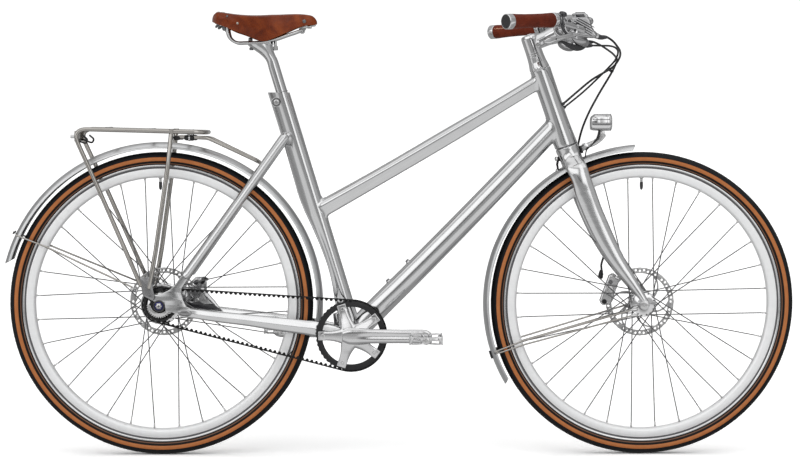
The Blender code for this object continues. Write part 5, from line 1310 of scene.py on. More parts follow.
def make_drive():
    inner, c1 = loop_points(0.0814, 0.0394)
    outer, _ = loop_points(0.0836, 0.0416)
    pieces = [plate("belt_band", [outer, inner], 0.0110, -0.0480, bevel=0.0003)]
    rim_out, _ = loop_points(0.0818, 0.0398)
    rim_in, _ = loop_points(0.0794, 0.0374)
    pieces.append(plate("belt_lip", [rim_out[:c1 + 1] + rim_in[:c1 + 1][::-1]], 0.0009, -0.0431, bevel=0.0001))
    # teeth on the two free runs, 11 mm apart, on the inner side
    runs = [(V(inner[c1]), V(inner[c1 + 1])), (V(inner[-1]), V(inner[0]))]
    centre_y = -0.0480
    for a, b in runs:
        d = (b - a).normalized()
        n = V((-d.y, d.x))
        mid = (V((REAR.x, REAR.z)) + V((BB.x, BB.z))) / 2
        if n.dot(mid - a) < 0:
            n = -n
        count = int((b - a).length / 0.011)
        slack = ((b - a).length - (count - 1) * 0.011) / 2
        for i in range(count):
            c = a + d * (slack + 0.011 * i)
            if min((c - a).length, (c - b).length) < 0.004:
                continue
            prof = [(-0.0043, -0.0004), (-0.0037, 0.0010), (-0.0029, 0.0028), (-0.0016, 0.0042), (0.0, 0.0046), (0.0016, 0.0042), (0.0029, 0.0028),
                    (0.0037, 0.0010), (0.0043, -0.0004)]
            rows = []
            for y in (-0.0052, -0.0049, 0.0049, 0.0052):
                k = 0.94 if abs(y) > 0.005 else 1.0
                rows.append([V((c.x + d.x * s * k + n.x * h * k, centre_y + y, c.y + d.y * s * k + n.y * h * k)) for s, h in prof])
            pieces.append(grid("tooth", rows, angle=50.0))
    put(join("belt_toothed", pieces), "frame", "belt", stands=("drive_belt",), slot="belt_rubber")

    def toothed(name, centre, r, teeth, r_in, thick, y, depth=0.0024, phase=0.0):
        pts = []
        for i in range(teeth):
            a = TAU * i / teeth + phase
            for off, rr in ((-0.36, r - depth), (-0.22, r - depth * 0.15), (-0.12, r), (0.12, r), (0.22, r - depth * 0.15), (0.36, r - depth)):
                t = a + off * TAU / teeth
                pts.append((centre.x + rr * math.cos(t), centre.z + rr * math.sin(t)))
        return plate(name, [pts, circle(centre.x, centre.z, r_in, 96)], thick, y, bevel=0.0003, res=1)

    ring_a = toothed("chainring_teeth", BB, 0.0812, 46, 0.0690, 0.0080, -0.0480, 0.0014)
    flange = lathe("ring_flange", [(0.0668, -0.0519), (0.0760, -0.0519), (0.0768, -0.0510), (0.0768, -0.0450), (0.0760, -0.0441), (0.0668, -0.0441)], BB, Y, 144, r=0.0006)
    put(join("chainring_black", [ring_a, flange]), "crank", "black", stands=("chainring",), slot="black_metal")

    cog = toothed("sprocket_teeth", REAR, 0.0390, 22, 0.0325, 0.0080, -0.0480, 0.0012)
    web_holes = [circle(REAR.x + 0.0312 * math.cos(TAU * i / 26), REAR.z + 0.0312 * math.sin(TAU * i / 26), 0.0014, 12) for i in range(26)]
    web = plate("sprocket_web", [circle(REAR.x, REAR.z, 0.0330, 72), circle(REAR.x, REAR.z, 0.0100, 40)] + web_holes, 0.0026, -0.0490, bevel=0.0003, res=1)
    neck = lathe("sprocket_neck", [(0.0068, -0.0510), (0.0190, -0.0510), (0.0190, -0.0416), (0.0068, -0.0416)], REAR, Y, 60, r=0.0006)
    light = lathe("sprocket_lock", [(0.0186, -0.0550), (0.0232, -0.0550), (0.0284, -0.0524), (0.0286, -0.0508), (0.0186, -0.0506)], REAR, Y, 96, r=0.0004)
    cog_j = join("rear_sprocket_black", [paint(cog, "black"), paint(web, "black"), paint(neck, "black"), paint(light, "polish")])
    put(cog_j, "rear_sprocket", stands=("rear_sprocket",), slot="black_metal")

    spindle = lathe("crank_spindle", [(0.0, -0.0540), (0.0084, -0.0540), (0.0084, 0.0535), (0.0, 0.0535)], BB, Y, 48, closed=False, r=0.0005)
    put(spindle, "crank", "steel", stands=("crank_axle",), slot="bright_steel")

    # right crank: forged spider and arm in one
    def blade(points, sizes, power=2.6, sides=36):
        rows = []
        for (p, a, b) in zip(points, *zip(*[(s[0], s[1]) for s in sizes])):
            rows.append(ring(p, a, b, sides, power))
        return grid("blade", rows)

    solids = []
    for i in range(5):
        t = rad(36 + 72 * i)
        out = V((math.cos(t), 0, math.sin(t)))
        side = V((-math.sin(t), 0, math.cos(t)))
        table = [(0.000, -0.0600, 0.0215, 0.0058), (0.018, -0.0598, 0.0185, 0.0056), (0.030, -0.0585, 0.0146, 0.0050), (0.044, -0.0568, 0.0114, 0.0040),
                 (0.058, -0.0558, 0.0103, 0.0030), (0.0735, -0.0553, 0.0094, 0.0026)]
        rows = []
        for s, y, w, h in spline([(a, 0, 0, b, c, d) for a, b, c, d in table], 20) and \
                [(q[0], q[3], q[4], q[5]) for q in spline([(a, 0, 0, b, c, d) for a, b, c, d in table], 20)]:
            rows.append(ring(BB + out * s + Y * y, side * w, Y * h, 32, 3.2))
        solids.append(grid("arm", rows))
    def crank_arm(sign, forward):
        table = [(-0.020, 0.0612, 0.0120, 0.0060), (-0.008, 0.0615, 0.0178, 0.0072), (0.010, 0.0618, 0.0190, 0.0074), (0.035, 0.0630, 0.0172, 0.0068),
                 (0.070, 0.0655, 0.0164, 0.0064), (0.120, 0.0700, 0.0158, 0.0062), (0.155, 0.0722, 0.0160, 0.0062), (0.172, 0.0730, 0.0150, 0.0060),
                 (0.181, 0.0730, 0.0110, 0.0056), (0.1855, 0.0730, 0.0050, 0.0050)]
        rows = []
        for q in spline([(a, 0, 0, b, c, d) for a, b, c, d in table], 48):
            along, y, h, w = q[0], q[3], q[4], q[5]
            pts = []
            for k in range(44):
                t = TAU * k / 44
                c, s = math.cos(t), math.sin(t)
                dz = h * math.copysign(abs(s) ** (2 / 3.6), s)
                dy = w * math.copysign(abs(c) ** (2 / 2.6), c)
                # a shallow flute along the outer face
                if c > 0 and 0.012 < along < 0.165:
                    dy -= 0.0012 * math.exp(-((dz - 0.0005) / (h * 0.30)) ** 2) * min(1, (along - 0.012) / 0.03) * min(1, (0.165 - along) / 0.03)
                pts.append(V((BB.x + forward * along, sign * (y + dy), BB.z + dz)))
            rows.append(pts)
        return grid("crank_blade", rows)
    pads = []
    for i in range(5):
        t = rad(36 + 72 * i)
        c = BB + V((math.cos(t), 0, math.sin(t))) * 0.0668
        pads.append(box("pad", (0.0185, 0.0046, 0.0212), c + Y * -0.0556, Matrix.Rotation(-t, 3, "Y"), 0.0012, 3))
    forged = melt("crank_right_forging", solids + [crank_arm(-1, 1)] + pads, 0.0008, 5)
    end = BB + X * 0.170
    pin = lathe("pedal_spindle", [(0.0, 0.0660), (0.0078, 0.0660), (0.0078, 0.0820), (0.0055, 0.0830), (0.0055, 0.1640), (0.0, 0.1640)], (end.x, 0, end.z), -Y, 36, closed=False, r=0.0006)
    bolts = [paint(screw("ring_bolt", BB + V((math.cos(rad(36 + 72 * i)), 0, math.sin(rad(36 + 72 * i)))) * 0.065 + Y * -0.0578, -Y, 0.0046, 0.0014, 0.0026, 0.0012), "steel")
             for i in range(5)]
    put(join("crank_right", [paint(forged, "forged"), paint(pin, "steel")] + bolts), "crank", stands=("crank_arm_right",), slot="polished_aluminium")

    left = melt("crank_left_forging", [crank_arm(1, -1), lathe("eye", [(0.0, 0.0540), (0.0150, 0.0540), (0.0150, 0.0660), (0.0, 0.0660)], BB, Y, 60, closed=False, r=0.002)], 0.0009, 5)
    back = BB - X * 0.170
    pin = lathe("pedal_spindle", [(0.0, 0.0660), (0.0078, 0.0660), (0.0078, 0.0820), (0.0055, 0.0830), (0.0055, 0.1640), (0.0, 0.1640)], (back.x, 0, back.z), Y, 36, closed=False, r=0.0006)
    cap = screw("crank_bolt", BB + Y * 0.0655, Y, 0.0085, 0.0022, 0.0045, 0.0018)
    put(join("crank_left", [paint(left, "forged"), paint(pin, "steel"), paint(cap, "steel")]), "crank", stands=("crank_arm_left",), slot="polished_aluminium")

    for side, sign, at, body in (("right", -1, end, "pedal_right"), ("left", 1, back, "pedal_left")):
        make_pedal("pedal_" + side, body, sign, at)


def make_pedal(name, body, sign, at):
    """A polished cage: two toothed side plates on end ribs, round a centre barrel."""
    ya, yb = 0.0818, 0.1716
    solids, bright = [], []
    barrel = lathe("barrel", [(0.0066, ya), (0.0100, ya), (0.0105, ya + 0.004), (0.0085, ya + 0.012), (0.0082, yb - 0.014), (0.0095, yb - 0.004), (0.0090, yb), (0.0066, yb)],
                   (at.x, 0, at.z), (0, sign, 0), 48, r=0.0008)
    solids.append(barrel)
    for y, half in ((ya + 0.0035, 0.034), (yb - 0.0035, 0.034)):
        out = rounded([(at.x - half - 0.003, at.z + 0.0070), (at.x - half + 0.004, at.z + 0.0096), (at.x - 0.0100, at.z + 0.0080), (at.x + 0.0100, at.z + 0.0080),
                       (at.x + half - 0.004, at.z + 0.0096), (at.x + half + 0.003, at.z + 0.0070),
                       (at.x + half + 0.003, at.z - 0.0070), (at.x + half - 0.004, at.z - 0.0096), (at.x + 0.0100, at.z - 0.0080), (at.x - 0.0100, at.z - 0.0080),
                       (at.x - half + 0.004, at.z - 0.0096), (at.x - half - 0.003, at.z - 0.0070)], 0.002, True, 3)
        holes = [circle(at.x, at.z, 0.0072, 28), rounded([(at.x + 0.0130, at.z + 0.0045), (at.x + 0.0290, at.z + 0.0055), (at.x + 0.0290, at.z - 0.0055), (at.x + 0.0130, at.z - 0.0045)], 0.002),
                 rounded([(at.x - 0.0130, at.z - 0.0045), (at.x - 0.0290, at.z - 0.0055), (at.x - 0.0290, at.z + 0.0055), (at.x - 0.0130, at.z + 0.0045)], 0.002)]
        solids.append(plate("end_plate", [out] + holes, 0.0050, sign * y, bevel=0.0008))
    for dx in (-1, 1):
        # long side rails with a row of rounded teeth on top and below
        rail = []
        pts_top, count = [], 9
        for k in range(count * 8 + 1):
            y = ya + 0.004 + (yb - ya - 0.008) * k / (count * 8)
            wave = 0.5 - 0.5 * math.cos(TAU * k / 8)
            pts_top.append((sign * y, at.z + 0.0078 + 0.0024 * wave))
        pts_low = [(y, 2 * at.z - z) for y, z in reversed(pts_top)]
        slots = []
        for k in range(3):
            c = sign * (ya + 0.020 + 0.025 * k)
            slots.append(rounded([(c - 0.0085, at.z - 0.0040), (c + 0.0085, at.z - 0.0040), (c + 0.0085, at.z + 0.0040), (c - 0.0085, at.z + 0.0040)], 0.003))
        mat = Matrix.Translation((at.x + dx * 0.0362, 0, 0)) @ Matrix(((0, 0, 1, 0), (1, 0, 0, 0), (0, 1, 0, 0), (0, 0, 0, 1)))
        rail = plate("rail", [pts_top + pts_low] + slots, 0.0028, 0.0, bevel=0.0005, flat=mat)
        solids.append(rail)
    cap = screw("pedal_cap", V((at.x, sign * yb, at.z)), (0, sign, 0), 0.0072, 0.0008, 0.003, 0.0006)
    put(join(name + "_cage", [paint(s, "polish") for s in solids] + [paint(cap, "steel")]), body, stands=(name,), slot="polished_aluminium")


# ================================================================ fork and steering
def drawn(u, v, y=0.0):
    """A point of the side drawing (u to the right, v down, 430.2 units a metre, seen from 5 m
    off) at depth y."""
    k = (5.0 + y) / 5.0
    return V(((375.0 + (u - 375.0) * k - 161.9) / 430.2, y, AXLE_Z + (302.7 - 115.0 - (v - 115.0) * k) / 430.2))


def axis_point(s):
    return HEAD + DIR * s


def ellipsoid(name, centre, a, b, c, steps=40, rows=24, power=2.0):
    """A smooth rounded lump on three half-axes."""
    out = []
    for j in range(rows + 1):
        t = math.pi * j / rows - math.pi / 2
        k = max(0.001, math.cos(t)) ** (2 / power)
        out.append(ring(V(centre) + V(c) * math.copysign(abs(math.sin(t)) ** (2 / power), math.sin(t)), V(a) * k, V(b) * k, steps, power))
    return grid(name, out, angle=60.0)


def make_fork():
    base = -0.0937
    stations = []
    for s, y, fore, wide, ahead in ((-0.0006, 0.0, 0.0276, 0.0276, -0.0006), (-0.0080, 0.0, 0.0274, 0.0274, -0.0004), (-0.0160, 0.0008, 0.0268, 0.0268, 0.0), (-0.0235, 0.0050, 0.0261, 0.0250, 0.0),
                                    (-0.0300, 0.0125, 0.0254, 0.0218, 0.0003), (-0.0370, 0.0230, 0.0250, 0.0178, 0.0008), (-0.0440, 0.0330, 0.0247, 0.0146, 0.0014)):
        stations.append((axis_point(base + s) + Y * y + FWD * ahead, FWD * fore, Y * wide))
    legs = (((566.5, 172.0), (586.6, 165.5), 0.0405, 0.0124), ((571.0, 181.5), (590.0, 175.5), 0.0440, 0.0122), ((574.8, 195.5), (594.6, 188.5), 0.0445, 0.0116),
            ((581.0, 211.3), (600.6, 205.5), 0.0440, 0.0112), ((588.2, 227.3), (607.2, 221.0), 0.0440, 0.0108), ((596.0, 242.5), (613.5, 235.3), 0.0445, 0.0104),
            ((604.3, 256.0), (620.2, 249.5), 0.0455, 0.0098), ((613.3, 268.3), (627.3, 263.0), 0.0470, 0.0090), ((622.7, 279.5), (634.4, 275.0), 0.0490, 0.0080),
            ((631.5, 289.5), (640.6, 286.0), 0.0515, 0.0068), ((638.6, 298.0), (646.0, 296.0), 0.0545, 0.0056), ((641.0, 301.5), (648.5, 300.5), 0.0555, 0.0050))
    for low, high, y, wide in legs:
        a, b = drawn(*low, -y), drawn(*high, -y)
        mid, half = (a + b) / 2, (b - a) / 2
        stations.append((V((mid.x, y, mid.z)), V((half.x, 0, half.z)), Y * wide))
    rows = []
    for q in spline([(*c, *a, *b) for c, a, b in stations], 110):
        rows.append(ring(q[0:3], q[3:6], q[6:9], 56, 2.15))
    other = [[V((p.x, -p.y, p.z)) for p in reversed(r)] for r in rows]
    blades = [grid("fork_blade", rows, angle=60.0), grid("fork_blade", other, angle=60.0)]
    crown = melt("crown", blades, 0.0009, 20, 0.65)
    soft = bmesh.new()
    soft.from_mesh(crown.data)
    top = [v for v in soft.verts if -0.1560 < (v.co - HEAD).dot(DIR) < base - 0.0100]
    for _ in range(40):
        bmesh.ops.smooth_vert(soft, verts=top, factor=0.5, use_axis_x=True, use_axis_y=True, use_axis_z=True)
    soft.to_mesh(crown.data)
    soft.free()
    crown = boolean(crown, lathe("trim", [(0.0, base - 0.0006), (0.05, base - 0.0006), (0.05, base + 0.03), (0.0, base + 0.03)], HEAD, DIR, 48, closed=False))
    crown.data.shade_smooth()
    flat_uv(crown)
    parts = [crown, lathe("steerer", [(0.0, -0.110), (0.0143, -0.110), (0.0143, 0.1610), (0.0, 0.1610)], HEAD, DIR, 48, closed=False)]
    for sign in (-1, 1):
        parts.append(lathe("tip", [(0.0064, 0.0500), (0.0104, 0.0500), (0.0114, 0.0520), (0.0116, 0.0590), (0.0108, 0.0605), (0.0064, 0.0605)],
                           FRONT, (0, sign, 0), 64, r=0.0006))
    put(join("fork_skin", parts), "steering", "frame", stands=("fork",), slot="frame_aluminium")

    axle = lathe("axle", [(0.0, -0.0600), (0.0062, -0.0600), (0.0062, 0.0600), (0.0, 0.0600)], FRONT, Y, 40, closed=False)
    ends = [axle]
    for sign in (-1, 1):
        ends.append(screw("axle_end", FRONT + Y * (sign * 0.0598), (0, sign, 0), 0.0094, 0.0024, 0.0042, 0.0018, 48))
    put(join("front_axle_bar", ends), "steering", "steel", stands=("front_axle",), slot="bright_steel")

    # small screws: behind the crown for the fender, and at the brake hose's guide
    bolts = [screw("crown_bolt", drawn(556.0, 158.5, -0.0150), V((-0.95, -0.25, 0)), 0.0048, 0.0040, 0.0026),
             screw("fender_bolt", drawn(556.5, 170.4, -0.0080), V((-0.95, -0.25, 0)), 0.0042, 0.0030, 0.0022),
             screw("tip_screw", drawn(639.6, 301.2, -0.0590), -Y, 0.0017, 0.0007, 0.0009), screw("tip_screw", drawn(640.9, 299.2, -0.0590), -Y, 0.0015, 0.0006, 0.0008)]
    put(join("fork_screws", bolts), "steering", "steel", slot="bright_steel")
    hanger = [pipe("hanger", [drawn(557.5, 158.5, 0), drawn(556.4, 164.0, 0), drawn(557.5, 170.4, 0), drawn(563.5, 170.0, 0)], 0.0028, oval=(1.0, 2.6), sides=20),
              pipe("lug", [drawn(562.0, 158.8, 0), drawn(556.6, 158.5, 0)], 0.0050, sides=28)]
    put(join("fender_hanger", hanger), "steering", "black", slot="black_metal")


def make_stem():
    t = 0.0950
    post = lathe("post", [(0.0, t + 0.0004), (0.0232, t + 0.0004), (0.0237, t + 0.0014), (0.0231, t + 0.0060), (0.0210, t + 0.0180), (0.0200, t + 0.0300),
                          (0.0196, t + 0.0420), (0.0194, t + 0.0760), (0.0180, t + 0.0812), (0.0130, t + 0.0836), (0.0, t + 0.0840)], HEAD - FWD * 0.0016, DIR, 96, closed=False, r=0.0006)
    clamp = V((0.9250, 0, 0.9850))
    start = axis_point(t + 0.0600)
    arm = pipe("arm", [start, start.lerp(clamp, 0.45), clamp], [0.0165, 0.0142, 0.0160], sides=48, oval=(1.0, 1.06))
    barrel = lathe("barrel", [(0.0, -0.0215), (0.0165, -0.0215), (0.0181, -0.0195), (0.0181, 0.0195), (0.0165, 0.0215), (0.0, 0.0215)], clamp, Y, 72, closed=False, r=0.0008)
    ears = [pipe("ear", [axis_point(t + h) + FWD * 0.0100 - Y * 0.0100, axis_point(t + h) + FWD * 0.0105 - Y * 0.0172], [0.0074, 0.0066], sides=28) for h in (0.0560,)]
    body = melt("stem_skin", [post, arm, barrel] + ears, 0.0008, 5)
    put(body, "steering", "polish", stands=("stem",), slot="polished_aluminium")
    bolts = [screw("pinch_bolt", axis_point(t + 0.0560) + FWD * 0.0105 - Y * 0.0168, -Y, 0.0054, 0.0026, 0.0028),
             screw("grub", axis_point(t + 0.0330) + FWD * 0.0062 - Y * 0.0150, (0.35, -1, 0.1), 0.0026, 0.0016, 0.0014),
             screw("grub", axis_point(t + 0.0235) + FWD * 0.0075 - Y * 0.0160, (0.35, -1, 0.1), 0.0026, 0.0016, 0.0014),
             screw("top_cap", axis_point(t + 0.0832), DIR, 0.0070, 0.0020, 0.0032)]
    for dy in (-0.0135, 0.0135):
        for h in (-0.0105, 0.0105):
            bolts.append(screw("face_bolt", clamp + V((0.0165, dy, h)) , (1, 0, 0.02), 0.0040, 0.0030, 0.0022))
    put(join("stem_bolts", bolts), "steering", "steel", slot="bright_steel")
    # joint line of the clamp and three fine ribs round the post
    lines = []
    for h in (0.0305, 0.0355, 0.0405):
        pts = [axis_point(t + h) + (FWD * math.cos(a) + Y * math.sin(a)) * 0.0199 - FWD * 0.0014 for a in [rad(-175 + 5 * k) for k in range(21)]]
        lines.append(pipe("rib", pts, 0.00055, sides=10, dome=True))
    put(join("stem_ribs", lines), "steering", "polish", slot="polished_aluminium")
    gap = [axis_point(t + h) + (FWD * math.sin(a) - Y * math.cos(a)) * r for h, a, r in
           ((0.0800, 0.10, 0.0172), (0.0650, 0.14, 0.0184), (0.0480, 0.20, 0.0185), (0.0350, 0.28, 0.0188), (0.0260, 0.34, 0.0193), (0.0170, 0.36, 0.0203))]
    put(pipe("stem_clamp_gap", curve_points(gap, 0.003), 0.0006, sides=10, dome=True), "steering", "gloss", slot="black_metal")


BAR_HALF = [(0.9250, 0.0, 0.9850), (0.9253, 0.030, 0.9850), (0.9300, 0.070, 0.9860), (0.9370, 0.115, 0.9900), (0.9365, 0.150, 0.9965)]
GRIP_IN = V((0.9040, 0.200, 0.9980))
GRIP_OUT = V((0.7790, 0.300, 0.9900))
GRIP_DIR = (GRIP_OUT - GRIP_IN).normalized()


def make_bar():
    half = [V(p) for p in BAR_HALF] + [GRIP_IN + GRIP_DIR * t for t in (-0.034, -0.020, 0.0, 0.070)] + [GRIP_OUT - GRIP_DIR * 0.006]
    route = [V((p.x, -p.y, p.z)) for p in reversed(half[1:])] + half
    put(pipe("handlebar_tube", curve_points(route, 0.006), 0.0111, sides=40), "steering", "polish", stands=("handlebar",), slot="polished_aluminium")
    size = (GRIP_OUT - GRIP_IN).length
    for side, sign in (("right", -1), ("left", 1)):
        at = V((GRIP_IN.x, sign * GRIP_IN.y, GRIP_IN.z))
        way = V((GRIP_DIR.x, sign * GRIP_DIR.y, GRIP_DIR.z))
        hide = [(0.0118, 0.0232), (0.0158, 0.0232), (0.0166, 0.0250), (0.0166, 0.0285), (0.0160, 0.0370), (0.0154, 0.0520), (0.0151, 0.0800), (0.0153, 0.1050),
                (0.0160, 0.1300), (0.0167, 0.1410), (0.0163, 0.1446), (0.0118, 0.1446)]
        sleeve = lathe("sleeve", hide, at, way, 96, r=0.0008, wobble=lambda i, t, r, h: (r + (0.00018 * noise.noise(V((h * 60, math.cos(t), math.sin(t)))) if r > 0.013 else 0), h))
        inboard = V((0, -sign, 0)) - way * (-sign * way.y)
        inboard.normalize()
        up = way.cross(inboard)
        if up.z < 0:
            up = -up
        stitches = []
        for k in range(26):
            h = 0.0270 + 0.0044 * k
            r = 0.01535 + 0.0012 * abs((h - 0.083) / 0.058) ** 2.4
            n = inboard * math.cos(rad(24)) + up * math.sin(rad(24))
            tilt = way * 0.0013 + up * (0.0009 if k % 2 else -0.0009)
            c = at + way * h + n * r
            stitches.append(pipe("stitch", [c - tilt - n * 0.0003, c + n * 0.0005, c + tilt - n * 0.0003], 0.00075, sides=8, dome=True))
        put(join("grip_" + side + "_hide", [paint(sleeve, "grip")] + [paint(q, "thread") for q in stitches]), "steering", stands=("grip_" + side,), slot="grip_leather")
        outer = lathe("outer", [(0.0118, 0.1448), (0.0158, 0.1448), (0.0169, 0.1456), (0.0169, size - 0.0012), (0.0158, size), (0.0148, size), (0.0146, size - 0.0022), (0.0118, size - 0.0022)],
                      at, way, 72, r=0.0003)
        inner = lathe("inner", [(0.0113, 0.0120), (0.0158, 0.0120), (0.0167, 0.0128), (0.0167, 0.0222), (0.0160, 0.0230), (0.0118, 0.0230)], at, way, 72, r=0.0003)
        put(join("grip_rings_" + side, [outer, inner]), "steering", "polish", slot="polished_aluminium")
        plug = lathe("plug", [(0.0, size - 0.0004), (0.0110, size - 0.0006), (0.0140, size - 0.0014), (0.0147, size - 0.0026), (0.0100, size - 0.0040), (0.0, size - 0.0040)], at, way, 64, closed=False, r=0.0003)
        dark = lathe("dark", [(0.0112, 0.0098), (0.0152, 0.0098), (0.0154, 0.0118), (0.0112, 0.0118)], at, way, 64, r=0.0003)
        put(join("grip_plugs_" + side, [plug, dark]), "steering", "plastic", slot="black_plastic")


def swept(name, points, sizes, sides=32, power=2.6, steps=40):
    """A blade lofted along points, with (height, width) half-sizes."""
    rows = []
    table = spline([(*p, *q) for p, q in zip(points, sizes)], steps)
    for i, q in enumerate(table):
        a, b = V(table[max(i - 1, 0)][:3]), V(table[min(i + 1, steps)][:3])
        along = (b - a).normalized()
        across = along.cross(Z).normalized()
        up = across.cross(along).normalized()
        rows.append(ring(q[:3], up * q[3], across * q[4], sides, power))
    return grid(name, rows, angle=50.0)


def make_controls():
    way = V((GRIP_DIR.x, -GRIP_DIR.y, GRIP_DIR.z))
    at = V((GRIP_IN.x, -GRIP_IN.y, GRIP_IN.z)) + way * 0.002
    start, end = V((0.9350, -0.1930, 0.9850)), V((0.9880, -0.1680, 0.9650))
    run = (end - start).normalized()
    for side, sign in (("right", -1), ("left", 1)):
        near = sign < 0
        band = lathe("band", [(0.0112, -0.0066), (0.0150, -0.0066), (0.0161, -0.0056), (0.0161, 0.0056), (0.0150, 0.0066), (0.0112, 0.0066)], at, way, 72, r=0.0005)
        barrel = pipe("barrel", [start + run * 0.0100, start + run * 0.022, start + run * 0.040, end - run * 0.006, end], [0.0098, 0.0112, 0.0104, 0.0086, 0.0066], sides=40, dome=True)
        neck = pipe("neck", [at + V((0.010, -0.004, -0.008)), start + run * 0.016], [0.0075, 0.0085], sides=32)
        hinge = pipe("hinge", [drawn(563.5, 33.5, -0.1780), drawn(572.3, 32.7, -0.1900)], [0.0078, 0.0092], sides=36, dome=True)
        belly = ellipsoid("belly", drawn(579.0, 41.0, -0.1740), run * 0.0235, V((0, 1, 0)) * 0.0130, run.cross(Y).normalized() * 0.0125)
        solids = [band, barrel, neck, hinge, belly]
        block = [drawn(u, v, -0.191) for u, v in ((566.0, 20.0), (569.5, 17.6), (586.0, 17.6), (589.0, 20.0), (590.5, 26.5), (593.0, 31.0), (596.0, 35.6), (593.0, 38.4), (584.0, 37.8), (575.0, 36.5), (568.5, 33.5), (565.5, 27.5))]
        if not near:
            block = [drawn(u, v, -0.191) for u, v in ((567.0, 25.0), (571.0, 23.2), (582.0, 24.0), (590.0, 27.0), (593.0, 31.0), (596.0, 35.6), (593.0, 38.4), (584.0, 37.8), (575.0, 36.5), (568.5, 33.5))]
        solids.append(plate("block", [[(q.x, q.z) for q in block]], 0.0280, -0.1770, bevel=0.0040, r=0.003, res=4))
        if near:
            top = [drawn(u, v, -0.184) for u, v in ((571.2, 19.0), (571.6, 14.0), (575.0, 13.2), (584.0, 13.4), (586.5, 15.4), (588.0, 19.5))]
            solids.append(plate("pod", [[(q.x, q.z) for q in top]], 0.0300, -0.1690, bevel=0.0030, r=0.002, res=4))
            knob = pipe("knob", [drawn(585.0, 21.5, -0.1720), drawn(588.4, 21.8, -0.1740)], [0.0104, 0.0092], sides=36, dome=True)
            solids.append(knob)
        body = melt("lever_body_" + side + "_skin", solids, 0.0007, 4)
        dark, bright = [], []
        # machined grooves run down the face of the body, drawn as black wires whose dark is painted shade
        front_y = -0.1914
        for k in range(5):
            u0, v0 = 569.5 + 1.9 * k, 24.4 - 1.35 * k
            run_u = 20.5 - 1.2 * k
            if not near and v0 < 23.6:
                continue
            dark.append(pipe("groove", [drawn(u0, v0, front_y), drawn(u0 + run_u * 0.5, v0 + run_u * 0.27, front_y), drawn(u0 + run_u, v0 + run_u * 0.56, front_y + 0.0004)],
                             [0.0011, 0.0013, 0.0008], sides=12, dome=True))
        dark.append(screw("pivot_hex", drawn(573.8, 30.8, -0.1975), -Y, 0.0034, 0.0014, 0.0020, 0.0008))
        bright.append(lathe("pivot_disc", [(0.0, 0.0), (0.0098, 0.0), (0.0100, 0.0014), (0.0082, 0.0034), (0.0, 0.0036)], drawn(572.3, 32.4, -0.1935), -Y, 56, closed=False, r=0.0004))
        bright.append(pipe("clamp_strap", curve_points([drawn(561.6, 16.5, -0.2070), drawn(565.3, 19.6, -0.2060), drawn(565.6, 23.5, -0.2050), drawn(563.6, 27.0, -0.2050),
                                                        drawn(565.0, 31.2, -0.2010), drawn(569.5, 34.6, -0.1950)], 0.002), 0.0036, sides=24, dome=True, oval=(1.0, 0.7)))
        bright.append(lathe("outlet", [(0.0, 0.0), (0.0062, 0.0), (0.0068, 0.0012), (0.0068, 0.0060), (0.0058, 0.0082), (0.0, 0.0082)], end - run * 0.0020, run, 40, closed=False, r=0.0006))
        dark.append(ellipsoid("clamp_eye", drawn(568.0, 22.3, -0.1960), V((0.0036, 0, 0.0030)), V((-0.0016, 0, 0.0050)), V((0, 0.0030, 0))))
        dark.append(ellipsoid("clamp_top", drawn(561.6, 14.9, -0.2040), V((0.0088, 0, -0.0020)), V((0, 0.0095, 0)), V((0.0012, 0, 0.0064)), power=2.6))
        dark.append(pipe("clamp_side", curve_points([drawn(559.6, 16.5, -0.2130), drawn(561.0, 21.5, -0.2140), drawn(560.8, 26.5, -0.2130), drawn(562.6, 31.0, -0.2060), drawn(567.0, 35.2, -0.1980)], 0.002), 0.0030, sides=18, dome=True))
        boot = pipe("boot", [end + run * 0.0050, end + run * 0.0110, end + run * 0.0135 + X * 0.0040, end + V((0.0250, 0.0100, -0.0035))], [0.0062, 0.0058, 0.0050, 0.0036], sides=28, dome=True)
        dark.append(boot)
        if near:
            tilt = Matrix.Rotation(rad(24), 3, "Y")
            glass = [drawn(u, v, -0.1842) for u, v in ((573.8, 15.2), (582.4, 14.6), (584.6, 19.4), (576.2, 19.9))]
            dark.append(plate("window", [[(q.x, q.z) for q in glass]], 0.0016, -0.1844, bevel=0.0004, r=0.0012))
            dark.append(box("window_top", (0.0210, 0.0200, 0.0012), drawn(578.6, 13.3, -0.1700), None, 0.0005, 3))
            dark.append(pipe("cable_boot", [drawn(582.0, 45.3, -0.1400), drawn(586.0, 45.6, -0.1390), drawn(590.0, 45.9, -0.1380)], [0.0050, 0.0060, 0.0040], sides=28, dome=True))
        black = join("lever_trim_" + side, dark)
        silver = join("lever_fittings_" + side, bright)
        if not near:
            for o in (body, black, silver):
                o.data.transform(Matrix.Scale(-1, 4, Y))
                o.data.flip_normals()
            block = box("block", (0.0140, 0.0160, 0.0105), drawn(548.9, 33.0, 0.1650), Matrix.Rotation(rad(35), 3, "Y"), 0.0020, 3)
            black = join("lever_trim_left", [black, block])
        put(body, "steering", "cast", stands=("lever_body_" + side,), slot="polished_aluminium")
        put(black, "steering", "gloss", slot="black_metal")
        put(silver, "steering", "polish", slot="polished_aluminium")

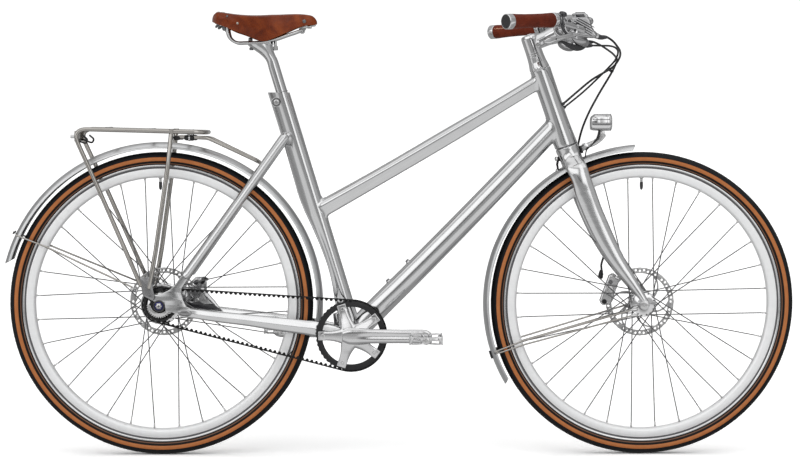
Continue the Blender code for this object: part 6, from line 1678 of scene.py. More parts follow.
        # brake blade
        pts = [(0.9440, -0.1800, 0.9670), (0.9330, -0.1925, 0.9655), (0.9160, -0.2090, 0.9610), (0.8940, -0.2285, 0.9545), (0.8760, -0.2430, 0.9500), (0.8655, -0.2510, 0.9480)]
        blade = swept("blade", pts, [(0.0042, 0.0046), (0.0062, 0.0050), (0.0052, 0.0050), (0.0064, 0.0045), (0.0074, 0.0042), (0.0030, 0.0030)])
        pin = lathe("blade_pin", [(0.0, -0.0052), (0.0032, -0.0052), (0.0036, -0.0046), (0.0036, 0.0050), (0.0, 0.0050)], (0.9400, -0.1850, 0.9670), Z, 32, closed=False, r=0.0004)
        dot = screw("reach_screw", V((0.8940, -0.2331, 0.9548)), V((-0.60, -0.80, 0)), 0.0028, 0.0012, 0.0016, 0.0008)
        lever = join("blade", [paint(blade, "polish"), paint(pin, "dark_steel"), paint(dot, "dark_steel")])
        if not near:
            lever.data.transform(Matrix.Scale(-1, 4, Y))
            lever.data.flip_normals()
        lever.name = "brake_blade_" + side
        put(lever, "brake_lever_" + side, stands=("brake_lever_" + side,), slot="polished_aluminium")

    thumb = swept("thumb", [drawn(585.5, 44.6, -0.1560), drawn(580.5, 47.4, -0.1680), drawn(574.0, 47.9, -0.1800), drawn(567.0, 45.4, -0.1880), drawn(560.0, 42.0, -0.1930), drawn(553.0, 41.2, -0.1950)],
                  [(0.0040, 0.0034), (0.0066, 0.0036), (0.0072, 0.0036), (0.0050, 0.0034), (0.0026, 0.0030), (0.0010, 0.0012)], power=2.3)
    put(thumb, "shift_lever", "plastic", stands=("shift_lever",), slot="black_plastic")


# ================================================================ fenders and rack
def fender_skin(name, hub, r_out, start, end, slant_start, slant_end, steps, depth=0.0150, lift=(0.0, 0.0)):
    """Thin sheet, arched across, rolled at both edges and bent round the wheel; its ends are cut
    on the slant."""
    half, thick = 0.0260, 0.0012
    section = []
    for k in range(33):
        f = rad(-90 + 180 * k / 32)
        section.append((half * math.copysign(abs(math.sin(f)) ** 1.0, math.sin(f)), 0.0003 + (depth - 0.0010) * (1 - abs(math.cos(f)) ** 1.05)))
    outer = [(-half - 0.0002, depth)] + section + [(half + 0.0002, depth)]
    inner = [(half - 0.0013, depth + 0.0002)] + [(y * (half - thick) / half, d + thick * 0.98) for y, d in reversed(section[2:-2])] + [(-half + 0.0013, depth + 0.0002)]
    loop = outer + inner
    rows = []
    for i in range(steps + 1):
        t = i / steps
        row = []
        rise = min(1.0, max(0.0, (t - 0.22) / 0.38))
        off = lift[0] * max(0.0, 1 - t / 0.15) ** 2 + lift[1] * rise * rise * (3 - 2 * rise)
        for y, d in loop:
            a = start + (end - start) * t + slant_start * d / depth * (1 - t) ** 10 + slant_end * d / depth * t ** 10
            row.append(polar(hub, r_out + off - d, a, y))
        rows.append(row)
    return grid(name, rows, angle=45.0)


def clip(name, at, along, out, size=(0.010, 0.006, 0.008)):
    """A small folded clip that grips the end of a stay."""
    along, out = V(along).normalized(), V(out).normalized()
    side = along.cross(out)
    rot = Matrix((along, side, out)).transposed()
    return box(name, size, at, rot, 0.0012, 3)


def bent(points, r, step=0.006):
    """A wire route: straight runs joined by bends of radius about r."""
    pts = [V(p) for p in points]
    out = [pts[0]]
    for a, b, c in zip(pts, pts[1:], pts[2:]):
        e1, e2 = a - b, c - b
        ang = e1.angle(e2)
        d = min(r / math.tan(ang / 2), e1.length * 0.48, e2.length * 0.48)
        p1, p2 = b + e1.normalized() * d, b + e2.normalized() * d
        n = max(3, int(d * 2 / step))
        out += [p1 * (1 - t) ** 2 + b * 2 * t * (1 - t) + p2 * t * t for t in [k / n for k in range(n + 1)]]
    out.append(pts[-1])
    clean = [out[0]]
    for p in out[1:]:
        if (p - clean[-1]).length > 1e-4:
            clean.append(p)
    return clean


def make_fenders():
    put(fender_skin("rear_fender_sheet", REAR, 0.3745, -7.5, 165.7, 0.6, -2.4, 260), "frame", "fender", stands=("rear_fender",), slot="fender_aluminium")
    put(fender_skin("front_fender_sheet", FRONT, 0.3670, 92.7, 210.8, 1.3, -1.6, 200, 0.0134, (0.0018, 0.0028)), "steering", "fender", stands=("front_fender",), slot="fender_aluminium")

    # the rear stay: one wire, both ends turned round the dropout screws, its middle over the sheet
    eye, knee, tip = drawn(132.0, 286.5, -0.0775), drawn(47.2, 246.4, -0.0300), drawn(17.0, 234.6, -0.0245)
    route = bent([V((p.x, -p.y, p.z)) for p in (eye, knee, tip)], 0.03)
    wire = join("wire", [pipe("wire", [V((p.x, sign * p.y, p.z)) for p in route], 0.0021, sides=16, dome=True) for sign in (-1, 1)])
    clips = []
    for sign in (-1, 1):
        clips.append(paint(clip("clip", V((knee.x, sign * -knee.y, knee.z)), (tip - knee), (0, sign, 0), (0.0090, 0.0050, 0.0046)), "rack"))
        clips.append(paint(screw("clip_screw", drawn(15.2, 232.2, -0.0100) * 1.0 if sign < 0 else V((drawn(15.2, 232.2, -0.0100).x, 0.0100, drawn(15.2, 232.2, -0.0100).z)), V((-0.82, 0, 0.42)), 0.0036, 0.0030), "black"))
        clips.append(paint(pipe("eye", [V((-0.0620, sign * 0.0775, 0.3905)), V((-0.0500, sign * 0.0775, 0.3868))], [0.0030, 0.0038], sides=16, dome=True), "steel"))
        clips.append(paint(screw("stay_screw", V((-0.0545, sign * 0.0790, 0.3880)), (0, sign, 0), 0.0040, 0.0026), "dark_steel"))
    put(join("rear_stay_wire", [paint(wire, "rack")] + clips), "frame", stands=("rear_fender_stay",), slot="rack_steel")

    pieces = []
    for sign in (-1, 1):
        high = [V((1.0850, sign * 0.0655, 0.3400)), polar(FRONT, 0.2900, 196.8, sign * 0.0440), polar(FRONT, 0.3620, 198.0, sign * 0.0290)]
        pieces.append(paint(pipe("wire", bent(high, 0.03), 0.0021, sides=16, dome=True), "rack"))
    for sign in (-1, 1):
        low = [V((1.0850, sign * 0.0655, 0.3270)), polar(FRONT, 0.2900, 198.6, sign * 0.0440), polar(FRONT, 0.3500, 198.8, sign * 0.0330)]
        pieces.append(paint(pipe("wire", bent(low, 0.03), 0.0020, sides=16, dome=True), "rack"))
        radial = V((math.cos(rad(198.4)), 0, math.sin(rad(198.4))))
        pieces.append(paint(clip("clip", polar(FRONT, 0.3560, 198.4, sign * 0.0300), radial, (0, sign, 0), (0.0120, 0.0070, 0.0050)), "rack"))
        for r in (0.3510, 0.3610):
            pieces.append(paint(screw("clip_screw", polar(FRONT, r, 198.4, sign * 0.0325), (0, sign, 0), 0.0026, 0.0018), "dark_steel"))
        for z in (0.3400, 0.3270):
            pieces.append(paint(pipe("eye", [V((1.0830, sign * 0.0655, z)), V((1.0960, sign * 0.0640, z + 0.0010))], [0.0028, 0.0036], sides=16, dome=True), "steel"))
    radial = V((math.cos(rad(199.0)), 0, math.sin(rad(199.0))))
    pieces.append(paint(clip("stay_cap", polar(FRONT, 0.3712, 199.0, 0), V((-radial.z, 0, radial.x)), radial, (0.0180, 0.0130, 0.0044)), "black"))
    put(join("front_stay_wires", pieces), "steering", stands=("front_fender_stays",), slot="rack_steel")


def make_rack():
    half = [V((-0.0409, 0.0775, 0.3990)), V((-0.1350, 0.0670, 0.6150)), V((-0.1945, 0.0600, 0.7460)), V((-0.1800, 0.0600, 0.7566)), V((0.1075, 0.0600, 0.7478)), V((0.1075, 0.0, 0.7478))]
    route = bent([half[0], half[1], V((-0.1985, 0.0600, 0.7560)), half[4]], 0.024)
    route = route[:-1] + bent([route[-2], half[4], V((half[4].x, 0.0, half[4].z))], 0.030)[1:]
    route = route + [V((p.x, -p.y, p.z)) for p in reversed(route[:-1])]
    tubes = [paint(pipe("rail", route, 0.0050, sides=28, dome=True), "rack")]
    small = []
    for sign in (-1, 1):
        leg = [V((0.0295, sign * 0.0600, 0.7500)), V((0.0212, sign * 0.0640, 0.6700)), V((-0.0068, sign * 0.0728, 0.4760)), V((-0.0216, sign * 0.0775, 0.3930))]
        tubes.append(paint(pipe("leg", bent(leg, 0.10), 0.0053, sides=24, dome=True), "rack"))
        # ear: the strut's flattened end; its darker colour is painted shade, where a shadow falls on it
        ear = [drawn(u, v, -0.0790) for u, v in ((139.6, 277.0), (150.4, 276.2), (153.6, 292.0), (154.4, 297.0), (152.6, 300.4), (142.6, 294.8))]
        tubes.append(paint(plate("ear", [[(q.x, q.z) for q in ear]], 0.0028, sign * 0.0790, bevel=0.0005, r=0.002), "dark_alloy_and_shade"))
        small.append(paint(screw("ear_screw", V((-0.0200, sign * 0.0789, 0.3745)), (0, sign, 0), 0.0030, 0.0020), "dark_steel"))
        # studs for the luggage strap under the rail, and a hook beside each
        small.append(paint(pipe("stud", [V((0.0300, sign * 0.0600, 0.7560)), V((0.0300, sign * 0.0600, 0.7440))], [0.0062, 0.0062], sides=24), "rack"))
        small.append(paint(pipe("hook", curve_points([V((-0.1860, sign * 0.0560, 0.7300)), V((-0.1780, sign * 0.0555, 0.7265)), V((-0.1660, sign * 0.0555, 0.7240)), V((-0.1630, sign * 0.0555, 0.7300)),
                                                     V((-0.1720, sign * 0.0555, 0.7400))], 0.003), 0.0021, sides=14, dome=True), "black"))
    for x, z in ((-0.120, 0.7567), (-0.020, 0.7537), (0.070, 0.7507)):
        tubes.append(paint(pipe("cross", [V((x, -0.0600, z)), V((x, 0.0600, z))], 0.0035, sides=20), "rack"))
    panel = box("lamp_plate", (0.0030, 0.1220, 0.0240), (-0.1905, 0, 0.7390), None, 0.0010, 3)
    tubes.append(paint(panel, "rack"))
    for y in (-0.0250, 0.0250):
        small.append(paint(screw("plate_screw", V((-0.1920, y, 0.7390)), -X, 0.0042, 0.0028), "dark_steel"))
    small.append(paint(pipe("side_bolt", [V((-0.2010, -0.0560, 0.7385)), V((-0.1900, -0.0560, 0.7385))], [0.0048, 0.0048], sides=6), "steel"))
    put(join("rack_tubes", tubes + small), "frame", stands=("rack",), slot="rack_steel")

    brace = [V((0.0420, 0.0480, 0.7375)), V((0.1120, 0.0480, 0.7345)), V((0.2200, 0.0300, 0.6830)), V((0.2276, 0.0200, 0.6783)), V((0.2276, 0.0, 0.6783))]
    route = brace + [V((p.x, -p.y, p.z)) for p in reversed(brace[:-1])]
    parts = [paint(pipe("brace", bent(route, 0.03), 0.0038, sides=22, dome=True), "rack")]
    for sign in (-1, 1):
        c = drawn(190.0, 137.8, -0.0480)
        parts.append(paint(pipe("clamp", [V((c.x - 0.0070, sign * 0.0480, c.z + 0.0010)), V((c.x + 0.0070, sign * 0.0480, c.z))], [0.0064, 0.0064], sides=32, dome=True), "black"))
        parts.append(paint(pipe("clamp_band", [V((c.x - 0.0018, sign * 0.0480, c.z)), V((c.x + 0.0018, sign * 0.0480, c.z))], [0.0070, 0.0070], sides=32), "steel"))
        parts.append(paint(pipe("link", [V((c.x, sign * 0.0480, c.z + 0.004)), V((c.x - 0.002, sign * 0.0560, 0.7500))], 0.0034, sides=20, dome=True), "steel"))
        d = drawn(177.6, 137.6, -0.0480)
        parts.append(paint(pipe("end_cap", [V((d.x - 0.0040, sign * 0.0480, d.z)), V((d.x + 0.0040, sign * 0.0480, d.z))], [0.0054, 0.0054], sides=24, dome=True), "black"))
    put(join("rack_brace_wire", parts), "frame", stands=("rack_brace",), slot="rack_steel")


# ================================================================ saddle and post
SADDLE_PIVOT = V((0.2360, 0, 0.9415))


def make_saddle():
    low = SEAT_TOP - SEAT_DIR * 0.100
    across = V((SEAT_DIR.z, 0, -SEAT_DIR.x))
    stations = [(low, across * 0.0131, Y * 0.0131), (SEAT_TOP - SEAT_DIR * 0.020, across * 0.0131, Y * 0.0131), (SEAT_TOP + SEAT_DIR * 0.016, across * 0.0131, Y * 0.0131),
                (SEAT_TOP + SEAT_DIR * 0.036, across * 0.0131, Y * 0.0131), (SEAT_TOP + SEAT_DIR * 0.0565, across * 0.0131, Y * 0.0131)]
    for left_px, right_px, wide in (((266.0, 60.0), (277.8, 59.4), 0.0138),
                                    ((260.5, 54.4), (275.6, 55.0), 0.0152), ((255.0, 50.6), (274.2, 51.4), 0.0172), ((250.0, 47.0), (273.4, 47.6), 0.0188), ((247.2, 44.2), (272.8, 44.4), 0.0195)):
        a, b = drawn(*left_px), drawn(*right_px)
        stations.append(((a + b) / 2, (b - a) / 2, Y * wide))
    rows = [ring(q[0:3], q[3:6], q[6:9], 56, 2.15) for q in spline([(*c, *a, *b) for c, a, b in stations], 70)]
    post = grid("post", rows, angle=40.0)
    collar = lathe("collar", [(0.0132, 0.0), (0.0148, 0.0), (0.0150, 0.0004), (0.0148, 0.0010), (0.0132, 0.0012)], SEAT_TOP + SEAT_DIR * 0.0002, SEAT_DIR, 72, r=0.0003)
    put(post, "seatpost", "frame", stands=("seatpost",), slot="frame_aluminium")
    put(collar, "frame", "dark_steel", slot="bright_steel")

    # rails, clamp and its bolts
    rail = [V((p.x, -p.y, p.z - 0.0012)) for p in (drawn(227.4, 25.5, -0.0420), drawn(228.2, 32.0, -0.0370), drawn(230.6, 38.0, -0.0290), drawn(236.5, 42.2, -0.0230), drawn(247.0, 42.6, -0.0215), drawn(262.0, 42.0, -0.0215),
                                           drawn(274.0, 39.6, -0.0210), drawn(288.0, 35.0, -0.0180), drawn(299.0, 31.4, -0.0130), drawn(304.5, 29.0, -0.0060), drawn(305.0, 28.8, 0.0))]
    route = rail + [V((p.x, -p.y, p.z)) for p in reversed(rail[:-1])]
    parts = [paint(pipe("rail", curve_points(route, 0.004), 0.0036, sides=20, dome=True), "steel")]
    for name, spots, thick, y, m in (("saddle_clamp", ((247.4, 44.0), (248.4, 42.0), (258.0, 42.6), (264.8, 41.6), (266.6, 44.2)), 0.0440, 0.0, "forged"),
                                     ("clamp_jaw", ((265.4, 44.4), (266.4, 41.4), (270.6, 40.9), (272.6, 42.0), (273.6, 45.4)), 0.0460, 0.0, "polish"),
                                     ("clamp_back", ((249.0, 41.8), (249.4, 38.4), (252.4, 38.2), (253.0, 41.8)), 0.0200, 0.0, "dark_alloy_and_shade")):
        ring_ = [drawn(u, v) for u, v in spots]
        parts.append(paint(plate(name, [[(q.x, q.z) for q in ring_]], thick, y, bevel=0.0010, r=0.0012), m))
    parts.append(paint(pipe("clamp_pin", [drawn(272.2, 43.2, -0.0240), drawn(272.2, 43.2, 0.0240)], 0.0030, sides=24), "black"))
    parts.append(paint(pipe("clamp_bolt", [drawn(252.0, 38.0), drawn(252.0, 48.6)], [0.0030, 0.0030], sides=16), "dark_steel"))
    parts.append(paint(pipe("clamp_head", [drawn(252.0, 48.2), drawn(252.0, 50.6)], [0.0048, 0.0044], sides=24), "dark_steel"))
    parts.append(paint(pipe("clamp_bolt", [drawn(275.6, 41.0), drawn(275.9, 48.6)], [0.0034, 0.0034], sides=20), "steel"))
    parts.append(paint(pipe("clamp_head", [drawn(275.9, 46.8), drawn(276.2, 50.8)], [0.0056, 0.0052], sides=24), "steel"))
    # round tension nut under the nose
    nut = drawn(302.4, 31.4, -0.0120)
    parts.append(paint(lathe("tension_nut", [(0.0, -0.012), (0.0066, -0.012), (0.0070, 0.0), (0.0058, 0.0016), (0.0040, 0.0006), (0.0, 0.0006)], nut, -Y, 40, closed=False, r=0.0003), "steel"))
    # the nut's hole is a dark ring: painted shade in the hole
    parts.append(paint(lathe("tension_hole", [(0.0040, 0.0010), (0.0048, 0.0016), (0.0040, 0.0022)], nut, -Y, 32, r=0.0), "dark_steel"))
    # nose casting and the tension bolt, rear cantle plate with two bag loops
    parts.append(paint(box("nose_casting", (0.0220, 0.0240, 0.0090), V((0.3300, 0, 0.9905)), Matrix.Rotation(rad(-14), 3, "Y"), 0.0030, 4), "steel"))
    parts.append(paint(pipe("tension_bolt", [V((0.3240, 0, 0.9890)), V((0.3560, 0, 0.9945))], [0.0030, 0.0030], sides=20, dome=True), "steel"))
    parts.append(paint(box("tab", (0.0100, 0.0050, 0.0080), V((0.3440, -0.0085, 0.9900)), None, 0.0016, 3), "steel"))
    cantle = []
    for k in range(25):
        f = rad(-78 + 156 * k / 24)
        cantle.append(V((0.1660 - 0.0330 * math.cos(f), 0.0800 * math.sin(f), 0.9975 + 0.0020 * math.cos(f))))
    parts.append(paint(pipe("cantle", cantle, 0.0052, sides=20, oval=(0.55, 1.0), dome=True), "dark_steel"))
    for sign in (-1, 1):
        loop = curve_points([V((0.1400, sign * 0.0560, 0.9990)), V((0.1330, sign * 0.0570, 0.9900)), V((0.1270, sign * 0.0480, 0.9840)), V((0.1270, sign * 0.0330, 0.9850)), V((0.1330, sign * 0.0260, 0.9920)), V((0.1400, sign * 0.0270, 1.0000))], 0.003)
        loop = [p + V((0.0055, 0, 0.0055)) for p in loop]
        parts.append(paint(pipe("bag_loop", loop, 0.0026, sides=18, dome=True), "dark_steel"))
        parts.append(paint(box("bag_loop_foot", (0.0120, 0.0440, 0.0040), V((0.1390, sign * 0.0415, 0.9960)), None, 0.0014, 3), "steel"))
        parts.append(paint(pipe("rail_foot", [V((0.1500, sign * 0.0425, 0.9960)), V((0.1500, sign * 0.0420, 0.9840))], [0.0060, 0.0048], sides=20, dome=True), "dark_steel"))
    put(join("saddle_rails_and_clamp", parts), "saddle", stands=("saddle_rails",), slot="bright_steel")

    # hide: stations (x, top, half width, skirt, how far the skirt tucks in)
    table = [(0.1212, 1.0080, 0.0260, 1.0015, 0.00), (0.1240, 1.0140, 0.0460, 0.9992, 0.00), (0.1290, 1.0200, 0.0640, 0.9970, 0.02), (0.1375, 1.0236, 0.0790, 0.9934, 0.04),
             (0.1560, 1.0216, 0.0868, 0.9868, 0.06), (0.1720, 1.0196, 0.0868, 0.9795, 0.07), (0.1900, 1.0182, 0.0795, 0.9735, 0.08), (0.2050, 1.0178, 0.0690, 0.9675, 0.08),
             (0.2200, 1.0180, 0.0560, 0.9615, 0.08), (0.2330, 1.0184, 0.0460, 0.9572, 0.07), (0.2420, 1.0188, 0.0402, 0.9568, 0.06), (0.2560, 1.0194, 0.0346, 0.9612, 0.05),
             (0.2720, 1.0194, 0.0306, 0.9680, 0.04), (0.2950, 1.0200, 0.0262, 0.9785, 0.02), (0.3200, 1.0202, 0.0232, 0.9890, 0.00), (0.3380, 1.0186, 0.0214, 0.9932, 0.00),
             (0.3500, 1.0160, 0.0188, 0.9945, 0.00), (0.3580, 1.0090, 0.0140, 0.9955, 0.00), (0.3612, 1.0030, 0.0080, 0.9975, 0.00)]
    rows_out, rows_in = [], []
    smooth = spline([(x, t, w, k, q) for x, t, w, k, q in table], 120)
    across = []
    for k in range(49):
        f = k / 48 * 2 - 1
        g = abs(f)
        # arc over the crown, then down the flap
        if g < 0.62:
            a = g / 0.62
            y = 0.93 * math.sin(a * rad(78)) / math.sin(rad(78))
            d = 0.115 * (1 - math.cos(a * rad(78))) / (1 - math.cos(rad(78)))
        else:
            a = (g - 0.62) / 0.38
            y = 0.93 + 0.07 * math.sin(min(1.0, a * 1.7) * math.pi / 2)
            d = 0.115 + 0.885 * a ** 1.12
        across.append((math.copysign(y, f), d, a if g >= 0.62 else 0.0))
    for x, t, w, k, q in smooth:
        drop = t - k
        out, inn = [], []
        for y, d, low in across:
            tuck = 1.0 - q * low * low
            yy, zz = w * y * tuck, t - drop * d
            sag = 0.0020 * math.exp(-((y) / 0.45) ** 2) * math.exp(-((x - 0.215) / 0.055) ** 2)
            out.append(V((x, yy, zz - sag)))
            s = 0.0046
            inn.append(V((x + (0.0030 if x < 0.13 else (-0.0030 if x > 0.352 else 0.0)), yy * (1 - min(0.5, s * 0.95 / max(w, 0.012))) if abs(y) > 0.9 else yy * (1 - 0.02), zz - sag - (s if d < 0.12 else s * max(0.0, 1 - (d - 0.12) * 3.2)))))
        rows_out.append(out)
        rows_in.append(inn)
    loops = []
    for out, inn in zip(rows_out, rows_in):
        loops.append(out + inn[::-1])
    n_out = len(across)
    hide = grid("hide", loops, angle=50.0, zones=lambda i, j: 1 if i in (n_out - 1, 2 * n_out - 1) else 0)
    paint(hide, "saddle", "saddle_edge")
    rivets = []
    surface = tree_of(hide)
    spots = [((239.2, 24.5), "copper", 0.0030), ((229.1, 17.6), "dark_steel", 0.0026), ((304.2, 21.4), "dark_steel", 0.0046)]
    for (u, v), m, r in spots:
        p0 = drawn(u, v, -0.050)
        for sign in (-1, 1):
            hit, normal, _, _ = surface.ray_cast(V((p0.x, sign * 0.2, p0.z)), V((0, -sign, 0)), 0.3)
            if hit is not None:
                if normal.y * sign < 0:
                    normal = -normal
                rivets.append(paint(lathe("rivet", [(0.0, 0.0013), (r * 0.55, 0.0011), (r * 0.9, 0.0005), (r, -0.0003), (r, -0.0012), (0.0, -0.0012)], hit, normal, 32, closed=False, r=0.0002), m))
    for k in range(5):
        f = rad(-62 + 31 * k)
        base_p = V((0.1660 - 0.0360 * math.cos(f), 0.0700 * math.sin(f), 1.08))
        hit, normal, _, _ = surface.ray_cast(base_p, -Z, 0.2)
        if hit is not None:
            if normal.z < 0:
                normal = -normal
            rivets.append(paint(lathe("rivet", [(0.0, 0.0013), (0.0028, 0.0010), (0.0042, 0.0003), (0.0044, -0.0008), (0.0, -0.0008)], hit, normal, 32, closed=False, r=0.0002), "copper"))
    put(join("saddle_hide", [hide] + rivets), "saddle", stands=("saddle_leather",), slot="saddle_leather")


# ================================================================ brakes, lamp and hoses
def make_brakes():
    def caliper(name, body, centre, rot, size, stand, out):
        """A block round the rotor, melted with its piston boss and two lugs; the slot is cut afterwards."""
        cx, cy, cz = centre
        local = lambda a, b, c: V(centre) + rot @ V((a, b, c))
        half = size[2] / 2
        solids = [box("core", (size[0], size[1], size[2]), centre, rot, 0.0040, 4),
                  pipe("piston_boss", [local(-0.001, -out * 0.2, 0.0), local(-0.001, out, 0.0)], [0.0130, 0.0118], sides=40),
                  pipe("lug", [local(-0.003, -size[1] * 0.4, half - 0.004), local(-0.003, size[1] * 0.4, half - 0.004)], [0.0092, 0.0092], sides=32),
                  pipe("lug", [local(-0.003, -size[1] * 0.4, -half + 0.004), local(-0.003, size[1] * 0.4, -half + 0.004)], [0.0092, 0.0092], sides=32)]
        forged = melt(name, solids, 0.0008, 5)
        return forged, local, half
    turn = Matrix.Rotation(rad(20), 3, "Y")
    centre = V((1.0440, 0.0350, 0.3790))
    body, local, half = caliper("front_caliper_skin", "steering", centre, turn, (0.028, 0.0175, 0.068), "front_caliper", 0.0100)
    slot_ = box("slot", (0.034, 0.0032, 0.20), centre + turn @ V((0.012, -0.0005, 0)), turn, 0.0)
    body = boolean(body, slot_)
    shade(body, 50.0)
    flat_uv(body)
    pieces = [paint(body, "forged")]
    pieces.append(paint(screw("mount_bolt", local(-0.0030, -0.0082, half - 0.0040), -Y, 0.0052, 0.0030), "steel"))
    pieces.append(paint(screw("mount_bolt", local(-0.0030, -0.0082, -half + 0.0040), -Y, 0.0058, 0.0036), "black"))
    pieces.append(paint(lathe("piston_cap", [(0.0, 0.0), (0.0098, 0.0), (0.0102, 0.0010), (0.0086, 0.0022), (0.0, 0.0024)], local(-0.001, -0.0100, 0.0), -Y, 48, closed=False, r=0.0004), "steel"))
    pieces.append(paint(lathe("bleed", [(0.0, 0.0), (0.0050, 0.0), (0.0050, 0.0016), (0.0, 0.0018)], local(-0.0050, -0.0088, 0.0180), -Y, 36, closed=False, r=0.0003), "dark_steel"))
    pieces.append(paint(pipe("banjo", [V((1.0230, 0.0380, 0.4090)), V((1.0240, 0.0400, 0.4160)), V((1.0250, 0.0415, 0.4220))], [0.0062, 0.0054, 0.0044], sides=28, dome=True), "black"))
    put(join("front_caliper_body", pieces), "steering", stands=("front_caliper",), slot="polished_aluminium")

    turn = Matrix.Rotation(0.0, 3, "Y")
    centre = V((0.0800, 0.0510, 0.3765))
    body, local, half = caliper("rear_caliper_skin", "frame", centre, turn, (0.024, 0.0200, 0.050), "rear_caliper", 0.0112)
    slot_ = box("slot", (0.030, 0.0032, 0.20), (0.0690, 0.0520, 0.3765), None, 0.0)
    body = boolean(body, slot_)
    shade(body, 50.0)
    flat_uv(body)
    pieces = [paint(body, "forged")]
    pieces.append(paint(lathe("piston_cap", [(0.0, 0.0), (0.0094, 0.0), (0.0098, 0.0010), (0.0084, 0.0022), (0.0, 0.0024)], local(-0.001, -0.0112, 0.0), -Y, 48, closed=False, r=0.0004), "dark_steel"))
    pieces.append(paint(screw("mount_bolt", local(-0.0030, -0.0094, half - 0.0040), -Y, 0.0056, 0.0032), "black"))
    pieces.append(paint(screw("mount_bolt", local(-0.0030, -0.0094, -half + 0.0040), -Y, 0.0056, 0.0032), "steel"))
    near = 0.0380
    ring_at = drawn(196.0, 282.0, near)
    pieces.append(paint(lathe("boss_ring", [(0.0050, -0.006), (0.0094, -0.006), (0.0098, 0.0014), (0.0088, 0.0026), (0.0062, 0.0022), (0.0050, 0.0006)], ring_at, -Y, 48, r=0.0003), "polish"))
    # the hole is a black disc: painted shade inside it
    pieces.append(paint(lathe("boss_hole", [(0.0, 0.0006), (0.0056, 0.0006), (0.0056, -0.004), (0.0, -0.004)], ring_at, -Y, 36, closed=False), "gloss"))
    piston = drawn(195.0, 292.5, near)
    pieces.append(paint(lathe("piston_ring", [(0.0, -0.008), (0.0122, -0.008), (0.0126, 0.0004), (0.0116, 0.0016), (0.0096, 0.0010), (0.0, 0.0010)], piston, -Y, 56, closed=False, r=0.0003), "dark_alloy_and_shade"))
    pieces.append(paint(lathe("piston_face", [(0.0, 0.0020), (0.0052, 0.0020), (0.0064, 0.0012), (0.0, 0.0008)], piston, -Y, 40, closed=False, r=0.0003), "dark_steel"))
    flank = [drawn(u, v, 0.044) for u, v in ((185.6, 289.0), (190.0, 285.0), (203.0, 286.0), (207.5, 292.5), (214.5, 300.5), (220.5, 308.6), (203.0, 307.0), (188.5, 305.6), (184.8, 300.6))]
    pieces.append(paint(plate("flank", [[(q.x, q.z) for q in flank]], 0.0130, 0.0460, bevel=0.0016, r=0.002), "forged"))
    for k in range(3):
        pieces.append(paint(pipe("rib", [drawn(203.5 + 3.0 * k, 293.0 + 3.2 * k, 0.0392), drawn(207.5 + 3.6 * k, 299.5 + 2.6 * k, 0.0392)], [0.0012, 0.0010], sides=12, dome=True), "dark_steel"))
    wedge = [drawn(u, v, 0.036) for u, v in ((185.2, 301.0), (191.0, 302.6), (199.0, 300.6), (204.0, 303.6), (212.5, 303.0), (221.0, 309.3), (200.0, 308.4), (187.0, 306.8))]
    pieces.append(paint(plate("wedge", [[(q.x, q.z) for q in wedge]], 0.0040, 0.0372, bevel=0.0008, r=0.001), "gloss"))
    arm = plate("mount", [[(0.0560, 0.3920), (0.0740, 0.4080), (0.0960, 0.4080), (0.0990, 0.3950), (0.0990, 0.3560), (0.0920, 0.3420), (0.0700, 0.3400), (0.0600, 0.3500), (0.0680, 0.3640), (0.0680, 0.3820)],
                         circle(0.0800, 0.3980, 0.0072, 32)], 0.0050, 0.0640, bevel=0.0008, r=0.003)
    pieces.append(paint(arm, "forged"))
    pieces.append(paint(pipe("banjo", [V((0.0900, 0.0420, 0.3970)), V((0.0960, 0.0400, 0.4060)), V((0.1020, 0.0380, 0.4040))], [0.0056, 0.0050, 0.0036], sides=28, dome=True), "black"))
    put(join("rear_caliper_body", pieces), "frame", stands=("rear_caliper",), slot="polished_aluminium")


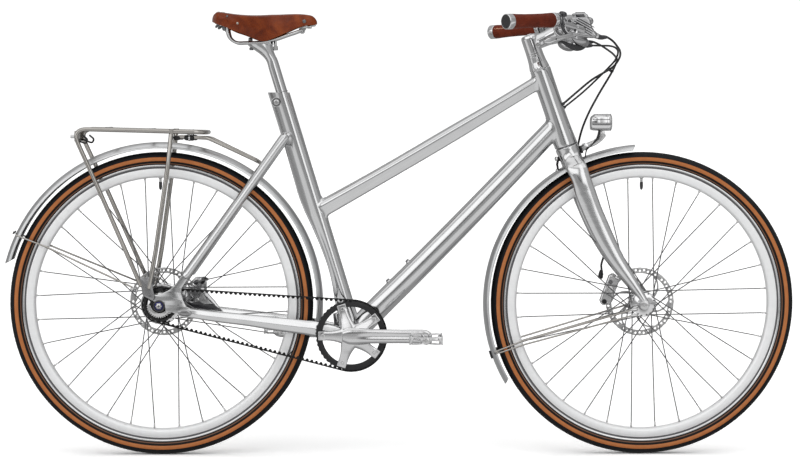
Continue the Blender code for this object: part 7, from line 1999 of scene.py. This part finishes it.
def make_lamp():
    # a turned shell lying along X, squarish from the side, with two grooves round it and a clear front
    y0, z0 = 0.0, 0.7705
    back = V((-0.0026, 0, 0))
    top, low = 0.0196, -0.0192
    stations = [(0.9960, 0.0125, 0.0140, 0.0020), (0.9972, 0.0158, 0.0165, 0.0006), (1.0010, 0.0180, 0.0182, 0.0002), (1.0060, 0.0191, 0.0190, 0.0), (1.0180, 0.0195, 0.0194, 0.0), (1.0340, 0.0195, 0.0196, 0.0),
                (1.0385, 0.0193, 0.0195, 0.0), (1.0420, 0.0182, 0.0184, 0.0)]
    rows = []
    for q in spline([(x, 0, 0, a, b, d) for x, a, b, d in stations], 44):
        cut = 0.0052 * max(0.0, 1 - (q[0] - 0.9960) / 0.0090)
        rows.append([V((p.x, p.y, p.z - cut * max(0.0, (p.z - z0) / 0.0190))) for p in ring(V((q[0], 0, z0 - q[5])), Y * q[3], Z * q[4], 72, 2.9)])
    shell = grid("shell", rows, angle=40.0)
    # grooves round the shell, level with each other on its sides: dark wires whose dark is painted shade
    grooves = []
    for dz, r in ((0.0066, 0.00085), (-0.0048, 0.00120)):
        for sign in (-1, 1):
            pts = [V((x, sign * 0.0193, z0 + dz)) for x in (1.0010, 1.0100, 1.0220, 1.0340, 1.0395)]
            pts[0].y = sign * 0.0181
            pts[-1].y = sign * 0.0189
            grooves.append(pipe("groove", pts, r, sides=12, dome=True))
    bezel = []
    for x in (1.0338, 1.0425):
        bezel.append(pipe("bezel", [V((x, 0.0186 * math.copysign(abs(math.cos(t)) ** (2 / 2.9), math.cos(t)), z0 + 0.0188 * math.copysign(abs(math.sin(t)) ** (2 / 2.9), math.sin(t))))
                                    for t in [TAU * k / 72 for k in range(72)]], 0.0011, sides=10, closed=True))
    lens = []
    for x, k in ((1.0400, 0.97), (1.0432, 0.96), (1.0450, 0.90), (1.0458, 0.70), (1.0461, 0.40), (1.0462, 0.05)):
        lens.append(ring(V((x, 0, z0)), Y * (0.0182 * k), Z * (0.0182 * k), 60, 2.9))
    glass = grid("lamp_lens", lens, angle=50.0)
    bowl = []
    for x, k in ((1.0405, 0.93), (1.0360, 0.80), (1.0300, 0.55), (1.0270, 0.20)):
        bowl.append(ring(V((x, 0, z0)), Y * (0.0180 * k), Z * (0.0180 * k), 48, 2.6))
    lug = plate("lug", [[(1.0150, 0.7440), (1.0175, 0.7390), (1.0245, 0.7390), (1.0270, 0.7440), (1.0262, 0.7560), (1.0158, 0.7560)]], 0.0080, 0.0, bevel=0.0008, r=0.003)
    reflector = grid("reflector", bowl, caps=(False, True), angle=50.0)
    for o in [shell, lug, reflector, glass] + grooves + bezel:
        if o is not lug:
            o.data.transform(Matrix.Translation(back))
    put(join("headlamp_shell", [paint(shell, "polish"), paint(lug, "forged"), paint(reflector, "polish")] + [paint(g, "dark_steel") for g in grooves] + [paint(g, "steel") for g in bezel]),
        "headlamp", stands=("headlamp",), slot="polished_aluminium")
    put(glass, "headlamp", "lens", slot="lamp_lens")

    strap = pipe("strap", curve_points([V((0.9735, 0, 0.7085)), drawn(586.0, 145.5), drawn(592.5, 143.0), drawn(599.0, 138.6), drawn(602.5, 134.5)], 0.002), 0.0042, sides=24, dome=True, oval=(0.8, 1.5))
    pieces = [paint(strap, "steel")]
    for sign in (-1, 1):
        ear = plate("ear", [[(1.0085, 0.7270), (1.0170, 0.7285), (1.0262, 0.7420), (1.0250, 0.7485), (1.0180, 0.7490), (1.0140, 0.7400)]], 0.0030, sign * 0.0062, bevel=0.0006, r=0.003)
        pieces.append(paint(ear, "polish"))
        pieces.append(paint(screw("knuckle", V((1.0210, sign * 0.0076, 0.7440)), (0, sign, 0), 0.0050, 0.0024, 0.0024), "steel"))
    pieces.append(paint(box("pad", (0.0050, 0.0180, 0.0180), (0.9722, 0, 0.7080), Matrix.Rotation(-(math.pi / 2 - HEAD_ANGLE), 3, "Y"), 0.0012, 3), "black"))
    pieces.append(paint(lathe("boss", [(0.0, -0.0052), (0.0082, -0.0052), (0.0086, -0.0040), (0.0086, 0.0040), (0.0082, 0.0052), (0.0, 0.0052)], V((0.9812, 0, 0.7145)), Y, 48, closed=False, r=0.0006), "polish"))
    pieces.append(paint(screw("boss_bolt", V((0.9812, -0.0050, 0.7145)), -Y, 0.0034, 0.0022, 0.0020), "steel"))
    put(join("lamp_bracket_arm", pieces), "steering", stands=("lamp_bracket",), slot="polished_aluminium")
    # the lamp's lead, clipped to the bracket, and down behind the crown
    lead = curve_points([drawn(598.8, 130.0, -0.006), drawn(597.7, 137.1, -0.010), drawn(591.4, 144.3, -0.012), drawn(586.0, 149.6, -0.012), drawn(584.3, 158.6, -0.012)], 0.003)
    lead2 = curve_points([V((1.0150, 0.0030, 0.7500)), V((1.0120, -0.0060, 0.7400)), V((1.0030, -0.0075, 0.7275)), V((0.9960, -0.0090, 0.7180))], 0.003)
    sleeve = pipe("sleeve", [V((1.0140, -0.0020, 0.7520)), V((1.0118, -0.0080, 0.7420)), V((1.0085, -0.0088, 0.7345))], [0.0020, 0.0024, 0.0018], sides=18, dome=True)
    wires = paint(join("lamp_lead", [pipe("lead", lead, 0.0014, sides=12, dome=True), pipe("lead", lead2, 0.0013, sides=12, dome=True), sleeve]), "hose")
    wires.data.transform(SHIFT)
    move = V((SHIFT_X, 0, 0))
    tuple(drawn(591.4, 144.3, -0.010) + move)
    tuple(drawn(598.8, 131.0, -0.006) + move)
    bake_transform(wires)


def make_hoses():
    hose = [(0.9975, -0.1640, 0.9640), (1.0110, -0.1560, 0.9630), (1.0250, -0.1450, 0.9565), (1.0420, -0.1200, 0.9420), (1.0533, -0.0800, 0.9288), (1.0541, -0.0420, 0.9153),
            (1.0456, -0.0120, 0.8998), (0.9940, -0.0110, 0.8677), (0.9593, -0.0100, 0.8389), (0.9305, -0.0095, 0.8140)]
    shift = [drawn(588.5, 45.8, -0.1380), drawn(598.0, 46.0, -0.1300), drawn(608.0, 46.2, -0.1120), drawn(614.5, 48.4, -0.0850), drawn(616.6, 53.0, -0.0560),
             drawn(613.6, 60.6, -0.0300), drawn(607.0, 68.0, -0.0080), drawn(596.8, 78.2, 0.0010), drawn(582.5, 91.6, 0.0050), drawn(563.6, 107.0, 0.0090)]
    front = [(0.9975, 0.1640, 0.9640), (1.0110, 0.1560, 0.9630), (1.0260, 0.1420, 0.9560), (1.0440, 0.1100, 0.9420), (1.0560, 0.0650, 0.9270), (1.0570, 0.0250, 0.9140),
             (1.0490, 0.0030, 0.8980), drawn(596.6, 96.0, 0.0180), drawn(587.6, 113.0, 0.0240), drawn(581.4, 128.2, 0.0290), drawn(577.6, 143.0, 0.0400), drawn(576.0, 160.0, 0.0560),
             drawn(580.5, 180.0, 0.0640), drawn(588.5, 203.0, 0.0650), drawn(597.0, 226.0, 0.0650), drawn(603.6, 243.0, 0.0650), drawn(603.8, 254.0, 0.0620), drawn(601.0, 265.0, 0.0520), drawn(602.2, 274.5, 0.0430)]
    move = V((SHIFT_X, 0, 0))
    for name, node, route, r, body in (("rear_hose", "rear_brake_hose", hose, 0.0025, None), ("gear_cable", "shift_cable", shift, 0.0022, None), ("front_hose", "front_brake_hose", front, 0.0025, "steering")):
        pts = curve_points(route, 0.004)
        tube = paint(pipe(name, pts, r, sides=18, dome=False), "hose")
        tube.data.transform(SHIFT)
        if body:
            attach(tube, body)
        else:
            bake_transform(tube)
        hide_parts(node)
    # frame guides where the hose and the cable go into the head tube's side, and the clip that ties the bundle
    guides = []
    for p, q in ((hose[-1], hose[-2]), (shift[-1], shift[-2])):
        p, q = V(p), V(q)
        d = (q - p).normalized()
        guides.append(pipe("guide", [p - d * 0.0060, p + d * 0.0012, p + d * 0.0020], [0.0036, 0.0036, 0.0028], sides=24, dome=True))
    put(join("head_tube_guides", guides), "frame", "plastic", slot="black_plastic")
    tie = pipe("tie", [V((1.0325, -0.0125, 0.8935)), V((1.0445, 0.0060, 0.8885))], [0.0034, 0.0034], sides=20, dome=True)
    put(tie, "steering", "plastic", slot="black_plastic")


make_frame()
make_rear_end()
make_wheels()
make_drive()
make_fork()
make_stem()
make_bar()
make_controls()
make_fenders()
make_rack()
make_saddle()
make_brakes()
make_lamp()
make_hoses()
